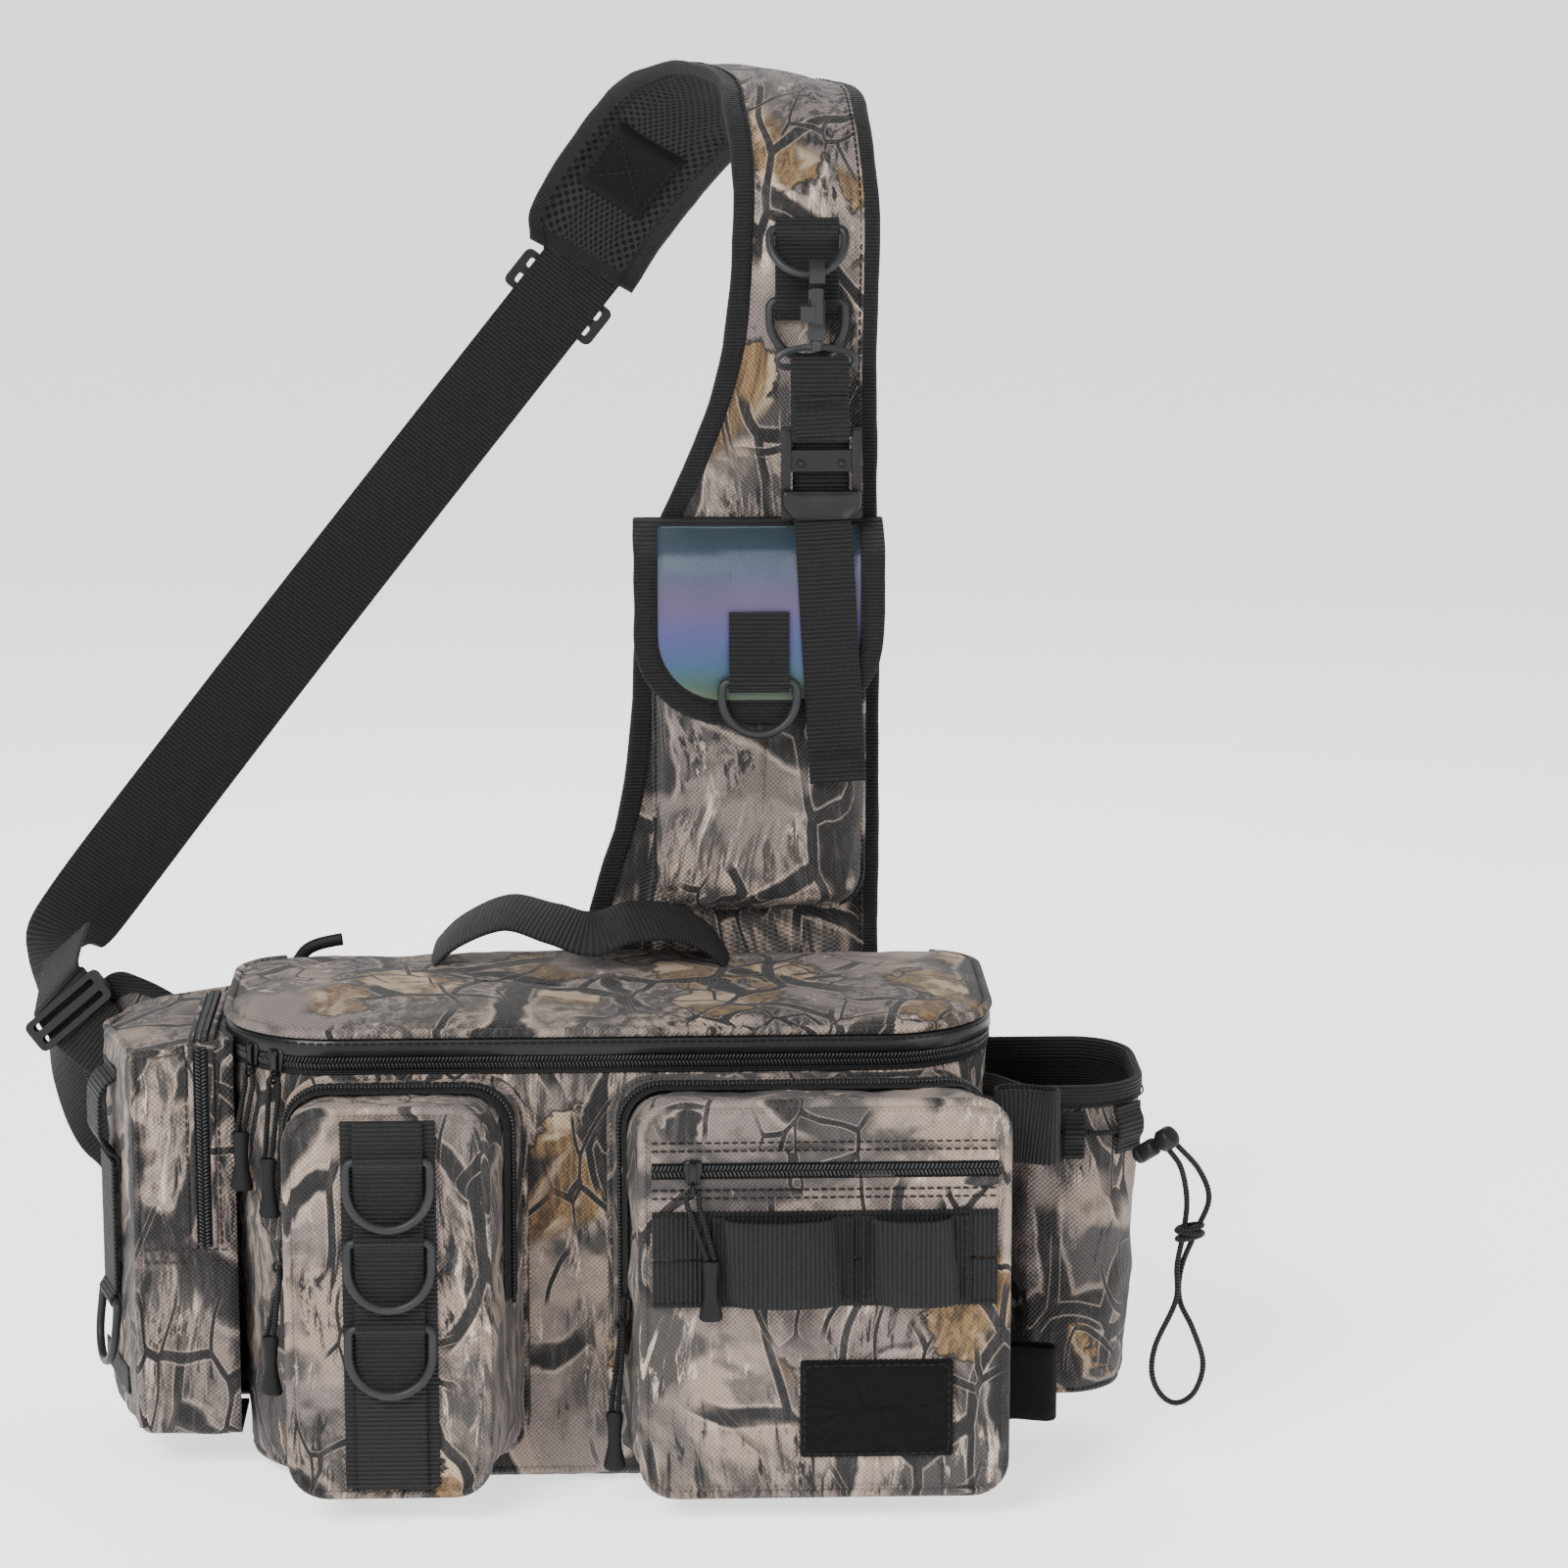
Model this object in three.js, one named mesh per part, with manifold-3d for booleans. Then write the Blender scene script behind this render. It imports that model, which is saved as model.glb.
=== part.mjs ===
// A fishing tackle sling bag that hangs from the shoulder seat of its sling.
// Millimetres, +Z up, +X to the right of someone who looks at the bag's front, which faces -Y.
import * as THREE from "three";
import { mergeVertices } from "three/addons/utils/BufferGeometryUtils.js";
import Module from "manifold-3d";

const wasm = await Module();
wasm.setup();

// Clearances, cloth and webbing
const seatGap = 0.3;
const clothWall = 2.5;
const pocketWall = 2;
const webbing = 1.5;
const wideWebbing = 38;
const narrowWebbing = 28;
const cornerSteps = 5;

// Main compartment
const bodyWidth = 315;
const bodyHalf = bodyWidth / 2;
const bodyDepth = 125;
const bodyRim = 175.6;
const bodyFootShare = 0.965;
const bodyFrontRadius = 45;
const bodyBackRadius = 22;
const bodyFootRadius = 10;
const zipperHeight = 14.9;
const zipperThick = 2;
const lidRise = 8;
const lidWall = 2.5;

// Slim pocket behind the main compartment
const rearPocketWidth = 296;
const rearPocketDepth = 9.7;
const rearPocketFoot = 14;
const rearPocketHeight = 176;
const rearPocketRadius = 26;

// Pockets on the front: the outline against the body, and the outline of the flat face
const pocketFaceDepth = 47.5;
const pocketEdge = 4;
const smallPocketBase = {
  left: 25.5 - bodyHalf, right: 122.5 - bodyHalf, bottom: 12, top: 174.5, radius: 18,
};
const smallPocketFace = {
  left: 27.5 - bodyHalf, right: 108.5 - bodyHalf, bottom: 12, top: 174.5, radius: 15,
};
const largePocketBase = { left: bodyHalf - 157.5, right: bodyHalf - 9.5, bottom: 12, top: 173.5, radius: 18 };
const largePocketFace = { left: bodyHalf - 145.5, right: bodyHalf + 2.5, bottom: 10, top: 176, radius: 14 };

// Webbing ladder with three rings on the small pocket
const ladderMiddle = 69 - bodyHalf;
const ringWire = 1.6;
const pocketRingWidth = 37;
const pocketRingDrop = 27.5;
const pocketRingBars = [154, 120.5, 84.5];
const ringTilt = 7;

// Tool band, face zipper and patch on the large pocket
const faceZipperHeight = 148;
const faceZipperBand = 12;
const toolBandHeight = 111;
const toolBand = 40;
const toolLoops = [
  { left: bodyHalf - 110.5, right: bodyHalf - 66.5, stand: 10 },
  { left: bodyHalf - 50.5, right: bodyHalf - 19.5, stand: 10 },
];
const toolLoopTilt = 5;
const patchWidth = 62;
const patchHeight = 41;
const patchThick = 2;
const patchMiddle = { x: bodyHalf - 50.5, z: 47.5 };

// Zipper sliders, pull cords and grips
const sliderSize = { wide: 8, thick: 3.5, tall: 10 };
const bailRadius = 2.4;
const bailWire = 0.8;
const pullCord = 2.2;
const gripLength = 25;
const gripRadius = 4.8;
const gripFlatness = 0.62;

// Side pocket on the left
const sidePocketFront = -45;
const sidePocketBend = 15;
const sidePocketBack = 48;
const sidePocketReach = 38.5;
const sidePocketBulge = 18;
const sidePocketFoot = 15.6;
const sidePocketTop = 186;
const sidePocketSlope = 6;
const sideStripWidth = 25;
const sideLoopTop = 163;
const sideLoopFoot = 128;
const sideLoopStand = 9;
const sideRingBar = 66;
const sideRingWidth = 35;
const sideRingDrop = 29;

// Bottle pocket on the right
const bottleReach = 64.5;
const bottleFront = -50;
const bottleBack = 30;
const bottleFoot = 30;
const bottleRim = 164.5;
const bottleRadius = 26;
const bottleTaper = 0.9;
const bottleTabWidth = 9;
const bottleEnd = bodyHalf + bottleReach;

// Cord lock and the draw cord that hangs from it
const drawCord = 2.4;
const lockBarrelRadius = 3.8;
const lockBarrelLength = 11;
const lockButtonRadius = 4.8;
const lockButtonLength = 7;
const lockMiddle = new THREE.Vector3(bottleEnd + 3.4, -53, 139.6);
const lockTurn = { yaw: -40, pitch: -35 };
const cordSteps = 46;
const knotRadius = 4.2;
const knotMiddle = new THREE.Vector3(bottleEnd + 17.8, -55.9, 103);
const drawCordRoute = [
  [8.4, -57.6, 137.5], [13.6, -57.4, 131], [16.3, -56.6, 117], [15.2, -56.2, 103], [12.6, -57.6, 89],
  [12.4, -57.6, 74], [4.4, -56, 54], [3.2, -56, 41], [7.6, -56, 31.6], [14.2, -56, 28.6],
  [21.2, -56, 33.6], [24.4, -56, 46], [19.8, -56, 61], [14.4, -54.2, 73], [14.8, -54.2, 87],
  [20.4, -55.6, 103], [25.6, -55.6, 117], [21.4, -55.6, 129.5], [13.2, -56.6, 139.9],
].map(([fromEnd, y, z]) => [bottleEnd + fromEnd, y, z]);

// Rod straps beside the large pocket
const rodStrapReach = 27;
const rodStrapThick = 10;
const rodStrapSheet = 1.6;
const rodStraps = { rod_strap_upper: 156.5, rod_strap_lower: 47 };

// Carry handle on the back edge of the lid
const handleSpan = 128;
const handleRise = 24;
const handleMiddle = -11;

// Sling pad: it starts behind the rear pocket, climbs over the shoulder and comes down behind it
const padFoot = 150;
const padRise = 423;
const padFootWidth = 142;
const padRight = 117.5;
const padReach = 198;
const padThick = 8;

// Pouch and flap on the pad
const pouchLeft = 21;
const pouchRight = 110;
const pouchFoot = 213;
const pouchHeight = 158;
const pouchDepth = 20;
const flapTop = 384;
const flapDrop = 86;
const flapWidth = 107;
const flapThick = 3;
const flapRadius = 38;
const flapTabMiddle = 64.8;
const flapTabWidth = 25.6;
const flapRingBar = 317;
const flapRingWidth = 35;
const flapRingDrop = 22.5;

// Rings, snap hook, ladder lock and tail on the pad
const upperRingBar = 506.8;
const padStripMiddle = 86;
const padStripTop = upperRingBar + 4.2;
const padStripFoot = upperRingBar - 38.8;
const padRingWidth = 35;
const upperRingDrop = 21;
const upperRingTilt = 30;
const lowerRingBar = upperRingBar - 30.4;
const lowerRingDrop = 24;
const hookMiddle = 89.5;
const hookThick = 6.5;
const hookWire = 3.6;
const hookEye = 4.9;
const hookShaft = { wide: 7, deep: 7, top: upperRingBar - 28.8, bottom: upperRingBar - 45.8 };
const gateTravel = 6;
const swivelRingWidth = 36.6;
const swivelBar = upperRingBar - 57.3;
const hookWebbing = 24.4;
const ladderLock = {
  left: 74.6, right: 108.6, top: upperRingBar - 82.8, bottom: upperRingBar - 121.8, thick: 6, bar: 4, side: 4,
};
const tailLength = 112;
const tailLean = 3.4;

// Wing at the left end, with the webbing and the tri-glide that join it to the shoulder webbing
const wingRoot = 36.5 - bodyHalf;
const wingLean = 0.3;
const wingThick = 6;
const wingReach = 114;
const wingHeight = 121;
const wingFoot = 60;
const triglide = { wide: 44, tall: 15, thick: 3.5, bar: 3.5 };
const adjuster = { wide: 50, tall: 20, thick: 4, bar: 4 };

// Looks of the materials
function cloth(colour, roughness = 0.9) {
  return new THREE.MeshStandardMaterial({ color: colour, roughness, metalness: 0 });
}
const camo = () => cloth(0x857567);
const blackWeb = () => cloth(0x1b1b1d);
const darkPlastic = () => new THREE.MeshStandardMaterial({ color: 0x26272a, roughness: 0.45,
  metalness: 0.1 });
const darkMetal = () => new THREE.MeshStandardMaterial({ color: 0x3a3b3e, roughness: 0.35, metalness: 0.8 });
const rubber = () => new THREE.MeshStandardMaterial({ color: 0x1a1a1b, roughness: 0.6, metalness: 0 });

// Solids: a skin through rings of points, and the joins and cuts
function closedGeometry(points, faces) {
  let volume = 0;
  for (let i = 0; i < faces.length; i += 3) {
    const [a, b, c] = [points[faces[i]], points[faces[i + 1]], points[faces[i + 2]]];
    volume += a.dot(new THREE.Vector3().crossVectors(b, c));
  }
  if (volume < 0) {
    faces.reverse();
  }
  const geometry = new THREE.BufferGeometry();
  geometry.setAttribute("position", new THREE.Float32BufferAttribute(points.flatMap((p) => p.toArray()), 3));
  geometry.setIndex(faces);
  return geometry;
}

function average(ring) {
  const middle = new THREE.Vector3();
  ring.forEach((point) => middle.add(point));
  return middle.divideScalar(ring.length);
}

function loft(rings, looped = false) {
  const count = rings[0].length;
  const points = rings.flat();
  const faces = [];
  const spans = looped ? rings.length : rings.length - 1;
  for (let row = 0; row < spans; row += 1) {
    const here = row * count;
    const next = ((row + 1) % rings.length) * count;
    for (let i = 0; i < count; i += 1) {
      const j = (i + 1) % count;
      faces.push(here + i, here + j, next + j, here + i, next + j, next + i);
    }
  }
  if (!looped) {
    const last = (rings.length - 1) * count;
    const firstMiddle = points.push(average(rings[0])) - 1;
    const lastMiddle = points.push(average(rings[rings.length - 1])) - 1;
    for (let i = 0; i < count; i += 1) {
      const j = (i + 1) % count;
      faces.push(firstMiddle, j, i, lastMiddle, last + i, last + j);
    }
  }
  return closedGeometry(points, faces);
}

function toSolid(geometry) {
  const bare = new THREE.BufferGeometry();
  bare.setAttribute("position", geometry.getAttribute("position").clone());
  if (geometry.index) {
    bare.setIndex(geometry.index.clone());
  }
  const merged = mergeVertices(bare, 1e-4);
  return new wasm.Manifold(new wasm.Mesh({
    numProp: 3,
    vertProperties: new Float32Array(merged.getAttribute("position").array),
    triVerts: new Uint32Array(merged.index.array),
  }));
}

function fromSolid(solid) {
  const { vertProperties, triVerts } = solid.getMesh();
  const geometry = new THREE.BufferGeometry();
  geometry.setAttribute("position", new THREE.BufferAttribute(new Float32Array(vertProperties), 3));
  geometry.setIndex(new THREE.BufferAttribute(new Uint32Array(triVerts), 1));
  return geometry;
}

function join(...geometries) {
  return fromSolid(geometries.map(toSolid).reduce((whole, piece) => whole.add(piece)));
}

function cut(geometry, ...tools) {
  return fromSolid(tools.map(toSolid).reduce((whole, tool) => whole.subtract(tool), toSolid(geometry)));
}

// The biggest body that is left when a neighbour cuts a piece in parts
function trim(geometry, neighbour) {
  const bodies = toSolid(geometry).subtract(toSolid(neighbour)).decompose();
  return fromSolid(bodies.reduce((best, body) => (body.volume() > best.volume() ? body : best)));
}

function common(first, second) {
  return fromSolid(toSolid(first).intersect(toSolid(second)));
}

function boxBetween(low, high) {
  const size = high.map((value, i) => value - low[i]);
  const box = new THREE.BoxGeometry(...size);
  return box.translate(...low.map((value, i) => value + size[i] / 2));
}

// A cylinder along X, Y or Z
function rod(axis, radius, from, to, sides = 12) {
  const length = to - from;
  const cylinder = new THREE.CylinderGeometry(radius, radius, length, sides);
  if (axis === "x") {
    cylinder.rotateZ(Math.PI / 2).translate(from + length / 2, 0, 0);
  } else if (axis === "z") {
    cylinder.rotateX(Math.PI / 2).translate(0, 0, from + length / 2);
  } else {
    cylinder.translate(0, from + length / 2, 0);
  }
  return cylinder;
}

// An outline in Y and Z, extruded along X from the middle
function extrudeAcross(outline, width, holes = []) {
  const shape = new THREE.Shape(outline.map(([y, z]) => new THREE.Vector2(y, z)));
  holes.forEach((hole) => shape.holes.push(new THREE.Path(hole.map(([y, z]) => new THREE.Vector2(y, z)))));
  const geometry = new THREE.ExtrudeGeometry(shape, { depth: width, bevelEnabled: false });
  const turn = new THREE.Matrix4().makeBasis(
    new THREE.Vector3(0, 1, 0), new THREE.Vector3(0, 0, 1), new THREE.Vector3(1, 0, 0));
  return geometry.applyMatrix4(turn).translate(-width / 2, 0, 0);
}

// An outline in X and Z, extruded from one depth to another
function extrudeForward(outline, front, back, holes = []) {
  const shape = new THREE.Shape(outline.map(([x, z]) => new THREE.Vector2(x, z)));
  holes.forEach((hole) => shape.holes.push(new THREE.Path(hole.map(([x, z]) => new THREE.Vector2(x, z)))));
  const geometry = new THREE.ExtrudeGeometry(shape, { depth: back - front, bevelEnabled: false });
  return geometry.rotateX(Math.PI / 2).translate(0, back, 0);
}

// A rectangle with round corners as points, in two axes of its own
function roundedRing(left, right, low, high, radii, steps = cornerSteps) {
  const corners = [
    { x: right - radii[0], y: low + radii[0], radius: radii[0], start: -90 },
    { x: right - radii[1], y: high - radii[1], radius: radii[1], start: 0 },
    { x: left + radii[2], y: high - radii[2], radius: radii[2], start: 90 },
    { x: left + radii[3], y: low + radii[3], radius: radii[3], start: 180 },
  ];
  return corners.flatMap((corner) => Array.from({ length: steps + 1 }, (_, step) => {
    const angle = THREE.MathUtils.degToRad(corner.start + (90 * step) / steps);
    return [corner.x + corner.radius * Math.cos(angle), corner.y + corner.radius * Math.sin(angle)];
  }));
}

// Plan of the main compartment at a height, as points anticlockwise from its front right corner
function bodyPlan(z, inset = 0) {
  const climb = THREE.MathUtils.clamp(z / bodyRim, 0, 1);
  const half = bodyHalf * (bodyFootShare + (1 - bodyFootShare) * climb) - inset;
  const front = Math.max(bodyFrontRadius - inset, 1);
  const back = Math.max(bodyBackRadius - inset, 1);
  const depth = bodyDepth / 2 - inset;
  return roundedRing(-half, half, -depth, depth, [front, back, back, front]);
}

function ringAt(plan, z) {
  return plan.map(([x, y]) => new THREE.Vector3(x, y, z));
}

// Where a line along one axis leaves the body's plan on its low or high side
function bodySurface(z, axis, at, side) {
  const plan = bodyPlan(z);
  const other = 1 - axis;
  const hits = plan.flatMap((from, i) => {
    const to = plan[(i + 1) % plan.length];
    const share = (at - from[axis]) / (to[axis] - from[axis]);
    return share >= 0 && share <= 1 ? [from[other] + share * (to[other] - from[other])] : [];
  });
  return side < 0 ? Math.min(...hits) : Math.max(...hits);
}
const bodyFront = (x, z) => bodySurface(z, 0, x, -1);

const bag = new THREE.Group();
function addPiece(name, geometry, material, parent = bag) {
  const mesh = new THREE.Mesh(geometry, material);
  mesh.name = name;
  parent.add(mesh);
  return mesh;
}

// Main compartment: an open tub, a zipper band round its front and sides, and a lid sewn on at the back
function bodyTub() {
  const foot = bodyFootRadius;
  const outer = [0, 30, 60, 90].map((degrees) => {
    const angle = THREE.MathUtils.degToRad(degrees);
    const z = foot - foot * Math.cos(angle);
    return ringAt(bodyPlan(z, foot - foot * Math.sin(angle)), z);
  });
  outer.push(ringAt(bodyPlan(bodyRim), bodyRim));
  const inner = [
    ringAt(bodyPlan(bodyRim, clothWall), bodyRim),
    ringAt(bodyPlan(foot + clothWall, clothWall), foot + clothWall),
    ringAt(bodyPlan(clothWall, foot), clothWall),
  ];
  return loft([...outer, ...inner]);
}

const zipperFoot = bodyRim + seatGap;
const zipperTop = zipperFoot + zipperHeight;
const lidFoot = zipperTop + seatGap;
function zipperBand() {
  const around = (inset) => {
    const plan = bodyPlan(bodyRim, inset);
    const start = 2 * (cornerSteps + 1);
    return [...plan.slice(start), ...plan.slice(0, start)];
  };
  const inner = around(zipperThick);
  return loft(around(0).map(([x, y], i) => [
    new THREE.Vector3(x, y, zipperFoot), new THREE.Vector3(x, y, zipperTop),
    new THREE.Vector3(...inner[i], zipperTop), new THREE.Vector3(...inner[i], zipperFoot),
  ]));
}

// Rows of the lid's dome: how far in from its edge, as a share of half the depth, and its rise
const lidRows = [
  { inward: 0, rise: 0 }, { inward: 0, rise: 0.18 }, { inward: 0.06, rise: 0.45 },
  { inward: 0.25, rise: 0.78 }, { inward: 0.8, rise: 1 },
];
function lidShell() {
  const outer = lidRows.map((row) => ringAt(
    bodyPlan(bodyRim, (row.inward * bodyDepth) / 2), lidFoot + row.rise * lidRise)).reverse();
  const inner = lidRows.filter((row, i) => i !== 1).map((row, i) => ringAt(
    bodyPlan(bodyRim, (row.inward * bodyDepth) / 2 + (i < 2 ? lidWall : 0)),
    lidFoot + Math.max(row.rise * lidRise - (i > 0 ? lidWall : 0), 0)));
  const half = bodyHalf - bodyBackRadius - seatGap;
  const skirt = boxBetween([-half, bodyDepth / 2 - lidWall, zipperFoot], [half, bodyDepth / 2, lidFoot + 1]);
  return join(loft([...outer, ...inner]), skirt);
}

addPiece("main_body", bodyTub(), camo());
addPiece("main_zipper", zipperBand(), blackWeb());
const lidGeometry = lidShell();
addPiece("lid", lidGeometry, camo());

// The room that the main compartment takes, a little larger than it all round
function bodyRoom(clearance) {
  const [low, high] = [-10, lidFoot + 20];
  return loft([ringAt(bodyPlan(0, -clearance), low), ringAt(bodyPlan(0, -clearance), 0),
    ringAt(bodyPlan(bodyRim, -clearance), bodyRim), ringAt(bodyPlan(bodyRim, -clearance), high)]);
}
const bodyClear = bodyRoom(seatGap);
const sunk = 8;

// Slim rear pocket: a shallow tray whose open side lies against the body
const rearFront = bodyDepth / 2 + seatGap;
const rearBack = rearFront + rearPocketDepth;
function rearPocket() {
  const half = rearPocketWidth / 2;
  const ring = (y, inset) => roundedRing(
    -half + inset, half - inset, rearPocketFoot + inset, rearPocketFoot + rearPocketHeight - inset,
    Array(4).fill(rearPocketRadius - inset)).map(([x, z]) => new THREE.Vector3(x, y, z));
  return loft([
    ring(rearBack, pocketWall), ring(rearBack - pocketWall, 0), ring(rearFront, 0),
    ring(rearFront, pocketWall), ring(rearBack - pocketWall, 2 * pocketWall),
  ]);
}
addPiece("rear_pocket", rearPocket(), camo());

// Front pockets: trays from the body's curved front to a flat face
const pocketFace = -bodyDepth / 2 - pocketFaceDepth;
function frontPocket(base, face) {
  const outline = (edge, inset) => roundedRing(
    edge.left + inset, edge.right - inset, edge.bottom + inset, edge.top - inset,
    Array(4).fill(Math.max(edge.radius - inset, 1)));
  const onBody = (inset) => outline(base, inset).map(
    ([x, z]) => new THREE.Vector3(x, bodyFront(x, z) + sunk, z));
  const flat = (y, inset) => outline(face, inset).map(([x, z]) => new THREE.Vector3(x, y, z));
  return trim(loft([
    flat(pocketFace, pocketEdge), flat(pocketFace + pocketEdge * 0.3, pocketEdge * 0.3),
    flat(pocketFace + pocketEdge, 0), onBody(0), onBody(pocketWall),
    flat(pocketFace + pocketEdge + pocketWall, pocketWall), flat(pocketFace + pocketWall,
    pocketEdge + pocketWall),
  ]), bodyClear);
}
addPiece("small_pocket", frontPocket(smallPocketBase, smallPocketFace), camo());
addPiece("large_pocket", frontPocket(largePocketBase, largePocketFace), camo());

// X of a front pocket's left or right gusset at a depth
function gussetX(base, face, side, y) {
  const root = bodyFront(base[side], (base.bottom + base.top) / 2) + sunk;
  const share = (y - root) / (pocketFace + pocketEdge - root);
  return base[side] + share * (face[side] - base[side]);
}

// Webbing on a flat face at y = 0 that holds rings: the webbing humps over each bar, with a clear bore
const barSeat = webbing + seatGap + ringWire + 0.1;
const barBore = ringWire + seatGap + 0.1;
function ringStrip({ backing, width, top, foot, stripFoot = foot, bars }) {
  const humps = bars.map((z) => rod("x", barBore + webbing, -width / 2, width / 2, 12).translate(0,
    -barSeat, z));
  const bores = bars.map((z) => rod("x", barBore, -width, width, 10).translate(0, -barSeat, z));
  return cut(join(
    boxBetween([-backing / 2, -webbing, foot], [backing / 2, 0, top]),
    boxBetween([-width / 2, -2 * webbing, stripFoot], [width / 2, -webbing + 0.05, top]),
    ...humps), ...bores);
}

// A D ring whose straight bar lies on its own X axis, with the bow hanging down
function ring(width, drop, wire = ringWire, sides = 6) {
  const half = width / 2 - wire;
  const turn = 3;
  const bow = Math.min(half, drop - turn);
  const path = [[-half + turn, 0], [half - turn, 0]];
  for (const degrees of [45, 0]) {
    const angle = THREE.MathUtils.degToRad(degrees);
    path.push([half - turn + turn * Math.cos(angle), -turn + turn * Math.sin(angle)]);
  }
  for (let step = 0; step <= 12; step += 1) {
    const angle = (Math.PI * step) / 12;
    path.push([half * Math.cos(angle), -drop + bow - bow * Math.sin(angle)]);
  }
  for (const degrees of [180, 135]) {
    const angle = THREE.MathUtils.degToRad(degrees);
    path.push([-half + turn + turn * Math.cos(angle), -turn + turn * Math.sin(angle)]);
  }
  const points = path.filter(([x, z], i) => {
    const [px, pz] = path[(i + path.length - 1) % path.length];
    return Math.hypot(x - px, z - pz) > 0.2;
  });
  return loft(points.map(([x, z], i) => {
    const before = points[(i + points.length - 1) % points.length];
    const after = points[(i + 1) % points.length];
    const along = new THREE.Vector3(after[0] - before[0], 0, after[1] - before[1]).normalize();
    const outward = new THREE.Vector3(-along.z, 0, along.x);
    return Array.from({ length: sides }, (_, side) => {
      const angle = (2 * Math.PI * (side + 0.5)) / sides;
      return new THREE.Vector3(x, 0, z)
        .addScaledVector(outward, wire * Math.cos(angle))
        .add(new THREE.Vector3(0, wire * Math.sin(angle), 0));
    });
  }), true);
}

// Small pocket's ladder of webbing and rings
const pocketSurface = pocketFace - seatGap;
const faceInset = 4.5;
addPiece("ring_webbing", ringStrip({
  backing: wideWebbing, width: narrowWebbing,
  top: smallPocketFace.top - faceInset, foot: smallPocketFace.bottom + faceInset, bars: pocketRingBars,
}), blackWeb()).position.set(ladderMiddle, pocketSurface, 0);
["top", "middle", "bottom"].forEach((place, i) => {
  const mesh = addPiece(`pocket_ring_${place}`, ring(pocketRingWidth, pocketRingDrop), darkMetal());
  mesh.position.set(ladderMiddle, pocketSurface - barSeat, pocketRingBars[i]);
  mesh.rotation.x = THREE.MathUtils.degToRad(-ringTilt);
});

// Large pocket's face zipper, tool band and patch
const bandLeft = largePocketFace.left + faceInset;
const bandRight = largePocketFace.right - faceInset;
addPiece("face_zipper", boxBetween(
  [bandLeft, pocketSurface - webbing, faceZipperHeight - faceZipperBand / 2],
  [bandRight, pocketSurface, faceZipperHeight + faceZipperBand / 2]), blackWeb());

function toolLoop({ left, right, stand }) {
  const half = (right - left) / 2;
  const arc = (radius, height) => Array.from({ length: 11 }, (_, step) => {
    const angle = (Math.PI * step) / 10;
    return [radius * Math.cos(angle), height * Math.sin(angle)];
  });
  const outline = [...arc(half, stand), ...arc(half - webbing, stand - webbing).reverse()];
  const shape = new THREE.Shape(outline.map(([x, y]) => new THREE.Vector2(x, y)));
  const height = toolBand - 4;
  return new THREE.ExtrudeGeometry(shape, { depth: height, bevelEnabled: false })
    .translate(0, 0, -height / 2).rotateX(Math.PI)
    .rotateY(THREE.MathUtils.degToRad(toolLoopTilt))
    .translate((left + right) / 2, pocketSurface - webbing + 0.4, toolBandHeight);
}
addPiece("tool_webbing", join(boxBetween(
  [bandLeft, pocketSurface - webbing, toolBandHeight - toolBand / 2],
  [bandRight, pocketSurface, toolBandHeight + toolBand / 2]), ...toolLoops.map(toolLoop)), blackWeb());
addPiece("patch", boxBetween(
  [patchMiddle.x - patchWidth / 2, pocketSurface - patchThick, patchMiddle.z - patchHeight / 2],
  [patchMiddle.x + patchWidth / 2, pocketSurface, patchMiddle.z + patchHeight / 2]), cloth(0x0b0b0c));

// Side pocket: a hollow box with a slanted outer face, open towards the body
const sideRoot = -bodyHalf;
const sideOuter = sideRoot - sidePocketReach;
const sideFaceStart = { x: sideOuter - 1.2, y: sidePocketFront + 4 };
const slant = Math.atan2(sidePocketBulge - 1.2, sidePocketBend - sideFaceStart.y);
function sidePocketPlan(inset, reachIn) {
  const rows = [
    { y: sidePocketFront + inset, x: null },
    { y: sidePocketFront + inset, x: sideOuter + inset + 4 },
    { y: sidePocketFront + inset + 4, x: sideOuter + inset - 1.2 },
    { y: sidePocketBend, x: sideOuter - sidePocketBulge + inset },
    { y: sidePocketBack - inset - 5, x: sideOuter - sidePocketBulge * 0.6 + inset },
    { y: sidePocketBack - inset, x: sideOuter + inset + 4 },
    { y: sidePocketBack - inset, x: null },
  ];
  return rows.map(({ x, y }) => [x === null ? sideRoot + reachIn : x, y]);
}
function sidePocket() {
  const slopeAt = (x,
    z) => (z > bodyRim * 0.9 ? z - sidePocketSlope * ((sideRoot - x) / sidePocketReach) : z);
  const rings = (inset, reachIn) => [
    { z: sidePocketFoot + inset, inset: inset + 3 }, { z: sidePocketFoot + 5, inset },
    { z: sidePocketTop - 4, inset }, { z: sidePocketTop - inset, inset: inset + 3 },
  ].map((row) => sidePocketPlan(row.inset, reachIn).map(
    ([x, y]) => new THREE.Vector3(x, y, slopeAt(Math.min(x, sideRoot), row.z))));
  return trim(cut(loft(rings(0, sunk * 2.5)), loft(rings(pocketWall, sunk * 3))), bodyClear);
}
addPiece("side_pocket", sidePocket(), camo());

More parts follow.
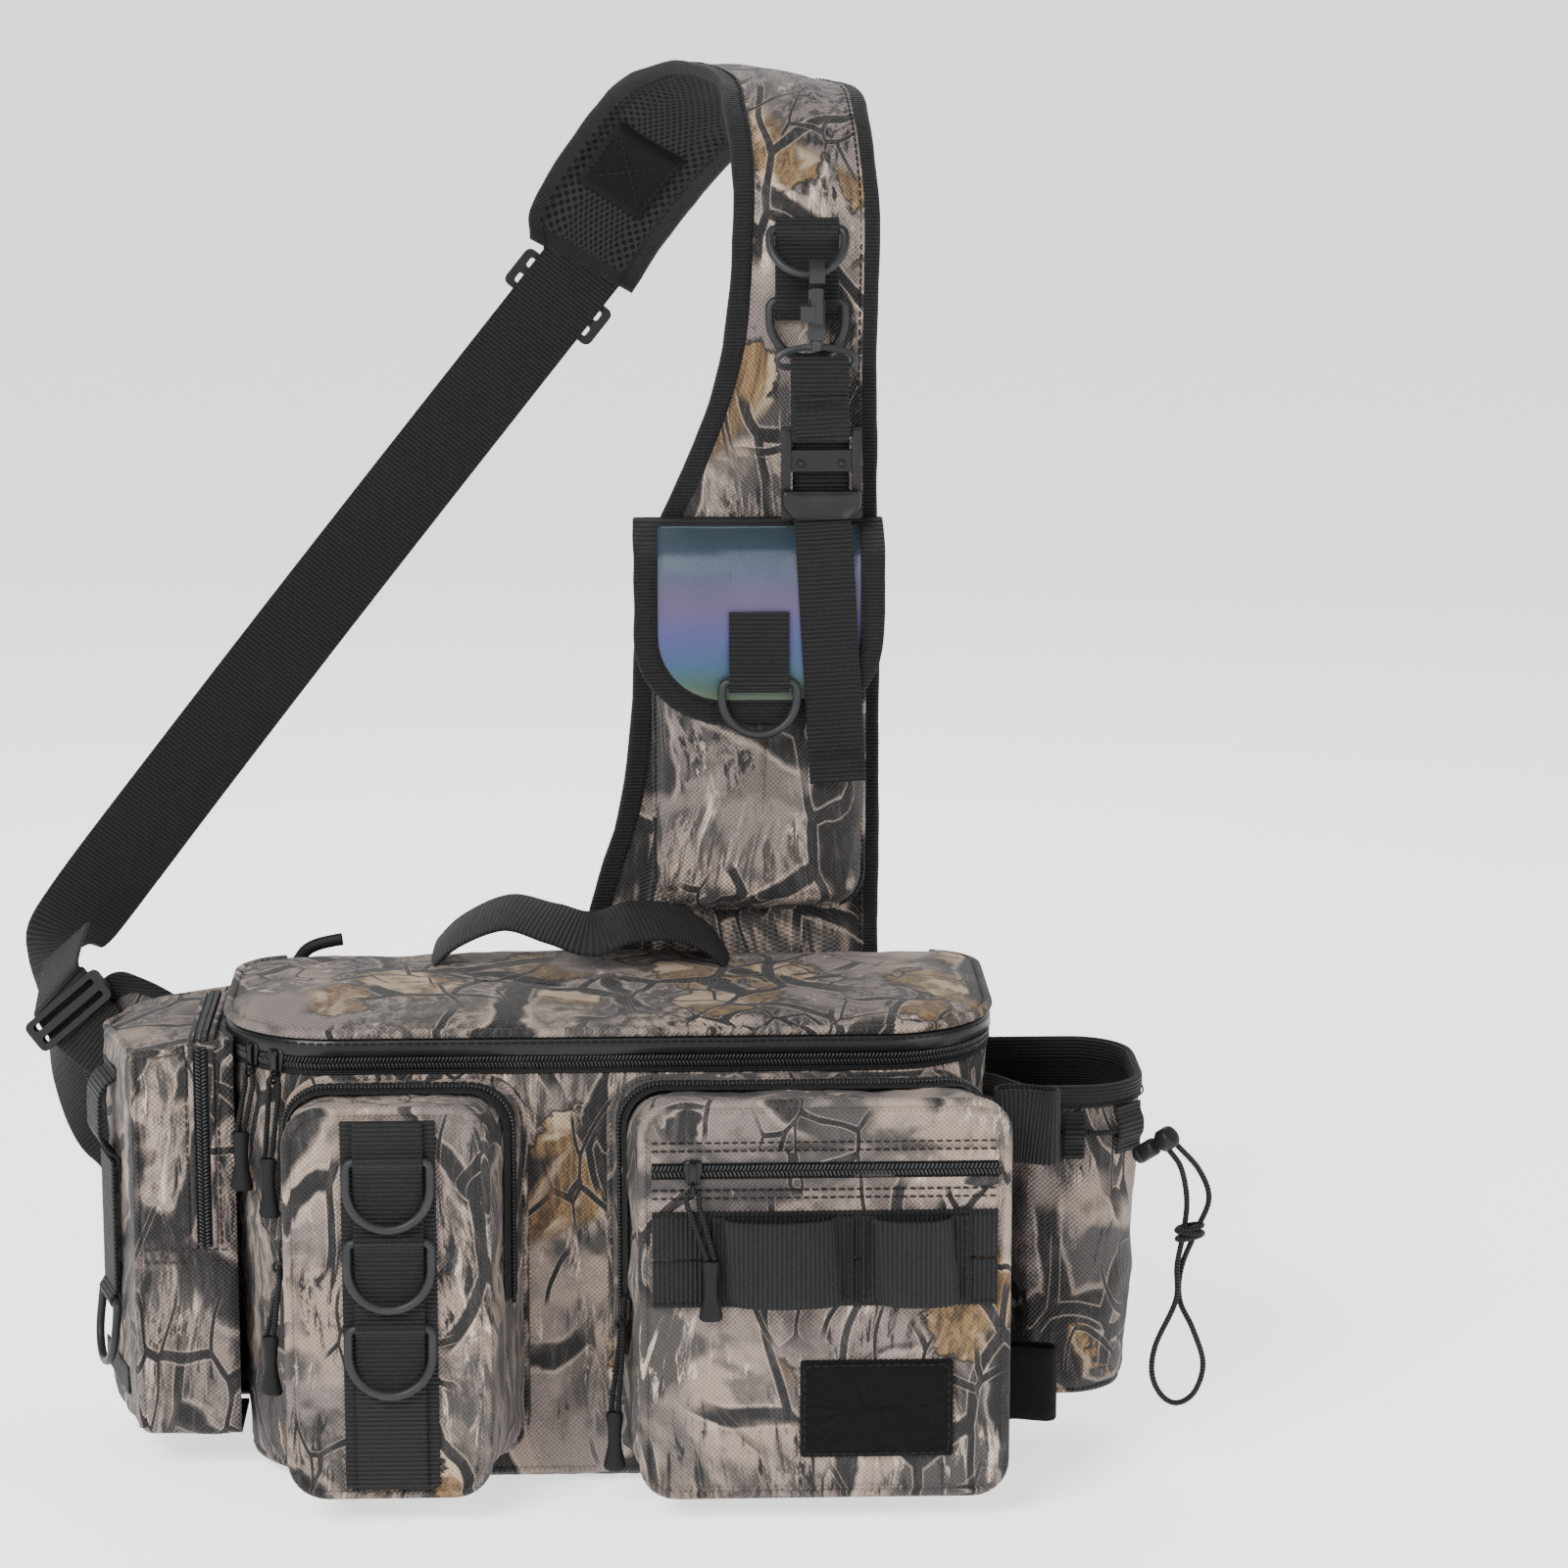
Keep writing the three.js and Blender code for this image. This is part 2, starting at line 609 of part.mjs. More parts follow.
// What is sewn to the side pocket's slanted outer face sits in a group turned to that face
const sideFace = new THREE.Group();
sideFace.rotation.z = slant - Math.PI / 2;
const alongSide = 0.62;
sideFace.position.set(
  THREE.MathUtils.lerp(sideFaceStart.x, sideOuter - sidePocketBulge, alongSide),
  THREE.MathUtils.lerp(sideFaceStart.y, sidePocketBend, alongSide), 0);
sideFace.translateY(-seatGap);
bag.add(sideFace);
addPiece("side_loop", extrudeAcross([
  [0, sideLoopTop], [-sideLoopStand * 0.6, sideLoopTop - 4], [-sideLoopStand, sideLoopTop - 12],
  [-sideLoopStand, sideLoopFoot + 10], [-sideLoopStand * 0.5, sideLoopFoot + 2], [0, sideLoopFoot],
  [0, sideLoopFoot + webbing * 1.6], [-sideLoopStand * 0.4, sideLoopFoot + webbing * 2.4],
  [-sideLoopStand + webbing, sideLoopFoot + 11], [-sideLoopStand + webbing, sideLoopTop - 13],
  [-sideLoopStand * 0.4, sideLoopTop - webbing * 3.6], [0, sideLoopTop - webbing * 1.6],
], sideStripWidth), blackWeb(), sideFace);
addPiece("side_ring_tab", ringStrip({
  backing: sideStripWidth, width: sideStripWidth, top: sideLoopFoot - 1, foot: sideRingBar - 4,
  bars: [sideRingBar],
}), blackWeb(), sideFace);
const sideRing = addPiece("side_ring", ring(sideRingWidth, sideRingDrop), darkMetal(), sideFace);
sideRing.position.set(0, -barSeat, sideRingBar);
sideRing.rotation.x = THREE.MathUtils.degToRad(-ringTilt);

// Bottle pocket: an open cup against the body's right side
function bottlePlan(z, inset) {
  const climb = (z - bottleFoot) / (bottleRim - bottleFoot);
  const reach = bodyHalf + bottleReach * (bottleTaper + (1 - bottleTaper) * climb) - inset;
  const [front, back] = [bottleFront + inset, bottleBack - inset];
  const radius = bottleRadius - inset;
  const root = bodyHalf - 3 * sunk;
  const points = [[root, front + bottleRadius * 0.8], [bodyHalf, front + bottleRadius * 0.8],
    [bodyHalf + bottleRadius * 0.6, front]];
  for (let step = 0; step <= 2 * cornerSteps; step += 1) {
    const angle = ((Math.PI / 2) * step) / cornerSteps;
    const middle = step <= cornerSteps ? front + radius : back - radius;
    points.push([reach - radius + radius * Math.sin(angle), middle - radius * Math.cos(angle)]);
  }
  return [...points, [root, back]];
}
function bottlePocket() {
  const ringOf = (z, inset) => ringAt(bottlePlan(z, inset), z);
  const outer = loft([
    ringOf(bottleFoot, 8), ringOf(bottleFoot + 3, 2.5), ringOf(bottleFoot + 8, 0), ringOf(bottleRim, 0)]);
  const hollow = loft([
    ringOf(bottleFoot + pocketWall, 8 + pocketWall), ringOf(bottleFoot + 3 + pocketWall, 2.5 + pocketWall),
    ringOf(bottleFoot + 10, pocketWall), ringOf(bottleRim + 5, pocketWall)]);
  const kept = trim(hollow, bodyRoom(seatGap + pocketWall));
  return trim(cut(outer, kept), bodyClear);
}
addPiece("bottle_pocket", bottlePocket(), camo());

// Two webbing tabs under the rim and the short stretch of draw cord between them
function bottleTabs() {
  const reach = bodyHalf + bottleReach * 0.985;
  const y = bottleFront - seatGap - 0.2;
  const frontTab = boxBetween([reach - 34, y - 2.5, 134], [reach - 34 + bottleTabWidth, y, 154]);
  const cordStretch = rod("x", drawCord / 2, reach - 28, reach - 14, 8).translate(0, y - 1.3, 145);
  const corner = new THREE.Vector2(reach - bottleRadius, bottleFront + bottleRadius);
  const block = boxBetween([-8, -3, 135], [8, 0, 155])
    .translate(0, -bottleRadius - seatGap - 0.6, 0)
    .rotateZ(THREE.MathUtils.degToRad(45)).translate(corner.x, corner.y, 0);
  const bridge = boxBetween([reach - 19, y - 2.3, 143.4], [reach - 9.5, y + 0.7, 146.6]);
  return join(frontTab, cordStretch, bridge, block);
}
addPiece("bottle_tabs", bottleTabs(), blackWeb());

// Cord lock: barrel and button on one slanted axis
const lock = new THREE.Group();
lock.position.copy(lockMiddle);
lock.rotation.set(0, THREE.MathUtils.degToRad(lockTurn.pitch), THREE.MathUtils.degToRad(lockTurn.yaw), "ZYX");
bag.add(lock);
const buttonTravel = 3;
const buttonStem = lockBarrelRadius * 0.65;
addPiece("cord_lock_barrel", cut(
  rod("x", lockBarrelRadius, -lockBarrelLength, 0, 12),
  rod("x", buttonStem + seatGap, -buttonTravel - 1, 1, 12)), darkPlastic(), lock);
addPiece("cord_lock_button", join(
  rod("x", lockButtonRadius, buttonTravel + seatGap, buttonTravel + seatGap + lockButtonLength, 12),
  rod("x", buttonStem, -seatGap, buttonTravel + seatGap + 1, 12)), darkPlastic(), lock);

function cordTube(route, thick, steps, sides = 8) {
  const curve = new THREE.CatmullRomCurve3(route.map((point) => new THREE.Vector3(...point)),
    false, "centripetal");
  const section = new THREE.Shape(Array.from({ length: sides }, (_, i) => {
    const angle = (2 * Math.PI * i) / sides;
    return new THREE.Vector2((thick / 2) * Math.cos(angle), (thick / 2) * Math.sin(angle));
  }));
  return new THREE.ExtrudeGeometry(section, { steps, extrudePath: curve, bevelEnabled: false });
}
addPiece("draw_cord", cordTube(drawCordRoute, drawCord, cordSteps), blackWeb());
const knot = new THREE.SphereGeometry(knotRadius, 8, 6).scale(1.5, 0.9, 1.1).translate(...knotMiddle);
addPiece("draw_knot", cut(knot, cordTube(drawCordRoute, drawCord + 2 * seatGap + 0.2, cordSteps)),
  blackWeb());

// Rod straps: flat loops of hook-and-loop webbing on the large pocket's right gusset
function rodStrap(middle) {
  const y = pocketFace + pocketFaceDepth * 0.66;
  const root = gussetX(largePocketBase, largePocketFace, "right", y) + 0.55;
  const outer = roundedRing(root, root + rodStrapReach, y - rodStrapThick / 2, y + rodStrapThick / 2,
    Array(4).fill(rodStrapThick / 2 - 0.5), 4);
  const inner = roundedRing(root + rodStrapSheet, root + rodStrapReach - rodStrapSheet,
    y - rodStrapThick / 2 + rodStrapSheet, y + rodStrapThick / 2 - rodStrapSheet,
    Array(4).fill(rodStrapThick / 2 - 0.5 - rodStrapSheet), 4);
  const shape = new THREE.Shape(outer.map(([px, py]) => new THREE.Vector2(px, py)));
  shape.holes.push(new THREE.Path(inner.map(([px, py]) => new THREE.Vector2(px, py))));
  return new THREE.ExtrudeGeometry(shape, { depth: 31, bevelEnabled: false }).translate(0, 0, middle - 15.5);
}
for (const [name, middle] of Object.entries(rodStraps)) {
  addPiece(name, rodStrap(middle), cloth(0x141415));
}

// A ribbon through rows of a point, a direction across and a width
function ribbon(rows, thick) {
  return loft(rows.map((row, i) => {
    const before = rows[Math.max(i - 1, 0)].at;
    const after = rows[Math.min(i + 1, rows.length - 1)].at;
    const along = new THREE.Vector3().subVectors(after, before).normalize();
    const across = row.across.clone().addScaledVector(along, -row.across.dot(along)).normalize();
    const normal = new THREE.Vector3().crossVectors(along, across).multiplyScalar(thick / 2);
    const side = across.multiplyScalar(row.width / 2);
    return [
      row.at.clone().add(side).add(normal), row.at.clone().sub(side).add(normal),
      row.at.clone().sub(side).sub(normal), row.at.clone().add(side).sub(normal),
    ];
  }));
}

// Carry handle: shares of its span, of its rise, and how far its middle leans to the front
const handleRows = [
  { along: -0.5, rise: -0.1, front: 0, tilt: 0 }, { along: -0.49, rise: 0.2, front: 1, tilt: 0.05 },
  { along: -0.4, rise: 0.66, front: 4, tilt: 0.1 }, { along: -0.25, rise: 1, front: 8, tilt: 0.16 },
  { along: -0.1, rise: 0.84, front: 12, tilt: 0.24 }, { along: 0.03, rise: 0.66, front: 14, tilt: 0.28 },
  { along: 0.16, rise: 0.84, front: 12, tilt: 0.24 }, { along: 0.3, rise: 0.8, front: 8, tilt: 0.16 },
  { along: 0.42, rise: 0.45, front: 4, tilt: 0.1 }, { along: 0.5, rise: -0.1, front: 0, tilt: 0 },
];
const handleBack = bodyDepth / 2 - wideWebbing / 2 - 3;
const handleGeometry = ribbon(handleRows.map((row) => ({
  at: new THREE.Vector3(
    handleMiddle + row.along * handleSpan, handleBack - row.front,
    lidFoot + 0.75 * lidRise + row.rise * handleRise),
  across: new THREE.Vector3(0, Math.cos(row.tilt), Math.sin(row.tilt)),
  width: wideWebbing,
})), webbing);
addPiece("carry_handle", trim(handleGeometry, lidGeometry.clone().translate(0, 0, seatGap)), blackWeb());

// Sling pad: rows of its two edges as shares of the foot width, the rise and the reach
const padRows = [
  { left: [-1, 0, 0], right: [0, 0, 0] }, { left: [-0.885, 0.147, 0], right: [0, 0.147, 0] },
  { left: [-0.776, 0.277, 0], right: [0, 0.277, 0] }, { left: [-0.74, 0.44, 0], right: [0, 0.44, 0] },
  { left: [-0.733, 0.478, 0], right: [0, 0.478, 0] }, { left: [-0.688, 0.532, 0], right: [-0.004, 0.532, 0] },
  { left: [-0.583, 0.608, 0], right: [-0.007, 0.608, 0] }, { left: [-0.508, 0.676, 0],
  right: [-0.01, 0.676, 0] },
  { left: [-0.463, 0.745, 0], right: [-0.007, 0.745, 0] }, { left: [-0.443, 0.856, 0],
  right: [-0.004, 0.856, 0] },
  { left: [-0.444, 0.917, 0.06], right: [-0.014, 0.915, 0.06] },
  { left: [-0.461, 0.962, 0.16], right: [-0.028, 0.955, 0.15] },
  { left: [-0.482, 0.989, 0.29], right: [-0.05, 0.978, 0.28] },
  { left: [-0.585, 1, 0.49], right: [-0.14, 0.975, 0.49] },
  { left: [-0.69, 0.99, 0.65], right: [-0.25, 0.942, 0.66] },
  { left: [-0.78, 0.968, 0.79], right: [-0.38, 0.896, 0.8] },
  { left: [-0.88, 0.925, 0.9], right: [-0.51, 0.842, 0.9] },
  { left: [-1, 0.865, 0.975], right: [-0.63, 0.786, 0.975] },
  { left: [-1.068, 0.82, 1], right: [-0.7, 0.748, 1] },
  { left: [-1.07, 0.79, 1], right: [-0.735, 0.729, 1] },
];
const padFront = rearBack + seatGap;
function padPoint([across, climb, reach]) {
  return new THREE.Vector3(padRight + across * padFootWidth, padFront + reach * padReach,
    padFoot + climb * padRise);
}
function slingPad() {
  const section = [[0, 0.3], [0.035, 0], [0.965, 0], [1, 0.3], [1, 0.7], [0.965, 1], [0.035, 1], [0, 0.7]];
  const middles = padRows.map((row) => padPoint(row.left).add(padPoint(row.right)).divideScalar(2));
  return loft(padRows.map((row, i) => {
    const left = padPoint(row.left);
    const across = padPoint(row.right).sub(left);
    const along = middles[Math.min(i + 1, middles.length - 1)].clone().sub(middles[Math.max(i - 1, 0)]);
    const inward = new THREE.Vector3().crossVectors(along, across).normalize().multiplyScalar(padThick);
    return section.map(([u, v]) => left.clone().addScaledVector(across, u).addScaledVector(inward, v));
  }));
}
addPiece("sling_pad", slingPad(), camo());
const crest = padRows[13];
const shoulderSeat = padPoint(crest.left).add(padPoint(crest.right)).divideScalar(2)
  .add(new THREE.Vector3(0, 0, -padThick));

// Pouch on the pad: a tray open towards the pad and at the top, under the flap
const padSurface = padFront - seatGap;
const pouchWallDepth = 1.8;
function pouch() {
  const outline = (y, inset) => roundedRing(
    pouchLeft + inset, pouchRight - inset, pouchFoot + inset, pouchFoot + pouchHeight, [16, 4, 4, 16], 4)
    .map(([x, z]) => new THREE.Vector3(x, y, z));
  const front = padSurface - pouchDepth;
  const tray = loft([
    outline(front, 12), outline(front + 2, 7), outline(front + 7, 3), outline(padSurface, 0),
    outline(padSurface, pouchWallDepth), outline(front + 8, 5.4),
    outline(front + pouchWallDepth, 12 + pouchWallDepth),
  ]);
  const mouth = boxBetween(
    [pouchLeft - 5, front - 5, pouchFoot + pouchHeight - 9], [pouchRight + 5, padSurface + 5, flapTop]);
  return cut(tray, mouth);
}
addPiece("sling_pouch", pouch(), camo());

// Flap over the pouch: bent in side view, with round lower corners in front view
const pouchFront = padSurface - pouchDepth;
const flapLeft = padRight + 1 - flapWidth;
function pouchFlap() {
  const outer = [
    [padSurface - flapThick, flapTop], [padSurface - 10, flapTop - 3],
    [pouchFront - 2 - flapThick, flapTop - 13],
    [pouchFront - 0.6 - flapThick, flapTop - 36], [pouchFront - 0.6 - flapThick, flapTop - flapDrop],
  ];
  const inner = [
    [pouchFront - 0.6, flapTop - flapDrop], [pouchFront - 0.6, flapTop - 34],
    [pouchFront - 2, flapTop - 13 - flapThick],
    [padSurface - 8, flapTop - 3 - flapThick], [padSurface - 1.4, flapTop - flapThick],
    [padSurface, flapTop - 8],
    [padSurface, flapTop],
  ];
  const bent = extrudeAcross([...outer, ...inner], flapWidth).translate(flapLeft + flapWidth / 2, 0, 0);
  const outline = roundedRing(
    flapLeft, flapLeft + flapWidth, flapTop - flapDrop, flapTop + 1, [flapRadius, 3, 3, flapRadius], 6);
  return common(bent, extrudeForward(outline, pouchFront - 20, padSurface + 1));
}
addPiece("pouch_flap", pouchFlap(), cloth(0x4d5d7a, 0.4));
const flapSurface = pouchFront - 0.6 - flapThick - seatGap;
addPiece("flap_tab", ringStrip({
  backing: flapTabWidth, width: flapTabWidth, top: flapTop - 37, foot: flapRingBar - 4, bars: [flapRingBar],
}), blackWeb()).position.set(flapTabMiddle, flapSurface, 0);
const flapRing = addPiece("flap_ring", ring(flapRingWidth, flapRingDrop), darkMetal());
flapRing.position.set(flapTabMiddle, flapSurface - barSeat, flapRingBar);
flapRing.rotation.x = THREE.MathUtils.degToRad(-ringTilt);

// Ring strip on the pad with its two rings; the upper one holds the snap hook
addPiece("pad_ring_webbing", ringStrip({
  backing: narrowWebbing - 1, width: narrowWebbing - 1, top: padStripTop, foot: padStripFoot,
  bars: [upperRingBar, lowerRingBar],
}), blackWeb()).position.set(padStripMiddle, padSurface, 0);
const barDepth = padSurface - barSeat;
const upperRing = addPiece("pad_ring_upper", ring(padRingWidth, upperRingDrop), darkMetal());
upperRing.position.set(padStripMiddle, barDepth, upperRingBar);
upperRing.rotation.x = THREE.MathUtils.degToRad(-upperRingTilt);
const lowerRing = addPiece("pad_ring_lower", ring(padRingWidth, lowerRingDrop), darkMetal());
lowerRing.position.set(padStripMiddle, barDepth, lowerRingBar);
lowerRing.rotation.x = THREE.MathUtils.degToRad(-ringTilt);

// Snap hook: its eye closes round the upper ring's bow, seen from its side in the Y and Z plane
const bowAngle = THREE.MathUtils.degToRad(upperRingTilt);
const eye = {
  y: barDepth - Math.sin(bowAngle) * upperRingDrop,
  z: upperRingBar - Math.cos(bowAngle) * upperRingDrop - (hookEye - ringWire - 1.7),
};
function arcPoints(radius, from, to, steps) {
  return Array.from({ length: steps + 1 }, (_, step) => {
    const angle = THREE.MathUtils.degToRad(from + ((to - from) * step) / steps);
    return [eye.y + radius * Math.cos(angle), eye.z + radius * Math.sin(angle)];
  });
}
const gateFace = eye.y - hookShaft.deep / 2 - seatGap;
function snapHook() {
  const hook = extrudeAcross([
    ...arcPoints(hookEye + hookWire, -70, 190, 10), ...arcPoints(hookEye, 190, -70, 10),
  ], hookThick);
  const shaft = boxBetween(
    [-hookShaft.wide / 2, eye.y - hookShaft.deep / 2, hookShaft.bottom],
    [hookShaft.wide / 2, eye.y + hookShaft.deep / 2, hookShaft.top]);
  const bore = rod("z", 2, hookShaft.bottom - 1, hookShaft.bottom + 5, 10).translate(0, eye.y, 0);
  const neck = boxBetween(
    [-hookThick / 2, eye.y - 0.5, hookShaft.top - 1], [hookThick / 2, eye.y + hookEye + 2,
    eye.z - hookEye * 0.8]);
  return cut(join(hook, shaft, neck), bore, rod("x", hookEye, -9, 9, 16).translate(0, eye.y, eye.z));
}
addPiece("snap_hook", snapHook(), darkMetal()).position.x = hookMiddle;
function snapGate() {
  const top = eye.z - Math.sin(THREE.MathUtils.degToRad(20)) * (hookEye + hookWire) - seatGap - 0.4;
  const bolt = boxBetween([-2.4, gateFace - 3, hookShaft.bottom + gateTravel + 1], [2.4, gateFace, top]);
  const nub = boxBetween([-7, gateFace - 3.6, hookShaft.bottom + 8],
    [-1, gateFace - 0.2, hookShaft.bottom + 15]);
  return join(bolt, nub);
}
addPiece("snap_gate", snapGate(), darkMetal()).position.x = hookMiddle;

// Swivel: a D ring with its bow up and a stem in the shaft's bore
const swivelDrop = hookShaft.bottom - swivelBar - 3;
const swivelRing = ring(swivelRingWidth, swivelDrop).rotateX(Math.PI).translate(0, eye.y, swivelBar);
const stem = rod("z", 1.6, hookShaft.bottom - 4.6, hookShaft.bottom + 4, 10).translate(0, eye.y, 0);
const collar = rod("z", 3, hookShaft.bottom - 4.4, hookShaft.bottom - seatGap, 10).translate(0, eye.y, 0);
addPiece("swivel_base", join(swivelRing, stem, collar), darkMetal()).position.x = hookMiddle;

// Hook webbing: a sewn loop round the swivel's bar and the ladder lock's top bar
const lockBarMiddle = ladderLock.top - ladderLock.bar / 2;
const ladderBore = Math.hypot(ladderLock.bar / 2, ladderLock.bar / 2) + seatGap;
function hookLoop() {
  const racetrack = (radius) => {
    const points = [];
    for (let step = 0; step <= 8; step += 1) {
      const angle = (Math.PI * step) / 8;
      points.push([eye.y + radius * Math.cos(angle), swivelBar + radius * Math.sin(angle)]);
    }
    for (let step = 0; step <= 8; step += 1) {
      const angle = Math.PI + (Math.PI * step) / 8;
      points.push([eye.y + radius * Math.cos(angle), lockBarMiddle + radius * Math.sin(angle)]);
    }
    return points;
  };
  return extrudeAcross(racetrack(ladderBore + webbing), hookWebbing, [racetrack(ladderBore).reverse()]);
}
const buckleMiddle = (ladderLock.left + ladderLock.right) / 2;
addPiece("hook_webbing", hookLoop(), blackWeb()).position.x = buckleMiddle - 0.6;

function ladderFrame() {
  const { left, right, top, bottom, thick, bar, side } = ladderLock;
  const half = (right - left) / 2;
  const height = top - bottom;
  const windows = [
    { low: top - bar - 5.6, high: top - bar }, { low: bottom + 11, high: bottom + height * 0.52 },
  ];
  const plate = boxBetween([-half, -bar / 2, bottom], [half, bar / 2, top]);
  const rails = [-1, 1].map((sign) => boxBetween(
    [sign > 0 ? half - side : -half, -thick / 2, bottom + 1], [sign > 0 ? half : -half + side, thick / 2,
    top - 1]));
  const holes = windows.map(({ low, high }) => boxBetween([-half + side, -thick, low],
    [half - side, thick, high]));
  return cut(join(plate, ...rails), ...holes);
}
addPiece("ladder_lock", ladderFrame(), darkPlastic()).position.set(buckleMiddle, eye.y, 0);

// Tail webbing: hangs down in front of the flap from the ladder lock's lower bar
const tail = new THREE.Group();
tail.position.set(buckleMiddle + seatGap, 0, ladderLock.bottom);
tail.rotation.y = THREE.MathUtils.degToRad(-tailLean);
bag.add(tail);
const flapCrown = pouchFront - 2 - flapThick;
const tailFront = Math.min(eye.y - ladderLock.bar / 2, flapCrown) - seatGap;
const tailBack = [
  [eye.y - ladderLock.bar / 2 - seatGap, 10], [eye.y - ladderLock.bar / 2 - seatGap, 0],
  [tailFront, -11], [tailFront, -tailLength],
];
const tailFore = tailBack.map(([y, z]) => [y - webbing, z]).reverse();
addPiece("tail_webbing", extrudeAcross([...tailBack, ...tailFore], hookWebbing), blackWeb(), tail);

// Wing: a padded triangle that leans back from the rear pocket
const wingStart = -rearPocketWidth / 2;
const wingPlane = (x) => rearBack + seatGap + Math.max(0, wingStart - x) * wingLean;
const wingOutline = [
  [0, 0.84], [0.4, 0.83], [0.72, 0.97], [0.83, 1], [0.92, 0.94], [0.985, 0.8], [1, 0.64], [0.9, 0.46],
  [0.7, 0.28], [0.25, 0], [0, 0],
];
function wingPad() {
  const points = wingOutline.map(([reach, climb]) => [wingRoot - reach * wingReach,
    wingFoot + climb * wingHeight]);
  const flat = extrudeForward(points, 0, wingThick);
  const solid = toSolid(flat).refineToLength(30).warp((vertex) => {
    vertex[1] += wingPlane(vertex[0]);
  });
  return fromSolid(solid);
}
addPiece("wing_pad", wingPad(), camo());

// Shoulder webbing: from the pad's end down to the wing, where its inner layer meets the tri-glide
const padEnd = padRows[padRows.length - 1];
const padEndMiddle = padPoint(padEnd.left).add(padPoint(padEnd.right)).divideScalar(2);
const station = (x, y, z, across, width = wideWebbing) => ({
  at: new THREE.Vector3(x, y, z), across: new THREE.Vector3(...across), width,
});
const wingBack = (x) => wingPlane(x) + wingThick + webbing + 1;
const shoulderStart = padEndMiddle.clone().add(new THREE.Vector3(-2.2, -padThick / 2, -3.6));
const hitchReach = 0.8;
const hitchClimb = 0.33;
const hitchX = wingRoot - hitchReach * wingReach;
const hitch = new THREE.Vector3(hitchX, wingBack(hitchX), wingFoot + hitchClimb * wingHeight);
const strapWay = hitch.clone().sub(shoulderStart);
// Shares of the way from the pad's end to the hitch on the wing, sideways, back and down
const strapStation = (side, back, down, across) => station(
  shoulderStart.x + side * strapWay.x, shoulderStart.y + back * strapWay.y,
  shoulderStart.z + down * strapWay.z,
  across);
// The long run stays square to one direction across, so its faces are flat
const runAcross = [0.776, 0, -0.631];
const runStation = (side, back, across = runAcross) => strapStation(
  side, back, (side * strapWay.x * runAcross[0]) / (-runAcross[2] * strapWay.z), across);
const shoulderRows = [
  runStation(0, 0), runStation(0.34, 0.1), runStation(0.65, 0.23), runStation(0.94, 0.43),
  runStation(1.12, 0.61, [0.72, -0.3, -0.6]),
  strapStation(1.18, 0.7, 0.79, [0.4, -0.8, -0.3]),
  strapStation(1.18, 0.8, 0.85, [0.3, -0.9, 0]),
  strapStation(1.14, 0.88, 0.91, [0.5, -0.6, 0.4]),
  strapStation(1.05, 0.98, 0.97, [0.85, -0.25, 0.4]),
  strapStation(1, 1, 1, [0.85, -0.25, 0.45]),
];
addPiece("shoulder_webbing", ribbon(shoulderRows, webbing), blackWeb());

const wingFront = (x) => wingPlane(x) - webbing / 2 - 2 * seatGap;
const wingBandWidth = wideWebbing - 4;
const wingTopStand = 26.65;
// Shares of the wing's reach and height, how far off the wing's face, and the way across
function wingStation(reach, climb, off, across) {
  const x = wingRoot - reach * wingReach;
  return station(x, wingFront(x) + off, wingFoot + climb * wingHeight, across, wingBandWidth);
}
const wingRows = [
  wingStation(1.053, 1.041, wingTopStand, [0.6, -0.1, 0.7]),
  wingStation(1.07, 0.934, 2, [0.58, -0.16, 0.8]),
  wingStation(1.044, 0.893, -1.5, [0.58, -0.16, 0.8]),
  wingStation(0.956, 0.793, -1.5, [0.58, -0.16, 0.8]),
  wingStation(0.816, 0.686, 0, [0.55, -0.16, 0.83]),
  wingStation(0.658, 0.562, 0, [0.55, -0.16, 0.83]),
];
const shoulderRoom = ribbon(
  shoulderRows.map((row) => ({ ...row, width: row.width + 2 * seatGap })), webbing + 2 * seatGap);
addPiece("wing_webbing", trim(ribbon(wingRows, webbing), shoulderRoom), blackWeb());

// A rectangular frame with two slots, seated on one face of a ribbon between two of its rows
function frameGeometry({ wide, tall, thick, bar }) {
  const outer = roundedRing(-wide / 2, wide / 2, -tall / 2, tall / 2, Array(4).fill(3), 3);
  const slot = (low, high) => roundedRing(-wide / 2 + bar, wide / 2 - bar, low, high, Array(4).fill(1),
    2).reverse();
  const slots = [slot(bar / 2, tall / 2 - bar * 0.8), slot(-tall / 2 + bar * 0.8, -bar / 2)];
  return extrudeForward(outer, -thick / 2, thick / 2, slots);
}
function seatOnRibbon(mesh, from, to, share, lift) {
  const along = new THREE.Vector3().subVectors(from.at, to.at).normalize();
  const across = from.across.clone().lerp(to.across, share);
  across.addScaledVector(along, -across.dot(along)).normalize();
  const normal = new THREE.Vector3().crossVectors(along, across);
  mesh.position.lerpVectors(from.at, to.at, share).addScaledVector(normal, lift);
  mesh.quaternion.setFromRotationMatrix(new THREE.Matrix4().makeBasis(across, normal, along));
}
const adjusterMesh = addPiece("strap_adjuster", frameGeometry(adjuster), darkPlastic());
seatOnRibbon(adjusterMesh, shoulderRows[0], shoulderRows[1], 0.12,
  webbing / 2 + adjuster.thick / 2 + seatGap + 0.1);
const triglideMesh = addPiece("wing_triglide", frameGeometry(triglide), darkPlastic());
seatOnRibbon(triglideMesh, wingRows[2], wingRows[3], 0.4, -webbing / 2 - triglide.thick / 2 - 2 * seatGap);

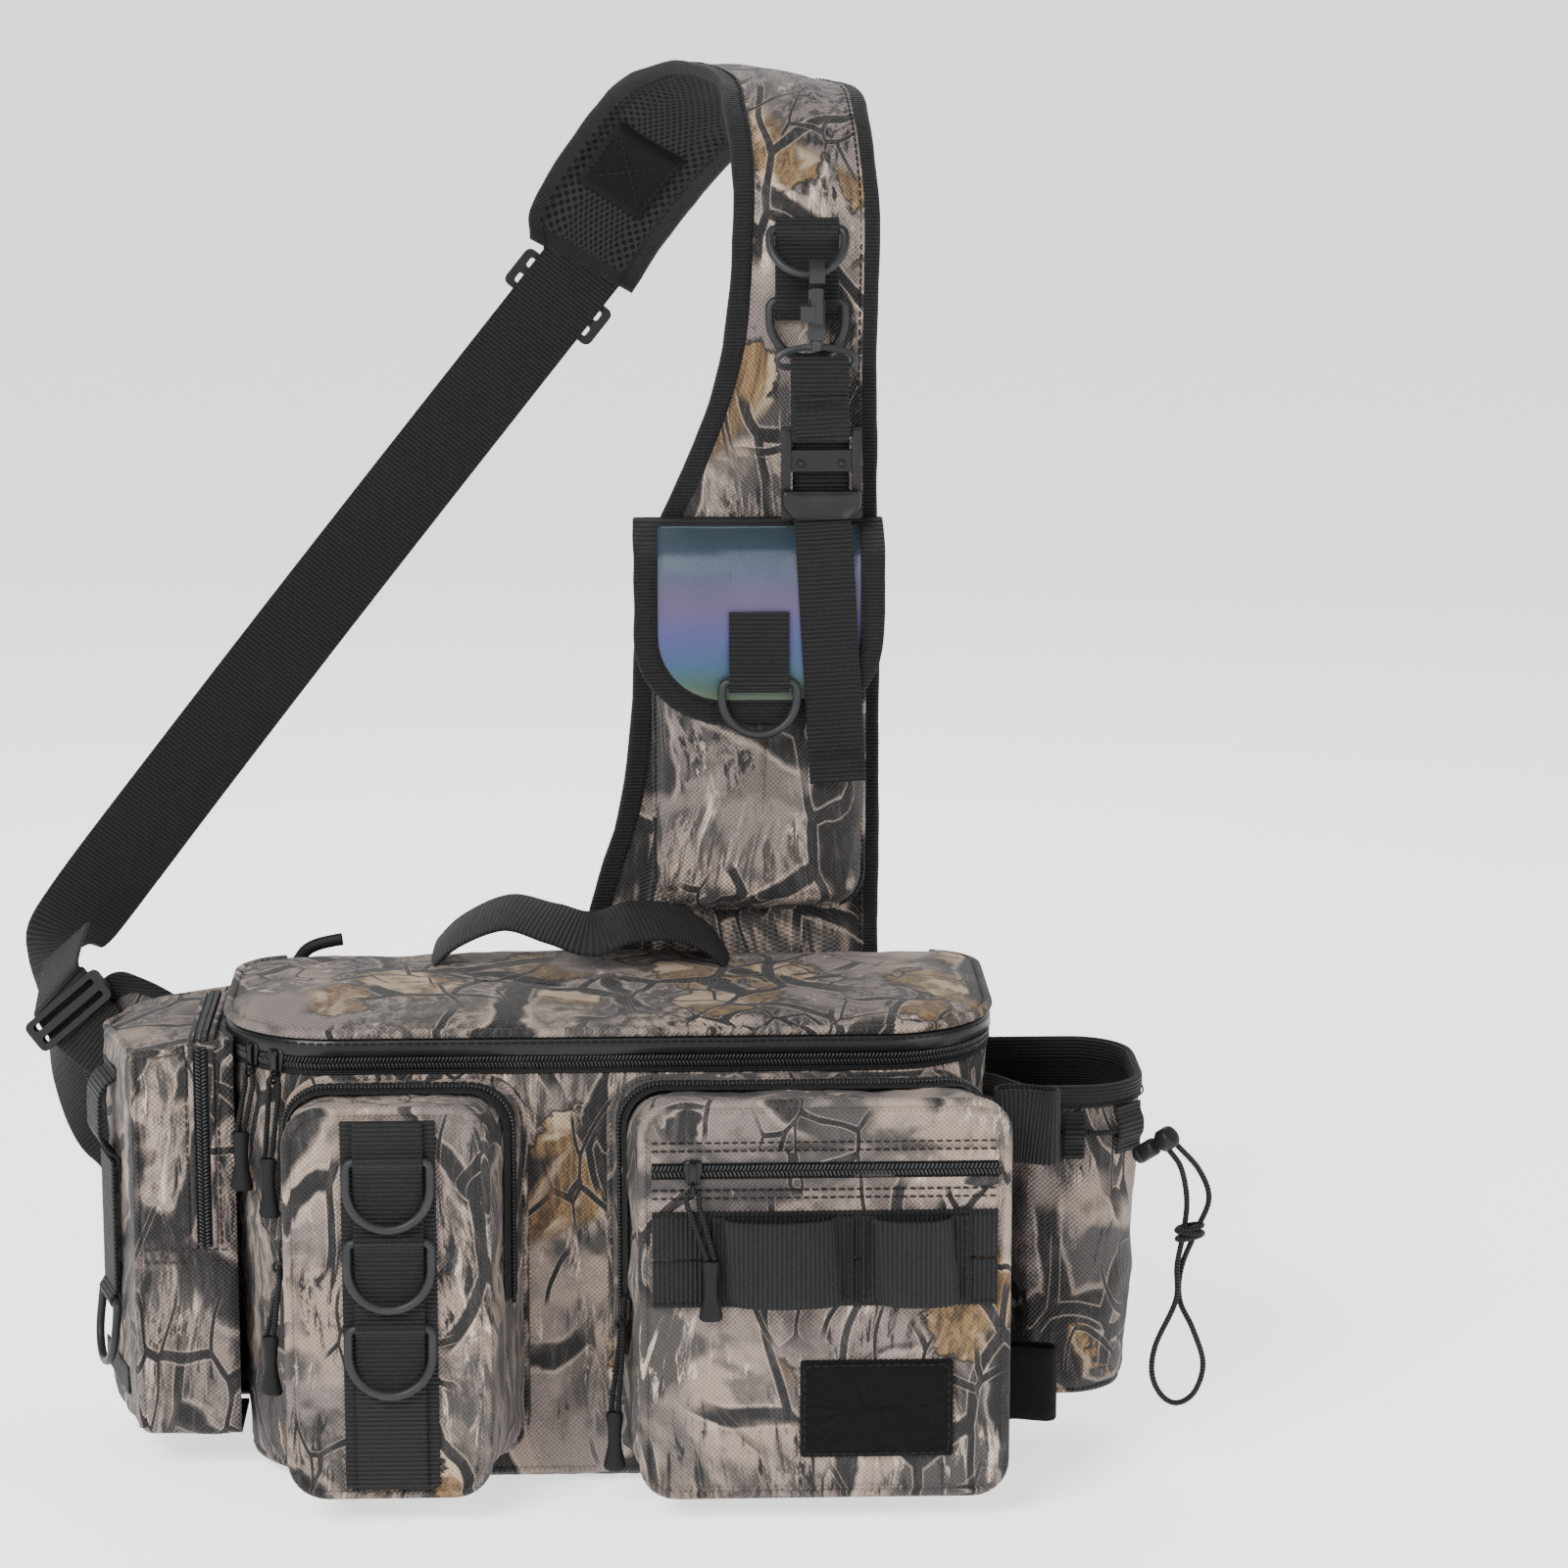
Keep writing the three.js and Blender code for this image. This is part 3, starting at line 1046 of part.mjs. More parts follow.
// Zipper sliders with a bail, the pull cord through the bail and the grip that hangs on it
function bailDepth() {
  return sliderSize.thick - 0.3;
}
function slider() {
  const { wide, thick, tall } = sliderSize;
  const plate = boxBetween([-wide / 2, -thick, -tall / 2], [wide / 2, 0, tall / 2]);
  const bail = new THREE.TorusGeometry(bailRadius, bailWire, 5, 10).rotateY(Math.PI / 2)
    .translate(0, -bailDepth(), -tall / 2 - bailRadius + 0.7);
  return join(plate, bail);
}
function gripGeometry() {
  const profile = [[0, 1], [0.8, 1], [1, 0.93], [0.78, 0.75], [0.58, 0.5], [0.6, 0.3], [0.74, 0.06],
    [0.62, 0], [0, 0]];
  return new THREE.LatheGeometry(profile.map(([r, z]) => new THREE.Vector2(r * gripRadius,
    -z * gripLength)), 8)
    .rotateX(Math.PI / 2).scale(1, gripFlatness, 1);
}
function onFrontCorner(degrees, z) {
  const angle = THREE.MathUtils.degToRad(degrees);
  const out = bodyFrontRadius + seatGap + 0.2;
  return [
    -bodyHalf + bodyFrontRadius - out * Math.sin(angle),
    -bodyDepth / 2 + bodyFrontRadius - out * Math.cos(angle), z];
}
function onGusset(base, face, y, z, turn) {
  const angle = THREE.MathUtils.degToRad(turn);
  return [
    gussetX(base, face, "left", y) + (seatGap + 0.2) * Math.sin(angle),
    y - (seatGap + 0.2) * Math.cos(angle), z];
}
// Each row: the slider's place and turn about Z, and where the grip's top hangs and how far it is turned
const faceFront = pocketSurface - webbing;
const pulls = [
  { slider: "main_slider_left", cord: "main_pull_cord_left", grip: "main_pull_left", turn: -46,
    at: onFrontCorner(46, 182), hang: [6 - bodyHalf, -50.5, 149], gripTurn: -10 },
  { slider: "main_slider_right", cord: "main_pull_cord_right", grip: "main_pull_right", turn: -30,
    at: onFrontCorner(30, 181), hang: [18 - bodyHalf, -62.5, 141], gripTurn: -25 },
  { slider: "small_slider", cord: "small_pull_cord", grip: "small_pull", turn: -90,
    at: onGusset(smallPocketBase, smallPocketFace, -84, 108, -90),
    hang: [18.7 - bodyHalf, -84, 72], gripTurn: -20 },
  { slider: "large_slider", cord: "large_pull_cord", grip: "large_pull", turn: -74.5,
    at: onGusset(largePocketBase, largePocketFace, -88, 84, -74.5),
    hang: [bodyHalf - 156.5, -93, 41], gripTurn: -15 },
  { slider: "face_slider", cord: "face_pull_cord", grip: "face_pull", turn: 0,
    at: [bodyHalf - 124.5, faceFront - seatGap, faceZipperHeight],
    hang: [bodyHalf - 117.5, faceFront - 4, 112], gripTurn: 0 },
];
const strandGap = 1.5;
const bailOffset = new THREE.Vector3(0, -bailDepth(), -sliderSize.tall / 2 - bailRadius + 0.7);
for (const pull of pulls) {
  const turned = new THREE.Matrix4().makeRotationZ(THREE.MathUtils.degToRad(pull.turn));
  turned.setPosition(...pull.at);
  const mesh = addPiece(pull.slider, slider(), darkMetal());
  mesh.applyMatrix4(turned);
  const nearBail = (x, z) => bailOffset.clone().add(new THREE.Vector3(x, 0,
    z)).applyMatrix4(turned).toArray();
  const gripSide = new THREE.Vector3(strandGap, 0, 0).applyAxisAngle(
    new THREE.Vector3(0, 0, 1), THREE.MathUtils.degToRad(pull.gripTurn));
  const nearGrip = (side) => [
    pull.hang[0] + side * gripSide.x, pull.hang[1] + side * gripSide.y, pull.hang[2] + seatGap];
  addPiece(pull.cord, cordTube([
    nearGrip(-1), nearBail(-2.4, -6), nearBail(-2.3, -1.8), nearBail(0, 0.2), nearBail(2.3, -1.8),
    nearBail(2.4, -6),
    nearGrip(1),
  ], pullCord, 18), blackWeb());
  const grip = addPiece(pull.grip, gripGeometry(), rubber());
  grip.position.set(...pull.hang);
  grip.rotation.z = THREE.MathUtils.degToRad(pull.gripTurn);
}

bag.position.copy(shoulderSeat).negate();
export default bag;
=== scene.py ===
import math

import bmesh
import bpy
import numpy as np
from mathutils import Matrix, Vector


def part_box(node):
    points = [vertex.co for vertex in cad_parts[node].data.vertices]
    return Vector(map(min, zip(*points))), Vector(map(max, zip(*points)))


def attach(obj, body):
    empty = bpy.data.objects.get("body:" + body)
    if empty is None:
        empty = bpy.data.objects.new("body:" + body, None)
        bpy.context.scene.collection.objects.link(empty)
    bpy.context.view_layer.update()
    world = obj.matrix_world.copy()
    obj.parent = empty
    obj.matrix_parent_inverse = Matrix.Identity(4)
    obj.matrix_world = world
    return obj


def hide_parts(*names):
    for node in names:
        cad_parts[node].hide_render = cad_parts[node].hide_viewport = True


# A fishing tackle sling bag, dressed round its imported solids.
# Shapes are made in millimetres in the bag's own frame: X to the right, front towards -Y, Z up from the
# middle of the main compartment's bottom. to_row() takes them to the row frame in metres.
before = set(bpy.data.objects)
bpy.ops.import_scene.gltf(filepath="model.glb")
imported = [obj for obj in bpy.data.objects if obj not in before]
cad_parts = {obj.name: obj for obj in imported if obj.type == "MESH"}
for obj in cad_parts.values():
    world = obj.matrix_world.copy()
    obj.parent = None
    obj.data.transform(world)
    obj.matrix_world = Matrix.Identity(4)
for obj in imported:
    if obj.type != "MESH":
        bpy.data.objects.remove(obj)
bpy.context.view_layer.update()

MM = 0.001
body_low, body_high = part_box("main_body")
BAG_ZERO = np.array([(body_low.x + body_high.x) / 2, (body_low.y + body_high.y) / 2, body_low.z])


def to_row(points):
    return np.asarray(points, float) * MM + BAG_ZERO


def span(node):
    """Lowest and highest corner of a node in the bag's frame."""
    return [(np.array(corner) - BAG_ZERO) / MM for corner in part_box(node)]


# Camera at the photograph's viewing angle
PICTURE_WIDTH = 1600
FOCAL_PIXELS = 4800
SENSOR = 36
EYE = np.array([2, -1917, 690])
PITCH = math.radians(12)
YAW = math.radians(2.14)


def add_camera():
    data = bpy.data.cameras.new("camera")
    data.sensor_width = SENSOR
    data.lens = FOCAL_PIXELS / PICTURE_WIDTH * SENSOR
    data.clip_end = 50
    camera = bpy.data.objects.new("camera", data)
    bpy.context.scene.collection.objects.link(camera)
    camera.location = to_row(EYE)
    look = Vector((math.sin(YAW) * math.cos(PITCH), math.cos(YAW) * math.cos(PITCH), -math.sin(PITCH)))
    camera.rotation_euler = look.to_track_quat("-Z", "Y").to_euler()
    bpy.context.scene.camera = camera


add_camera()


class Shader:
    """A material in the making. A value may be a number, a colour or another node's socket; cloth is the
    place on the cloth in millimetres, and space the place in the row in metres."""
    def __init__(self, name):
        self.material = bpy.data.materials.new(name)
        self.material.use_nodes = True
        self.tree = self.material.node_tree
        self.surface = self.tree.nodes["Principled BSDF"]
        coords = self.tree.nodes.new("ShaderNodeTexCoord").outputs
        self.cloth, self.space = coords["UV"], coords["Object"]

    def put(self, socket, value):
        if isinstance(value, bpy.types.NodeSocket):
            self.tree.links.new(value, socket)
        elif isinstance(value, tuple) and socket.type == "RGBA":
            socket.default_value = (*value, 1) if len(value) == 3 else value
        else:
            socket.default_value = value

    def node(self, kind, out=0, inputs=(), **settings):
        made = self.tree.nodes.new("ShaderNode" + kind)
        for key, value in settings.items():
            setattr(made, key, value)
        for key, value in dict(inputs).items():
            self.put(made.inputs[key], value)
        return made.outputs[out]

    def cloth_axes(self):
        """Across and along the cloth, in its own millimetres."""
        return self.node("SeparateXYZ", inputs={0: self.cloth}).node.outputs

    def math(self, operation, a, b=0.0, c=0.0):
        return self.node("Math", inputs={0: a, 1: b, 2: c}, operation=operation)

    def noise(self, vector, scale, detail=3.0, roughness=0.5, distortion=0.0):
        return self.node("TexNoise", inputs={
            "Vector": vector, "Scale": scale, "Detail": detail, "Roughness": roughness,
            "Distortion": distortion})

    def voronoi(self, vector, scale, feature="F1"):
        return self.node("TexVoronoi", out="Distance", inputs={"Vector": vector, "Scale": scale},
                         feature=feature)

    def stretched(self, vector, turn, scale):
        return self.node("Mapping", inputs={"Vector": vector, "Rotation": turn, "Scale": scale})

    def between(self, value, low, high):
        return self.node("MapRange", inputs={
            "Value": value, "From Min": low, "From Max": high}, interpolation_type="SMOOTHSTEP")

    def mix(self, share, a, b, blend_type="MIX"):
        made = self.tree.nodes.new("ShaderNodeMix")
        made.data_type = "RGBA"
        made.blend_type = blend_type
        self.put(made.inputs["Factor"], share)
        self.put(made.inputs["A"], a)
        self.put(made.inputs["B"], b)
        return made.outputs["Result"]

    def bump(self, height, distance, strength=1.0, normal=None):
        made = self.tree.nodes.new("ShaderNodeBump")
        made.inputs["Strength"].default_value = strength
        made.inputs["Distance"].default_value = distance
        self.put(made.inputs["Height"], height)
        if normal is not None:
            self.put(made.inputs["Normal"], normal)
        return made.outputs["Normal"]

    def finish(self, **values):
        for key, value in values.items():
            self.put(self.surface.inputs[key.replace("_", " ")], value)
        return self.material


def weave_height(shader, thread):
    """A plain weave, with threads of that width in millimetres: over and under in both directions."""
    cloth = shader.cloth_axes()
    turn = math.pi / thread
    across = shader.math("SINE", shader.math("MULTIPLY", cloth[0], turn))
    along = shader.math("SINE", shader.math("MULTIPLY", cloth[1], turn))
    return shader.math("MULTIPLY", across, along)


TAN = (0.3, 0.232, 0.188)
PALE = (0.57, 0.455, 0.38)
MAUVE = (0.18, 0.145, 0.135)
TAUPE = (0.115, 0.094, 0.084)
GREY = (0.056, 0.05, 0.047)
CHARCOAL = (0.013, 0.012, 0.012)
OCHRE = (0.22, 0.135, 0.06)
BROWN = (0.07, 0.043, 0.024)
SAND = (0.42, 0.32, 0.21)


def camo_cloth(name, offset=(0, 0, 0), dusk=0.0):
    """Woven cloth printed with a generic woodland: mottled ground, bark, boughs, twigs and dry leaves.
    dusk makes its dark patches larger."""
    s = Shader(name)
    place = s.node("Mapping", inputs={"Vector": s.space, "Location": offset})

    def drifted(vector, scale, reach):
        drift = s.node("TexNoise", out="Color", inputs={"Vector": vector, "Scale": scale, "Detail": 2.0})
        shift = s.node("VectorMath", inputs={0: drift, 1: (reach, reach, reach)}, operation="MULTIPLY")
        return s.node("VectorMath", inputs={0: vector, 1: shift}, operation="ADD")
    bent = drifted(place, 9.0, 0.05)
    frayed = drifted(bent, 55.0, 0.009)

    def patch(scale, low, high, detail=3, rough=0.55, at=None):
        return s.between(s.noise(at or bent, scale, detail, rough, 0.5), low, high)

    def streaks(turn, scale, low, high):
        return s.between(s.noise(s.stretched(bent, turn, scale), 1, 6, 0.72, 0.5), low, high)
    cloth = s.mix(patch(15, 0.42, 0.56, 5, 0.62), MAUVE, TAN)
    cloth = s.mix(patch(22, 0.52, 0.62, 5, 0.66, frayed), cloth, TAUPE)
    cloth = s.mix(patch(11.5, 0.55 - dusk, 0.62 - dusk, 4, 0.6, place), cloth, GREY)
    upright_bark = streaks((0.3, 0.5, 0.4), (190, 190, 26), 0.44, 0.56)
    cloth = s.mix(s.math("MULTIPLY", patch(10.5, 0.47, 0.53), upright_bark), cloth, GREY)
    cross_bark = streaks((-0.4, 1.25, 0.2), (230, 230, 30), 0.5, 0.6)
    cloth = s.mix(s.math("MULTIPLY", patch(12.5, 0.5, 0.56), cross_bark), cloth, CHARCOAL)
    lights = streaks((0.5, 0.95, -0.3), (170, 170, 22), 0.55, 0.66)
    cloth = s.mix(s.math("MULTIPLY", patch(14.5, 0.46, 0.54), lights), cloth, PALE)
    leaf = s.voronoi(s.stretched(bent, (0.7, 0.35, 0.9), (17, 17, 9)), 1)
    leaf = s.math("ADD", leaf, s.math("MULTIPLY", s.math("SUBTRACT", s.noise(bent, 110, 3, 0.6), 0.5), 0.34))
    leaves = s.between(s.noise(place, 7.5, 1), 0.5, 0.53)
    vein = streaks((0.2, 0.9, 0.3), (300, 300, 48), 0.38, 0.62)
    leaf_colour = s.mix(patch(40, 0.5, 0.62), s.mix(vein, BROWN, OCHRE), SAND)
    cloth = s.mix(s.math("MULTIPLY", s.between(leaf, 0.42, 0.36), leaves), cloth, CHARCOAL)
    cloth = s.mix(s.math("MULTIPLY", s.between(leaf, 0.37, 0.34), leaves), cloth, leaf_colour)
    for turn, scale, wide, where, at in (
            ((0.2, 0.62, 0.1), (10, 10, 4.4), 0.055, (12, 0.45, 0.5), frayed),
            ((0.4, -0.9, 0.3), (24, 24, 11), 0.042, (15, 0.44, 0.5), bent),
            ((-0.7, 0.3, 0.8), (46, 46, 21), 0.035, (18, 0.5, 0.56), bent)):
        edge = s.voronoi(s.stretched(at, turn, scale), 1, "DISTANCE_TO_EDGE")
        wood = s.mix(streaks((0.2, 0.6, 0.1), (260, 260, 40), 0.45, 0.75), CHARCOAL, GREY)
        here = s.between(s.noise(place, where[0], 1), where[1], where[2])
        cloth = s.mix(s.math("MULTIPLY", s.between(edge, wide, wide * 0.7), here), cloth, wood)
        rim = s.math("MULTIPLY", s.between(edge, wide * 1.35, wide * 1.1), s.between(edge, wide * 0.9, wide))
        cloth = s.mix(s.math("MULTIPLY", s.math("MULTIPLY", rim, here), 0.28), cloth, PALE)
    weave = weave_height(s, 1.05)
    grain = s.noise(s.cloth, 0.9, 2, 0.6)
    # The colour is darkened in the weave's low places and lightened on its crossings, painted shade in the
    # weave; the grain adds random tone.
    weave_shade_and_grain = s.math("ADD", s.math("MULTIPLY_ADD", weave, 0.22, 0.6), s.math("MULTIPLY", grain, 0.3))
    tone = s.node("CombineColor", inputs={0: weave_shade_and_grain, 1: weave_shade_and_grain, 2: weave_shade_and_grain})
    cloth = s.mix(1.0, cloth, tone, "MULTIPLY")
    normal = s.bump(weave, 0.0003, 0.9, s.bump(s.noise(place, 90, 3), 0.0014, 0.4))
    rough = s.math("MULTIPLY_ADD", grain, 0.2, 0.62)
    return s.finish(Base_Color=cloth, Roughness=rough, Normal=normal, Sheen_Weight=0.06,
                    Sheen_Roughness=0.5, Specular_IOR_Level=0.25)


def webbing_cloth(name, colour=(0.0027, 0.0027, 0.0029), rib=1.9, rough=0.66, worn=0.3):
    """Ribbed tape: ribs across it, in a fine twill along each rib."""
    s = Shader(name)
    cloth = s.cloth_axes()
    ribs = s.math("SINE", s.math("MULTIPLY", cloth[1], 2 * math.pi / rib))
    slant = s.math("ADD", cloth[0], s.math("MULTIPLY", cloth[1], 0.6))
    twill = s.math("SINE", s.math("MULTIPLY", slant, 2 * math.pi / 1.1))
    height = s.math("MULTIPLY_ADD", twill, 0.3, ribs)
    grain = s.noise(s.cloth, 1.4, 3, 0.7)
    # The crests of the ribs and twill take the paler colour and the troughs the darker one, painted shade
    # across the weave, mixed with random grain tone.
    pale = tuple(channel * 3.4 + 0.005 for channel in colour)
    tone = s.mix(s.between(s.math("ADD", s.math("MULTIPLY", height, 0.3), grain), 0.2, 1.0), colour, pale)
    dust = s.between(s.noise(s.space, 28, 4, 0.6), 0.45, 0.8)
    tone = s.mix(s.math("MULTIPLY", dust, worn * 0.1), tone, (0.07, 0.065, 0.06))
    return s.finish(Base_Color=tone, Roughness=s.math("MULTIPLY_ADD", grain, 0.25, rough - 0.12),
                    Normal=s.bump(height, 0.00045, 1.0), Sheen_Weight=0.02, Specular_IOR_Level=0.2)


def loop_pile(name):
    """Fuzzy loop field: short curly fibres."""
    s = Shader(name)
    fuzz = s.noise(s.cloth, 1.6, 6, 0.8, 1.5)
    clumps = s.noise(s.cloth, 0.35, 3, 0.6)
    # Paler where the pile stands high and darker in its low parts, on the same noise as the bump: painted
    # shade between the fibres.
    tone = s.mix(s.between(fuzz, 0.35, 0.75), (0.0012, 0.0012, 0.0012), (0.009, 0.009, 0.009))
    height = s.math("ADD", fuzz, s.math("MULTIPLY", clumps, 0.6))
    return s.finish(Base_Color=tone, Roughness=0.95, Normal=s.bump(height, 0.0009, 1.0), Sheen_Weight=0.04,
                    Specular_IOR_Level=0.05)


def air_mesh(name):
    """Black spacer mesh: offset rows of oval holes in a knitted face."""
    s = Shader(name)
    cloth = s.cloth_axes()
    across = s.math("COSINE", s.math("MULTIPLY", cloth[0], 2 * math.pi / 4.6))
    along = s.math("COSINE", s.math("MULTIPLY", cloth[1], 2 * math.pi / 5.6))
    lattice = s.math("MULTIPLY", across, along)
    open_part = s.between(lattice, 0.36, 0.12)
    knit = s.noise(s.cloth, 2.5, 3, 0.7)
    face = s.mix(knit, (0.004, 0.004, 0.0043), (0.02, 0.02, 0.021))
    # The holes are painted near black: painted shade in the depth of the holes, on an unbroken surface.
    tone = s.mix(open_part, (0.0006, 0.0006, 0.0006), face)
    return s.finish(Base_Color=tone, Roughness=0.8, Normal=s.bump(open_part, 0.001, 1.0),
                    Specular_IOR_Level=0.15)


def satin(name, colour, rough=0.4, metallic=0.0, coat=0.0):
    """Moulded plastic or coated metal, with fine handling marks."""
    s = Shader(name)
    marks = s.noise(s.space, 420, 4, 0.65)
    wear = s.between(s.noise(s.space, 60, 3), 0.5, 0.8)
    pale = tuple(channel * 1.6 + 0.004 for channel in colour)
    tone = s.mix(s.math("MULTIPLY", wear, 0.5), colour, pale)
    return s.finish(Base_Color=tone, Roughness=s.math("MULTIPLY_ADD", marks, 0.16, rough - 0.08),
                    Metallic=metallic, Coat_Weight=coat, Normal=s.bump(marks, 0.00006, 0.6),
                    Specular_IOR_Level=0.18)


def colour_shift(name):
    """Film over cloth that runs from slate through violet, blue and green to olive down the flap."""
    s = Shader(name)
    low, high = span("pouch_flap")
    row_low, row_high = to_row(low)[2], to_row(high)[2]
    z = s.node("SeparateXYZ", inputs={0: s.space}).node.outputs[2]
    wobble = s.math("MULTIPLY", s.noise(s.space, 14, 1), 0.012)
    level = s.node("MapRange", inputs={
        "Value": s.math("ADD", z, wobble), "From Min": float(row_low) + 0.012, "From Max": float(row_high)})
    ramp = s.tree.nodes.new("ShaderNodeValToRGB")
    s.put(ramp.inputs[0], level)
    bands = [(0, (0.05, 0.05, 0.012)), (0.13, (0.014, 0.045, 0.03)), (0.28, (0.006, 0.034, 0.085)),
             (0.44, (0.022, 0.026, 0.11)), (0.6, (0.042, 0.026, 0.075)), (0.78, (0.022, 0.03, 0.06)),
             (1, (0.018, 0.034, 0.045))]
    ramp.color_ramp.elements[0].position = bands[0][0]
    ramp.color_ramp.elements[1].position = bands[-1][0]
    for position, colour in bands[1:-1]:
        ramp.color_ramp.elements.new(position)
    for element, (position, colour) in zip(ramp.color_ramp.elements, bands):
        element.color = (*colour, 1)
    weave = weave_height(s, 0.7)
    return s.finish(Base_Color=ramp.outputs[0], Roughness=0.5, Metallic=0.15, Coat_Weight=0.08,
                    Coat_Roughness=0.4, Normal=s.bump(weave, 0.00012, 0.6))


CAMO = camo_cloth("camo_body", dusk=0.03)
CAMO_POCKET = camo_cloth("camo_pocket", (0.31, 0.12, 0.07), -0.05)
CAMO_LARGE = camo_cloth("camo_large", (0.77, 0.4, 0.21), 0.12)
CAMO_SLING = camo_cloth("camo_sling", (1.3, 0.2, 0.5))
CAMO_LID = camo_cloth("camo_lid", (2.1, 1.4, 0.3))
WEB = webbing_cloth("black_webbing")
BINDING = webbing_cloth("black_binding", rib=1.5, rough=0.72)
TAPE = webbing_cloth("zipper_tape", (0.0028, 0.0028, 0.003), rib=1.2, rough=0.7, worn=0.1)
CORD = webbing_cloth("braided_cord", (0.003, 0.003, 0.0032), rib=1.4, rough=0.55, worn=0)
PILE = loop_pile("loop_pile")
MESH = air_mesh("spacer_mesh")
METAL = satin("dark_metal", (0.017, 0.018, 0.019), 0.42, 0.12)
PAINTED = satin("painted_metal", (0.005, 0.005, 0.0055), 0.38, 0.1, 0.1)
PLASTIC = satin("dark_plastic", (0.008, 0.008, 0.009), 0.45)
RUBBER = satin("grip_rubber", (0.004, 0.004, 0.0045), 0.6)
COIL = satin("zipper_coil", (0.017, 0.017, 0.018), 0.38, 0.0, 0.1)
FLAP_TAPE = satin("coated_tape", (0.005, 0.005, 0.0055), 0.4, 0.0, 0.1)
THREAD = satin("thread", (0.006, 0.006, 0.006), 0.7)
PALE_THREAD = satin("brown_thread", (0.03, 0.025, 0.022), 0.75)
LINING = webbing_cloth("lining", (0.0025, 0.0025, 0.0027), rib=1.1, rough=0.8, worn=0)
SHIFT = colour_shift("colour_shift")


# Shapes
def unit(vectors):
    vectors = np.asarray(vectors, float)
    return vectors / np.maximum(np.linalg.norm(vectors, axis=-1, keepdims=True), 1e-9)


def waves(points, size, seed, octaves=3):
    """A smooth random field from crossed waves, mostly from -1 to 1, with features of that size."""
    draw = np.random.default_rng(seed)
    total = np.zeros(len(points))
    for octave in range(octaves):
        pace = 2 * math.pi / size * 1.9 ** octave
        for _ in range(5):
            way = unit(draw.normal(size=3))
            bend = unit(draw.normal(size=3))
            start = draw.uniform(0, 2 * math.pi)
            wander = 1.4 * np.sin(points @ bend * pace * 0.5 + start)
            total += 0.55 ** octave * np.sin(points @ way * pace + start + wander)
    return total / 3.2


class Piece:
    """Points, faces, cloth coordinates and material numbers of one piece, in the bag's millimetres."""
    def __init__(self):
        self.points, self.faces, self.cloth, self.looks = [], [], [], []
        self.count = 0

    def add(self, points, faces, cloth, looks):
        self.points.append(np.asarray(points, float))
        self.faces += [[i + self.count for i in face] for face in faces]
        self.cloth += cloth
        self.looks += looks
        self.count += len(points)

    def grid(self, rows, closed=False, look=0, plane=None, ends=False):
        """Rows of points; closed joins the last column to the first, ends closes the first and last row.
        plane names the two axes that the cloth's coordinates follow; without it they follow the lengths."""
        rows = np.asarray(rows, float)
        n, m = rows.shape[:2]
        wide = np.concatenate([rows, rows[:, :1]], axis=1) if closed else rows
        u = np.concatenate([[0], np.cumsum(np.linalg.norm(np.diff(wide, axis=1), axis=2).mean(0))])
        v = np.concatenate([[0], np.cumsum(np.linalg.norm(np.diff(rows, axis=0), axis=2).mean(1))])
        points = rows.reshape(-1, 3)
        faces, cloth, looks = [], [], []
        for r in range(n - 1):
            for c in range(len(u) - 1):
                d = (c + 1) % m
                corners = [r * m + c, r * m + d, (r + 1) * m + d, (r + 1) * m + c]
                faces.append(corners)
                if plane:
                    cloth.append([(points[i][plane[0]], points[i][plane[1]]) for i in corners])
                else:
                    cloth.append([(u[c], v[r]), (u[c + 1], v[r]), (u[c + 1], v[r + 1]), (u[c], v[r + 1])])
                looks.append(look(points[corners].mean(0), r, c) if callable(look) else look)
        if ends:
            for start in (0, (n - 1) * m):
                ring = list(range(start, start + m))
                faces.append(ring)
                cloth.append([(points[i][0], points[i][2]) for i in ring])
                looks.append(look(points[ring].mean(0), start // m, 0) if callable(look) else look)
        self.add(points, faces, cloth, looks)
        return self

    def close(self, ring, plane, start=0, look=0):
        """One face over a ring of points, the first of which has the number start."""
        self.faces.append(list(range(start, start + len(ring))))
        self.cloth.append([(point[plane[0]], point[plane[1]]) for point in ring])
        self.looks.append(look)

    def push(self, amount):
        """Moves each point out along its normal by amount(points), in millimetres."""
        points = np.concatenate(self.points)
        normals = np.zeros_like(points)
        for face in self.faces:
            a, b, c = points[face[0]], points[face[1]], points[face[2]]
            d = points[face[3]] if len(face) > 3 else points[face[0]]
            normals[face] += np.cross(c - a, d - b)
        if np.sum(normals * (points - points.mean(0))) < 0:
            normals = -normals
        points = points + unit(normals) * np.asarray(amount(points))[:, None]
        self.points = [points]
        return self

    def build(self, name, looks, replaced=(), body="bag", slot=None, thick=0):
        mesh = bpy.data.meshes.new(name)
        mesh.from_pydata(to_row(np.concatenate(self.points)).tolist(), [], self.faces)
        layer = mesh.uv_layers.new(name="cloth")
        layer.data.foreach_set("uv", np.array([uv for face in self.cloth for uv in face]).ravel())
        for look in looks:
            mesh.materials.append(look)
        mesh.polygons.foreach_set("material_index", self.looks)
        mesh.polygons.foreach_set("use_smooth", [True] * len(mesh.polygons))
        return settle(bpy.data.objects.new(name, mesh), replaced, body, thick)


def outward(mesh):
    work = bmesh.new()
    work.from_mesh(mesh)
    bmesh.ops.recalc_face_normals(work, faces=work.faces)
    work.to_mesh(mesh)
    work.free()


def settle(piece, replaced, body, thick=0, bevel=0):
    """Links a piece, gives it its cloth's thickness or round edges, hangs it on its body and hides the solids
    it stands for.
    """
    bpy.context.scene.collection.objects.link(piece)
    outward(piece.data)
    if thick:
        shell = piece.modifiers.new("cloth", "SOLIDIFY")
        shell.thickness = thick * MM
        shell.offset = -1
    if bevel:
        edge = piece.modifiers.new("edges", "BEVEL")
        edge.width = bevel * MM
        edge.segments = 2
        edge.limit_method = "ANGLE"
        edge.angle_limit = math.radians(35)
    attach(piece, body)
    names = [replaced] if isinstance(replaced, str) else replaced
    if names:
        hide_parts(*names)
    return piece


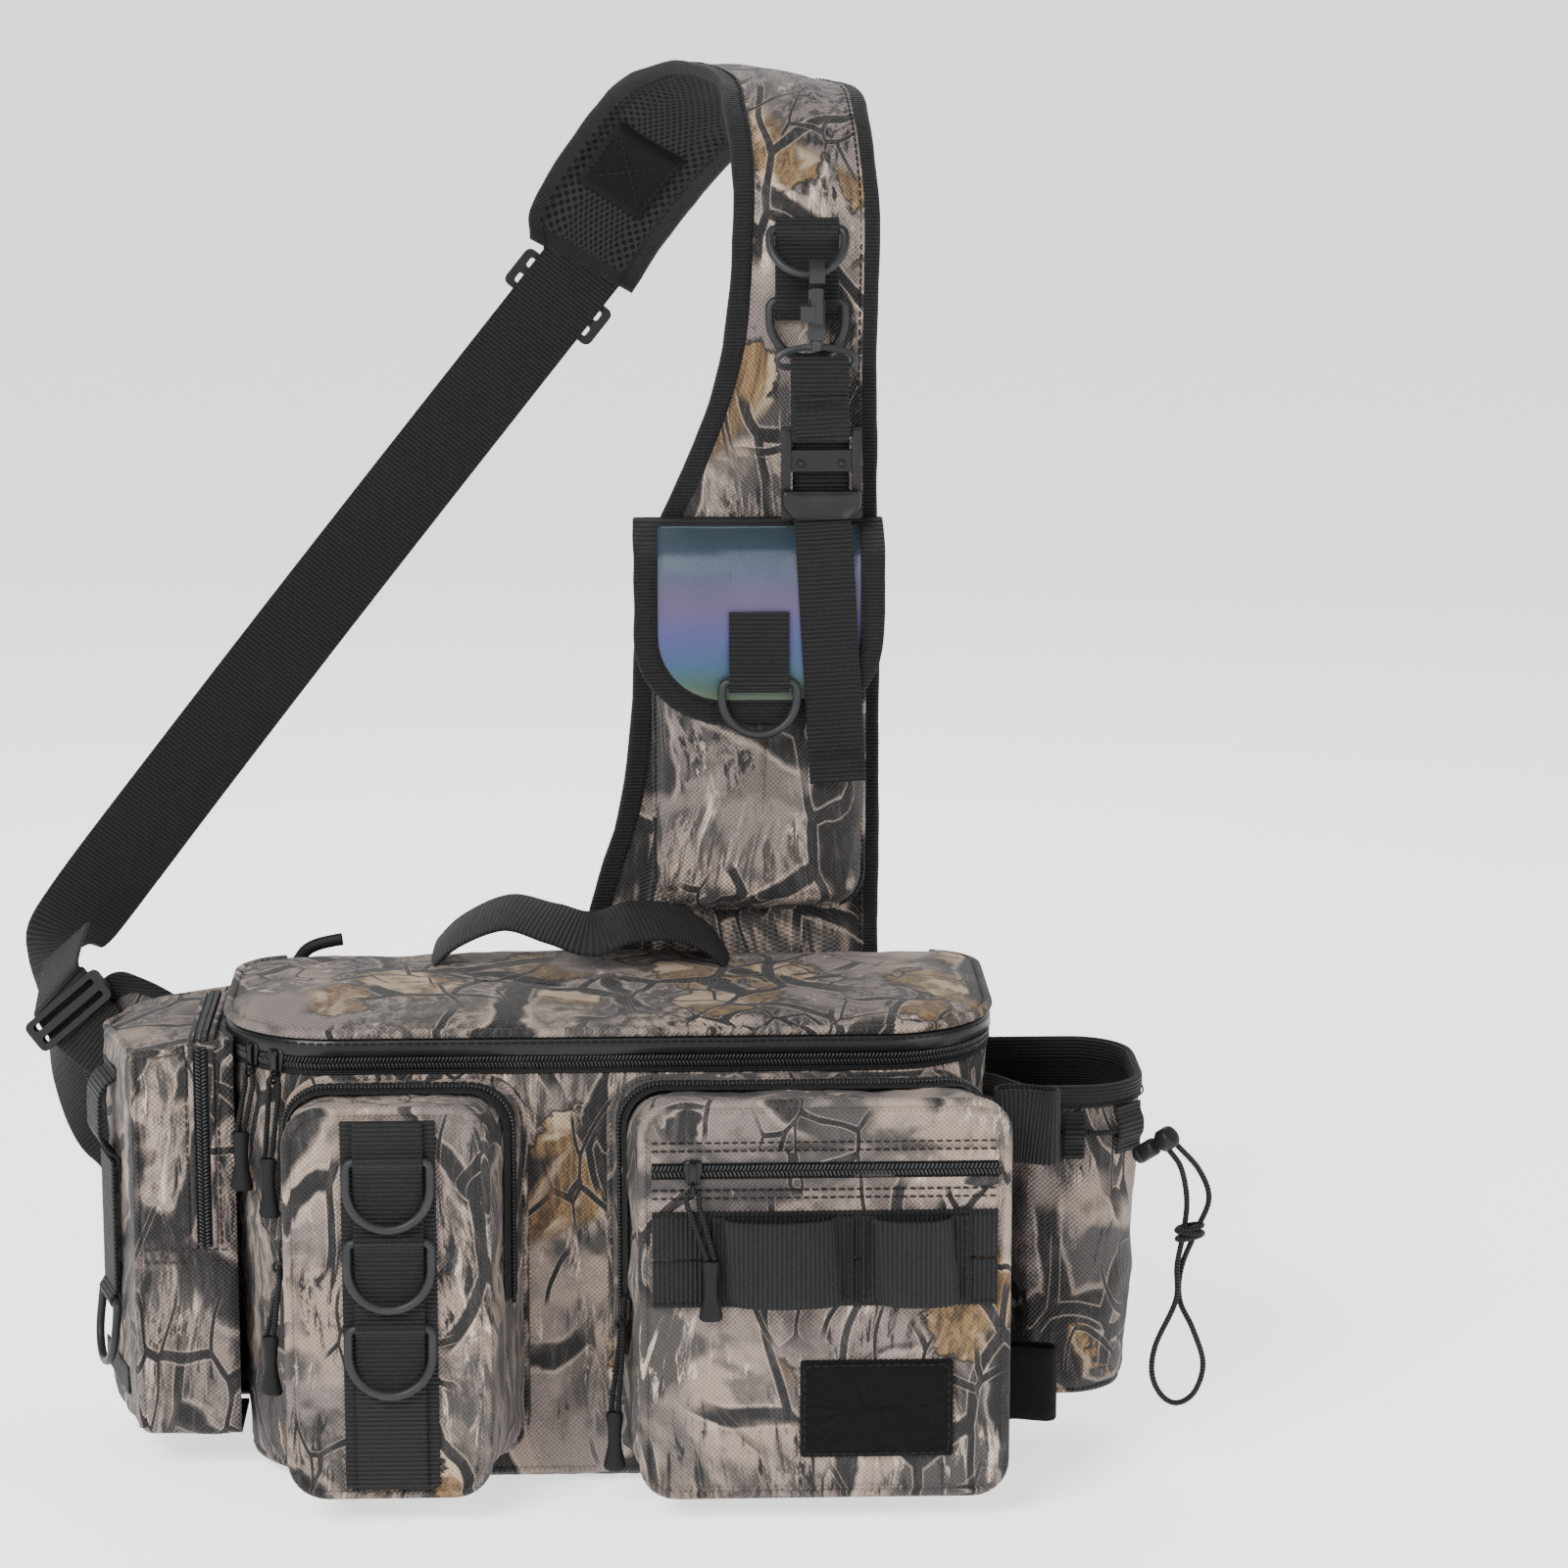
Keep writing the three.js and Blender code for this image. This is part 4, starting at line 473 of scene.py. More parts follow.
def spline(points, steps):
    """A smooth line through the points, with that many steps between each two."""
    points = np.asarray(points, float)
    full = np.concatenate([[2 * points[0] - points[1]], points, [2 * points[-1] - points[-2]]])
    out = []
    for i in range(1, len(full) - 2):
        a, b, c, d = full[i - 1:i + 3]
        for t in np.linspace(0, 1, steps, endpoint=False):
            out.append(0.5 * (2 * b + (c - a) * t + (2 * a - 5 * b + 4 * c - d) * t * t
                              + (3 * b - a - 3 * c + d) * t ** 3))
    return np.array(out + [points[-1]])


def resample(points, spacing, closed=False):
    points = np.asarray(points, float)
    if closed:
        points = np.concatenate([points, points[:1]])
    length = np.concatenate([[0], np.cumsum(np.linalg.norm(np.diff(points, axis=0), axis=1))])
    count = max(int(round(length[-1] / spacing)), 2)
    at = np.linspace(0, length[-1], count + 1)
    if closed:
        at = at[:-1]
    return np.stack([np.interp(at, length, points[:, axis]) for axis in range(3)], axis=1)


def directions(points, closed=False):
    if closed:
        return unit(np.roll(points, -1, axis=0) - np.roll(points, 1, axis=0))
    return unit(np.gradient(points, axis=0))


def sections(points, closed=False):
    """Two directions square to the line at each point, carried along it without a twist."""
    along = directions(points, closed)
    start = np.cross(along[0], [0, 0, 1])
    if np.linalg.norm(start) < 0.2:
        start = np.cross(along[0], [1, 0, 0])
    side = unit(start)
    first = []
    for way in along:
        side = unit(side - way * (side @ way))
        first.append(side)
    first = np.array(first)
    return first, np.cross(along, first)


def tube(piece, points, radius, sides=8, closed=False, look=0, flat=1.0):
    points = np.asarray(points, float)
    first, second = sections(points, closed)
    angles = np.linspace(0, 2 * math.pi, sides, endpoint=False)
    rows = [p + radius * (np.cos(angles)[:, None] * a + flat * np.sin(angles)[:, None] * b)
            for p, a, b in zip(points, first, second)]
    if closed:
        rows.append(rows[0])
    return piece.grid(rows, closed=True, look=look, ends=not closed)


def ribbon(piece, middle, across, width, thick, columns=8, cup=0.0):
    """A woven strap: rows of points across it, with round selvedges.
    across is one direction or one for each point."""
    middle = np.asarray(middle, float)
    along = directions(middle)
    across = np.broadcast_to(np.asarray(across, float), middle.shape)
    across = unit(across - along * np.sum(across * along, axis=1, keepdims=True))
    normal = np.cross(along, across)
    width = np.broadcast_to(np.asarray(width, float), (len(middle),))
    share = np.linspace(-0.5, 0.5, columns)
    rows = []
    for p, a, n, w in zip(middle, across, normal, width):
        lift = cup * (4 * share ** 2)
        top = p + np.outer(share * (w - thick), a) + np.outer(thick / 2 + lift, n)
        low = p + np.outer(share[::-1] * (w - thick), a) + np.outer(-thick / 2 + lift[::-1], n)
        right = [p + a * (w / 2) + n * (lift[-1] + side * thick * 0.2) for side in (1, -1)]
        left = [p - a * (w / 2) + n * (lift[0] + side * thick * 0.2) for side in (-1, 1)]
        rows.append(np.concatenate([top, right, low, left]))
    return piece.grid(rows, closed=True, ends=True)


STITCH, STITCH_GAP = 2.7, 0.9
FORWARD = (0, -1, 0)


def stitches(piece, points, normal, thick=0.42, closed=False):
    """Raised stitches along a line: each a short spindle that lies on the cloth."""
    line = resample(points, STITCH + STITCH_GAP, closed)
    ahead = np.roll(line, -1, axis=0) if closed else line[1:]
    normals = np.broadcast_to(np.asarray(normal, float), line.shape)
    for start, end, up in zip(line, ahead, normals):
        way = unit(end - start)
        side = np.cross(way, up)
        rows = []
        for share, size in ((0, 0.35), (0.18, 1), (0.82, 1), (1, 0.35)):
            p = start + way * share * STITCH
            rows.append([p + (math.cos(a) * side + math.sin(a) * up) * thick * size
                         for a in np.arange(4) * math.pi / 2])
        piece.grid(rows, closed=True, ends=True)


def sew(name, runs, look=THREAD, **settings):
    """One piece of stitches along each run, which is a line and its normal."""
    seams = Piece()
    for line, normal in runs:
        stitches(seams, line, normal, **settings)
    seams.build(name, [look], slot="cord")


def piping(name, look, runs, closed=False):
    """One piece of round piping along each run, which is a line and its radius."""
    edge = Piece()
    for line, radius in runs:
        tube(edge, line, radius, closed=closed)
    edge.build(name, [look], slot="camo_cloth")


def coil(piece, points, normal, width, pitch):
    """A closed zipper coil: two rows of slanting teeth, a pair at each point. normal points out of the
    cloth. The teeth take the piece's second material."""
    line = np.asarray(points, float)
    normals = np.broadcast_to(np.asarray(normal, float), line.shape)
    for p, along, up in zip(line, directions(line), normals):
        for sign in (-1, 1):
            side = unit(np.cross(along, up)) * sign
            rows = []
            for share, size in ((0, 0.7), (0.08, 1), (0.4, 1), (0.5, 0.4)):
                q = p + side * share * width + along * pitch * (share * 1.3 + (0.5 if sign > 0 else 0))
                rows.append([q + along * math.cos(a) * pitch * 0.4 * size
                             + up * (math.sin(a) * size + 0.5) for a in np.arange(6) * math.pi / 3])
            piece.grid(rows, closed=True, look=1, ends=True)


def rounded(left, right, low, high, radii, counts=(20, 24), corner=7):
    """A rectangle with round corners, anticlockwise, with the same number of points for any sizes.
    radii start at the right low corner."""
    spots = [
        (right - radii[0], low + radii[0], radii[0], -90), (right - radii[1], high - radii[1], radii[1], 0),
        (left + radii[2], high - radii[2], radii[2], 90), (left + radii[3], low + radii[3], radii[3], 180)]
    arcs = []
    for x, y, radius, start in spots:
        angles = np.radians(np.linspace(start, start + 90, corner + 1))
        arcs.append(np.stack([x + radius * np.cos(angles), y + radius * np.sin(angles)], axis=1))
    out = []
    for i, arc in enumerate(arcs):
        straight = np.linspace(arc[-1], arcs[(i + 1) % 4][0], counts[(i + 1) % 2] + 1)[1:-1]
        out += [arc, straight]
    return np.concatenate(out)


def level(plan, z):
    return np.column_stack([plan, np.full(len(plan), float(z))])


def upright(outline, y):
    depth = np.broadcast_to(np.asarray(y, float), (len(outline),))
    return np.column_stack([outline[:, 0], depth, outline[:, 1]])


def mix(a, b, share):
    return a + (b - a) * share


def ease(value, low, high):
    """0 at low, 1 at high, with a smooth run between them."""
    t = np.clip((np.asarray(value, float) - low) / (high - low), 0, 1)
    return t * t * (3 - 2 * t)


def turned(points, turn):
    """Points turned about the upright axis."""
    c, s = math.cos(turn), math.sin(turn)
    return np.asarray(points) @ np.array([[c, s, 0], [-s, c, 0], [0, 0, 1]])


def right_of(line):
    """Level directions square to a line, at its right."""
    along = directions(line)
    return unit(np.column_stack([along[:, 1], -along[:, 0], np.zeros(len(line))]))


def filleted(points, radius, spacing=4):
    """An open line of straight stretches whose corners are rounded."""
    points = np.asarray(points, float)
    out = [points[0]]
    for before, corner, after in zip(points, points[1:], points[2:]):
        reach = min(radius, np.linalg.norm(corner - before) * 0.45, np.linalg.norm(after - corner) * 0.45)
        start = corner + unit(before - corner) * reach
        end = corner + unit(after - corner) * reach
        for t in np.linspace(0, 1, 6):
            out.append((1 - t) ** 2 * start + 2 * t * (1 - t) * corner + t * t * end)
    out.append(points[-1])
    dense = [out[0]]
    for a, b in zip(out, out[1:]):
        for share in np.linspace(0, 1, max(int(np.linalg.norm(b - a) / spacing), 1) + 1)[1:]:
            dense.append(a + (b - a) * share)
    return np.array(dense)


def lathe(piece, profile, place, axis, sides=24):
    """Turns a profile of distance along the axis and radius round it."""
    axis = unit(axis)
    first = unit(np.cross(axis, [0, 0, 1]))
    second = np.cross(axis, first)
    angles = np.linspace(0, 2 * math.pi, sides, endpoint=False)
    rows = [np.asarray(place) + axis * along + radius * (
        np.cos(angles)[:, None] * first + np.sin(angles)[:, None] * second) for along, radius in profile]
    return piece.grid(rows, closed=True, ends=True)


# Main compartment
low, high = span("main_body")
BODY_HALF = high[0]
BODY_DEEP = high[1]
BODY_RIM = high[2]
FRONT_RADIUS = 45
BACK_RADIUS = 22
FOOT_SHARE = 0.965
FOOT_RADIUS = 10
ZIPPER_FOOT, ZIPPER_TOP = span("main_zipper")[0][2], span("main_zipper")[1][2]
LID_FOOT, LID_TOP = ZIPPER_TOP + 0.3, span("lid")[1][2]


def body_plan(z, inset=0.0):
    climb = np.clip(z / BODY_RIM, 0, 1)
    half = BODY_HALF * mix(FOOT_SHARE, 1, climb) - inset
    front, back = max(FRONT_RADIUS - inset, 1), max(BACK_RADIUS - inset, 1)
    deep = BODY_DEEP - inset
    return rounded(-half, half, -deep, deep, [front, back, back, front], (64, 20), 10)


def body_front(x, z):
    """Y of the body's front at a place, round its corners."""
    half = BODY_HALF * mix(FOOT_SHARE, 1, np.clip(z / BODY_RIM, 0, 1))
    over = np.clip(np.abs(x) - (half - FRONT_RADIUS), 0, FRONT_RADIUS)
    return -BODY_DEEP + FRONT_RADIUS - np.sqrt(FRONT_RADIUS ** 2 - over ** 2)


def make_body():
    piece = Piece()
    rows = [level(body_plan(0, inset), 0) for inset in (60, 50, 40, 30, 20, FOOT_RADIUS + 3)]
    for degrees in range(0, 91, 15):
        angle = math.radians(degrees)
        z = FOOT_RADIUS - FOOT_RADIUS * math.cos(angle)
        rows.append(level(body_plan(z, FOOT_RADIUS - FOOT_RADIUS * math.sin(angle)), z))
    for z in np.linspace(FOOT_RADIUS, BODY_RIM, 46)[1:]:
        rows.append(level(body_plan(z), z))
    piece.grid(rows, closed=True)
    piece.close(rows[0], (0, 1))

    def cloth(p):
        inner = ease(p[:, 2], 4, 30) * ease(p[:, 2], BODY_RIM, BODY_RIM - 22)
        front = ease(p[:, 1], 20, -40)
        return inner * (1.1 * waves(p, 75, 3) + 0.5 * waves(p, 24, 5) * front) + 0.15 * waves(p, 11, 6)
    piece.push(cloth)
    piece.build("body_cloth", [CAMO], "main_body", slot="camo_cloth", thick=2)
    piping("body_piping", CAMO, [(level(body_plan(6, 2.1), 5.2), 1.9)], closed=True)


def rim_path(inset, z):
    """Along the body's rim, from the back left corner round the front to the back right one."""
    plan = body_plan(BODY_RIM, inset)
    front = plan[plan[:, 1] < BODY_DEEP - inset - 0.02]
    angle = np.arctan2(front[:, 0], -front[:, 1])
    return level(front[np.argsort(angle)], z)


def make_main_zipper():
    piece = Piece()
    coil_z = 180.9
    path = rim_path(0, coil_z)
    out = right_of(path)
    tape_low = [path + out * lift + [0, 0, z - coil_z] for z, lift in
                ((ZIPPER_FOOT - 0.2, -0.6), (ZIPPER_FOOT, 0.5), (177.2, 0.7), (178, 0.1), (180.2, 0))]
    tape_high = [path + out * lift + [0, 0, z - coil_z] for z, lift in
                 ((180.2, 0), (182.6, 0), (183.3, 0.4), (183.6, 1.5), (184.6, 1.9), (187.5, 1.7),
                  (190.2, 1.3), (ZIPPER_TOP, 0.4), (ZIPPER_TOP + 0.2, -0.8))]
    piece.grid(tape_low)
    piece.grid(tape_high, look=lambda p, r, c: 0 if p[2] < 183.4 else 2)
    fine = resample(path, 1.5)
    coil(piece, fine, right_of(fine), width=5.4, pitch=1.5)
    piece.build("main_zipper_tape", [TAPE, COIL, FLAP_TAPE], "main_zipper", slot="black_webbing")
    sew("main_zipper_stitches", [(path + out * 1.75 + [0, 0, 189.2 - coil_z], out[len(out) // 2])])


def make_lid():
    piece = Piece()
    rise = LID_TOP - LID_FOOT
    rows = [(58, 1.0), (48, 1.0), (38, 0.98), (29, 0.95), (21, 0.9), (14, 0.82), (9, 0.74), (5.5, 0.64),
            (3, 0.52), (1.4, 0.38), (0.4, 0.2), (0, 0)]
    lofted = [level(body_plan(BODY_RIM, inset), LID_FOOT + share * rise) for inset, share in rows]
    piece.grid(lofted, closed=True, plane=(0, 1))
    piece.close(lofted[0], (0, 1))

    def cloth(p):
        inner = ease(p[:, 2], LID_FOOT + 2, LID_TOP - 2)
        return inner * (1.3 * waves(p, 90, 11) + 0.35 * waves(p, 30, 12))
    piece.push(cloth)
    half = BODY_HALF - BACK_RADIUS - 1
    back = [[(x, BODY_DEEP + 0.2, z) for x in np.linspace(-half, half, 40)]
            for z in np.linspace(ZIPPER_FOOT, LID_FOOT + 1, 8)]
    piece.grid(back)
    lid = piece.build("lid_cloth", [CAMO_LID], "lid", slot="camo_cloth", thick=2.2)
    piping("lid_piping", CAMO_LID, [(rim_path(-0.4, LID_FOOT + 1.9), 2.1)])


# Slim pocket behind
REAR_RADIUS = 26


def make_rear_pocket():
    low, high = span("rear_pocket")

    def ring(y, inset):
        outline = rounded(low[0] + inset, high[0] - inset, low[2] + inset, high[2] - inset,
                          [max(REAR_RADIUS - inset, 1)] * 4, (56, 32), 9)
        return upright(outline, y)
    rows = [ring(high[1] - 0.2, inset) for inset in (86, 70, 56, 44, 34, 26, 18, 12, 8, 5)]
    rows += [ring(high[1] - 0.6, 3), ring(high[1] - 1.6, 1.2), ring(high[1] - 3, 0.2), ring(low[1] + 4, 0),
             ring(low[1], 0.6)]
    piece = Piece()
    piece.grid(rows, closed=True, plane=(0, 2))
    piece.close(rows[0], (0, 2))
    piece.push(lambda p: ease(p[:, 1], low[1] + 3, high[1] - 1) * (0.7 * waves(p, 70, 21) - 0.5))
    piece.build("rear_pocket_cloth", [CAMO], "rear_pocket", slot="camo_cloth", thick=1.6)
    piping("rear_pocket_piping", CAMO, [(resample(ring(high[1] - 1.3, 1.2), 3, True), 1.8)], closed=True)
    zipper = Piece()
    zipper_y = mix(low[1], high[1], 0.45)
    path = ring(zipper_y, -0.1)
    path = path[path[:, 2] > high[2] - 34]
    path = path[np.argsort(path[:, 0] + 0.001 * path[:, 2])]
    path = resample(path, 2)
    out = unit(np.cross(directions(path), [0, -1, 0]))
    tape = [path + out * 0.35 + [0, shift, 0] for shift in np.linspace(-3.2, 3.2, 5)]
    zipper.grid(tape)
    coil(zipper, path + out * 0.5, out, width=4.2, pitch=2)
    zipper.build("rear_zipper", [TAPE, COIL], slot="black_webbing")
    puller = Piece()
    foot = np.array([-135.0, zipper_y, high[2] + 0.6])
    rise = LID_TOP - high[2]
    tube(puller, foot + spline([(0, 0, 0), (4, -1, rise * 0.6), (9, -1.5, rise - 0.8), (16, -2, rise + 1),
                                (20, -2, rise + 1.6)], 6), 1.8, sides=12, flat=1.5)
    puller.build("rear_puller", [RUBBER], slot="grip_rubber")


# Front pockets: a flat face, a rounded edge with piping, and a gusset back to the body
GUSSET_DEEP = 47.5
FACE_Y = -BODY_DEEP - GUSSET_DEEP
EDGE = 4
ZIPPER_SHARE = 0.62
SMALL_BASE = dict(left=-132, right=-35, low=12, high=174.5, radius=18)
SMALL_FACE = dict(left=-130, right=-49, low=12, high=174.5, radius=15)
LARGE_BASE = dict(left=0, right=148, low=12, high=173.5, radius=18)
LARGE_FACE = dict(left=12, right=160, low=10, high=176, radius=14)


def outline_of(edge, inset=0.0):
    return rounded(edge["left"] + inset, edge["right"] - inset, edge["low"] + inset, edge["high"] - inset,
                   [max(edge["radius"] - inset, 1)] * 4, (22, 34), 7)


def pocket_ring(base, face, share, inset=0.0):
    """A ring round the gusset: 0 at the face, 1 on the body."""
    front = upright(outline_of(face), FACE_Y + EDGE)
    root = outline_of(base)
    back = upright(root, body_front(root[:, 0], root[:, 1]) + 1)
    ring = mix(front, back, share)
    middle = ring.mean(0)
    ring[:, [0, 2]] -= unit(ring[:, [0, 2]] - middle[[0, 2]]) * inset
    return ring


def front_pocket(name, base, face, look, seed, crown, zip_from, zip_to):
    piece = Piece()
    widest = (face["right"] - face["left"]) / 2 - 2
    insets = np.concatenate([np.arange(widest, 8, -3.2), [6, EDGE]])
    rows = [upright(outline_of(face, inset), FACE_Y - crown * (1 - math.exp(-(inset - EDGE) / 14)))
            for inset in insets]
    rows += [upright(outline_of(face, EDGE * (1 - math.sin(a))), FACE_Y + EDGE * (1 - math.cos(a)))
             for a in np.radians([22, 45, 68, 90])]
    gusset = np.linspace(0, 1, 16)[1:]
    rows += [pocket_ring(base, face, share, 1.6 * math.sin(math.pi * share)) for share in gusset]
    piece.grid(rows[:len(insets)], closed=True, plane=(0, 2))
    piece.grid(rows[len(insets) - 1:], closed=True)
    piece.close(rows[0], (0, 2))

    def cloth(p):
        on_face = ease(p[:, 1], FACE_Y + 8, FACE_Y)
        rim = np.minimum.reduce([p[:, 0] - face["left"], face["right"] - p[:, 0],
                                 p[:, 2] - face["low"], face["high"] - p[:, 2]])
        calm = ease(rim, 2, 14)
        pucker = 0.35 * np.sin((p[:, 0] + p[:, 2]) * 0.55 + 3 * waves(p, 40, seed + 3)) * ease(rim, 22, 6)
        dents = np.minimum(1.3 * waves(p, 62, seed) + 0.4 * waves(p, 21, seed + 1) - 0.8, 0)
        face_part = calm * dents + np.minimum(pucker, 0.1) * ease(rim, 1, 5)
        side = ease(p[:, 1], FACE_Y + 2, FACE_Y + 12) * ease(p[:, 1], -BODY_DEEP + 2, -BODY_DEEP - 8)
        return on_face * face_part + side * (0.9 * waves(p, 38, seed + 2) + 0.3 * waves(p, 14, seed + 4))
    piece.push(cloth)
    piece.build(name + "_cloth", [look], name, slot="camo_cloth", thick=1.6)
    root = outline_of(base)
    root_line = upright(root, body_front(root[:, 0], root[:, 1]) - 0.4)
    piping(name + "_piping", look, [
        (resample(upright(outline_of(face, 0.9), FACE_Y + 0.8), 3, True), 2.0),
        (resample(root_line, 3, True), 1.4)], closed=True)
    gusset_zipper(name, base, face, zip_from, zip_to)


def lifting(line):
    """Directions square to a line and to the depth, upwards on the whole."""
    out = unit(np.cross(directions(line), [0, 1, 0]))
    return -out if np.mean(out[:, 2]) < 0 else out


def gusset_zipper(name, base, face, start_z, end_z):
    """Up the left gusset from one height, over the top and down the right gusset to another."""
    rings = [pocket_ring(base, face, s, 1.6 * math.sin(math.pi * s) - 0.8) for s in
             (ZIPPER_SHARE - 0.15, ZIPPER_SHARE - 0.1, ZIPPER_SHARE, ZIPPER_SHARE + 0.1, ZIPPER_SHARE + 0.15)]
    ring = rings[2]
    middle_x = (face["left"] + face["right"]) / 2
    left = ring[:, 0] < middle_x
    keep = np.where(left, ring[:, 2] >= start_z, ring[:, 2] >= end_z)
    order = np.flatnonzero(keep)
    breaks = np.flatnonzero(np.diff(order) > 1)
    if len(breaks):
        order = np.concatenate([order[breaks[0] + 1:], order[:breaks[0] + 1]])
    order = order[::-1]
    piece = Piece()
    lifted = []
    for i, one in enumerate(rings):
        path = one[order]
        lifted.append(path + lifting(path) * (0.2 if i in (0, 4) else 1.0))
    piece.grid(lifted)
    fine = resample(lifted[2], 1.6)
    out = lifting(fine)
    coil(piece, fine, out, width=5, pitch=1.6)
    piece.build(name + "_zipper", [TAPE, COIL], slot="black_webbing")
    middle = out[len(out) // 2]
    sew(name + "_stitches", [(lifted[row] + middle * 0.2, middle) for row in (1, 3)])


def make_front_pockets():
    front_pocket("small_pocket", SMALL_BASE, SMALL_FACE, CAMO_POCKET, 41, 0.6, 60, 84)
    front_pocket("large_pocket", LARGE_BASE, LARGE_FACE, CAMO_LARGE, 51, 0.5, 62, 30)


# Webbing ladder and the D rings
SURFACE_Y = FACE_Y - 0.3
WEB_THICK = 1.5
WIRE = 1.6
BAR_SEAT = WEB_THICK + 0.3 + WIRE + 0.1
RING_TILT = math.radians(7)


def d_ring(width, drop, tilt):
    """A D ring round its bar: points with the bow hanging down, tipped to the front."""
    half = width / 2 - WIRE
    turn = 3
    bow = min(half, drop - turn)
    path = [(-half + turn, 0), (half - turn, 0)]
    path += [(half - turn + turn * math.cos(a), -turn + turn * math.sin(a)) for a in np.radians([60, 30, 0])]
    path += [(half * math.cos(a), -drop + bow - bow * math.sin(a)) for a in np.linspace(0, math.pi, 25)]
    path += [(-half + turn + turn * math.cos(a), -turn + turn * math.sin(a))
             for a in np.radians([180, 150, 120])]
    flat = np.array(path)
    points = np.column_stack([flat[:, 0], math.sin(tilt) * flat[:, 1], math.cos(tilt) * flat[:, 1]])
    kept = [p for i, p in enumerate(points) if np.linalg.norm(p - points[i - 1]) > 0.3]
    return np.array(kept)


def make_ring(name, node, width, drop, tilt, place, body, turn=0.0):
    piece = Piece()
    tube(piece, turned(d_ring(width, drop, tilt), turn) + place, WIRE * 1.16, sides=12, closed=True)
    piece.build(name, [METAL], node, body=body, slot="dark_metal")


def strip_path(top, foot, bars):
    """Down a face, a little off it, with a hump over each bar. Returns distance out and height."""
    heights = np.linspace(top, foot, int((top - foot) / 0.9))
    hump = WIRE + 0.9
    out = np.full(len(heights), BAR_SEAT - 0.4)
    for bar in bars:
        reach = np.abs(heights - bar)
        over = np.sqrt(np.maximum(hump ** 2 - reach ** 2, 0))
        slope = BAR_SEAT * (1 - ease(reach, hump, hump + 4.5))
        out = np.maximum.reduce([out, BAR_SEAT - 0.4 + over, slope + WEB_THICK / 2])
    return out, heights


def ring_strip(name, node, origin, top, foot, bars, width, backing=None, turn=0.0):
    """Webbing down a face, with a hump over each bar and a row of stitches at each side of it."""
    piece = Piece()
    lift = WEB_THICK if backing else 0
    out, heights = strip_path(top, foot, bars)
    zero = np.zeros(len(heights))
    local = np.column_stack([zero, -out, heights])
    across, normal = turned([[1.0, 0, 0], FORWARD], turn)
    ribbon(piece, turned(local, turn) + origin, across, width, WEB_THICK)
    if backing:
        flat = np.column_stack([zero, np.full(len(heights), -WEB_THICK / 2), heights])
        ribbon(piece, turned(flat, turn) + origin, across, backing, WEB_THICK)
    piece.build(name, [WEB], node, slot="black_webbing")
    edges = [top - 2.5] + [z for bar in bars for z in (bar + 5.8, bar - 5.8)] + [foot + 2.5]
    lines = [[(x, -(WEB_THICK + lift + 0.05), z) for x in np.linspace(-width / 2 + 2, width / 2 - 2, 8)]
             for z in edges if foot < z < top]
    sew(name + "_stitches", [(turned(line, turn) + origin, normal) for line in lines])


LADDER_X = -88.5
POCKET_BARS = (154, 120.5, 84.5)


def make_ladder():
    ring_strip("ladder_webbing", "ring_webbing", [LADDER_X, SURFACE_Y, 0], SMALL_FACE["high"] - 4.5,
               SMALL_FACE["low"] + 4.5, POCKET_BARS, 28, backing=38)
    for place, bar in zip(("top", "middle", "bottom"), POCKET_BARS):
        make_ring(place + "_d_ring", "pocket_ring_" + place, 37, 27.5, RING_TILT,
                  [LADDER_X, SURFACE_Y - BAR_SEAT, bar], place + "_ring")


# Face zipper, tool band and patch on the large pocket
BAND_LEFT, BAND_RIGHT = LARGE_FACE["left"] + 4.5, LARGE_FACE["right"] - 4.5
FACE_ZIP_Z = 148
TOOL_Z = 111
TOOL_HIGH = 40
TOOL_LOOPS = ((47, 91, 10), (107, 138, 10))


def make_face_zipper():
    piece = Piece()
    xs = np.linspace(BAND_LEFT, BAND_RIGHT, 60)
    profile = [(-8.4, 0.0), (-6.4, 1.5), (-4.6, 1.7), (-3.4, 1.5), (-3.1, 0.6), (3.1, 0.6), (3.4, 1.5),
               (4.6, 1.7), (6.4, 1.5), (8.4, 0.0)]
    rows = [[(x, SURFACE_Y + 0.5 - out, FACE_ZIP_Z + z) for x in xs] for z, out in profile]
    piece.grid(rows, look=lambda p, r, c: 0 if 2 < r < 6 else 2)
    line = np.array([(x, SURFACE_Y - 0.2, FACE_ZIP_Z) for x in xs])
    coil(piece, resample(line, 1.6), FORWARD, width=5.2, pitch=1.6)
    piece.build("face_zipper_tape", [TAPE, COIL, CAMO_LARGE], "face_zipper", slot="black_webbing")
    sew("face_zipper_stitches", [([(x, SURFACE_Y - 0.5, FACE_ZIP_Z + z) for x in xs], FORWARD)
                                 for z in (-11.5, -8.2, 8.2, 11.5)])


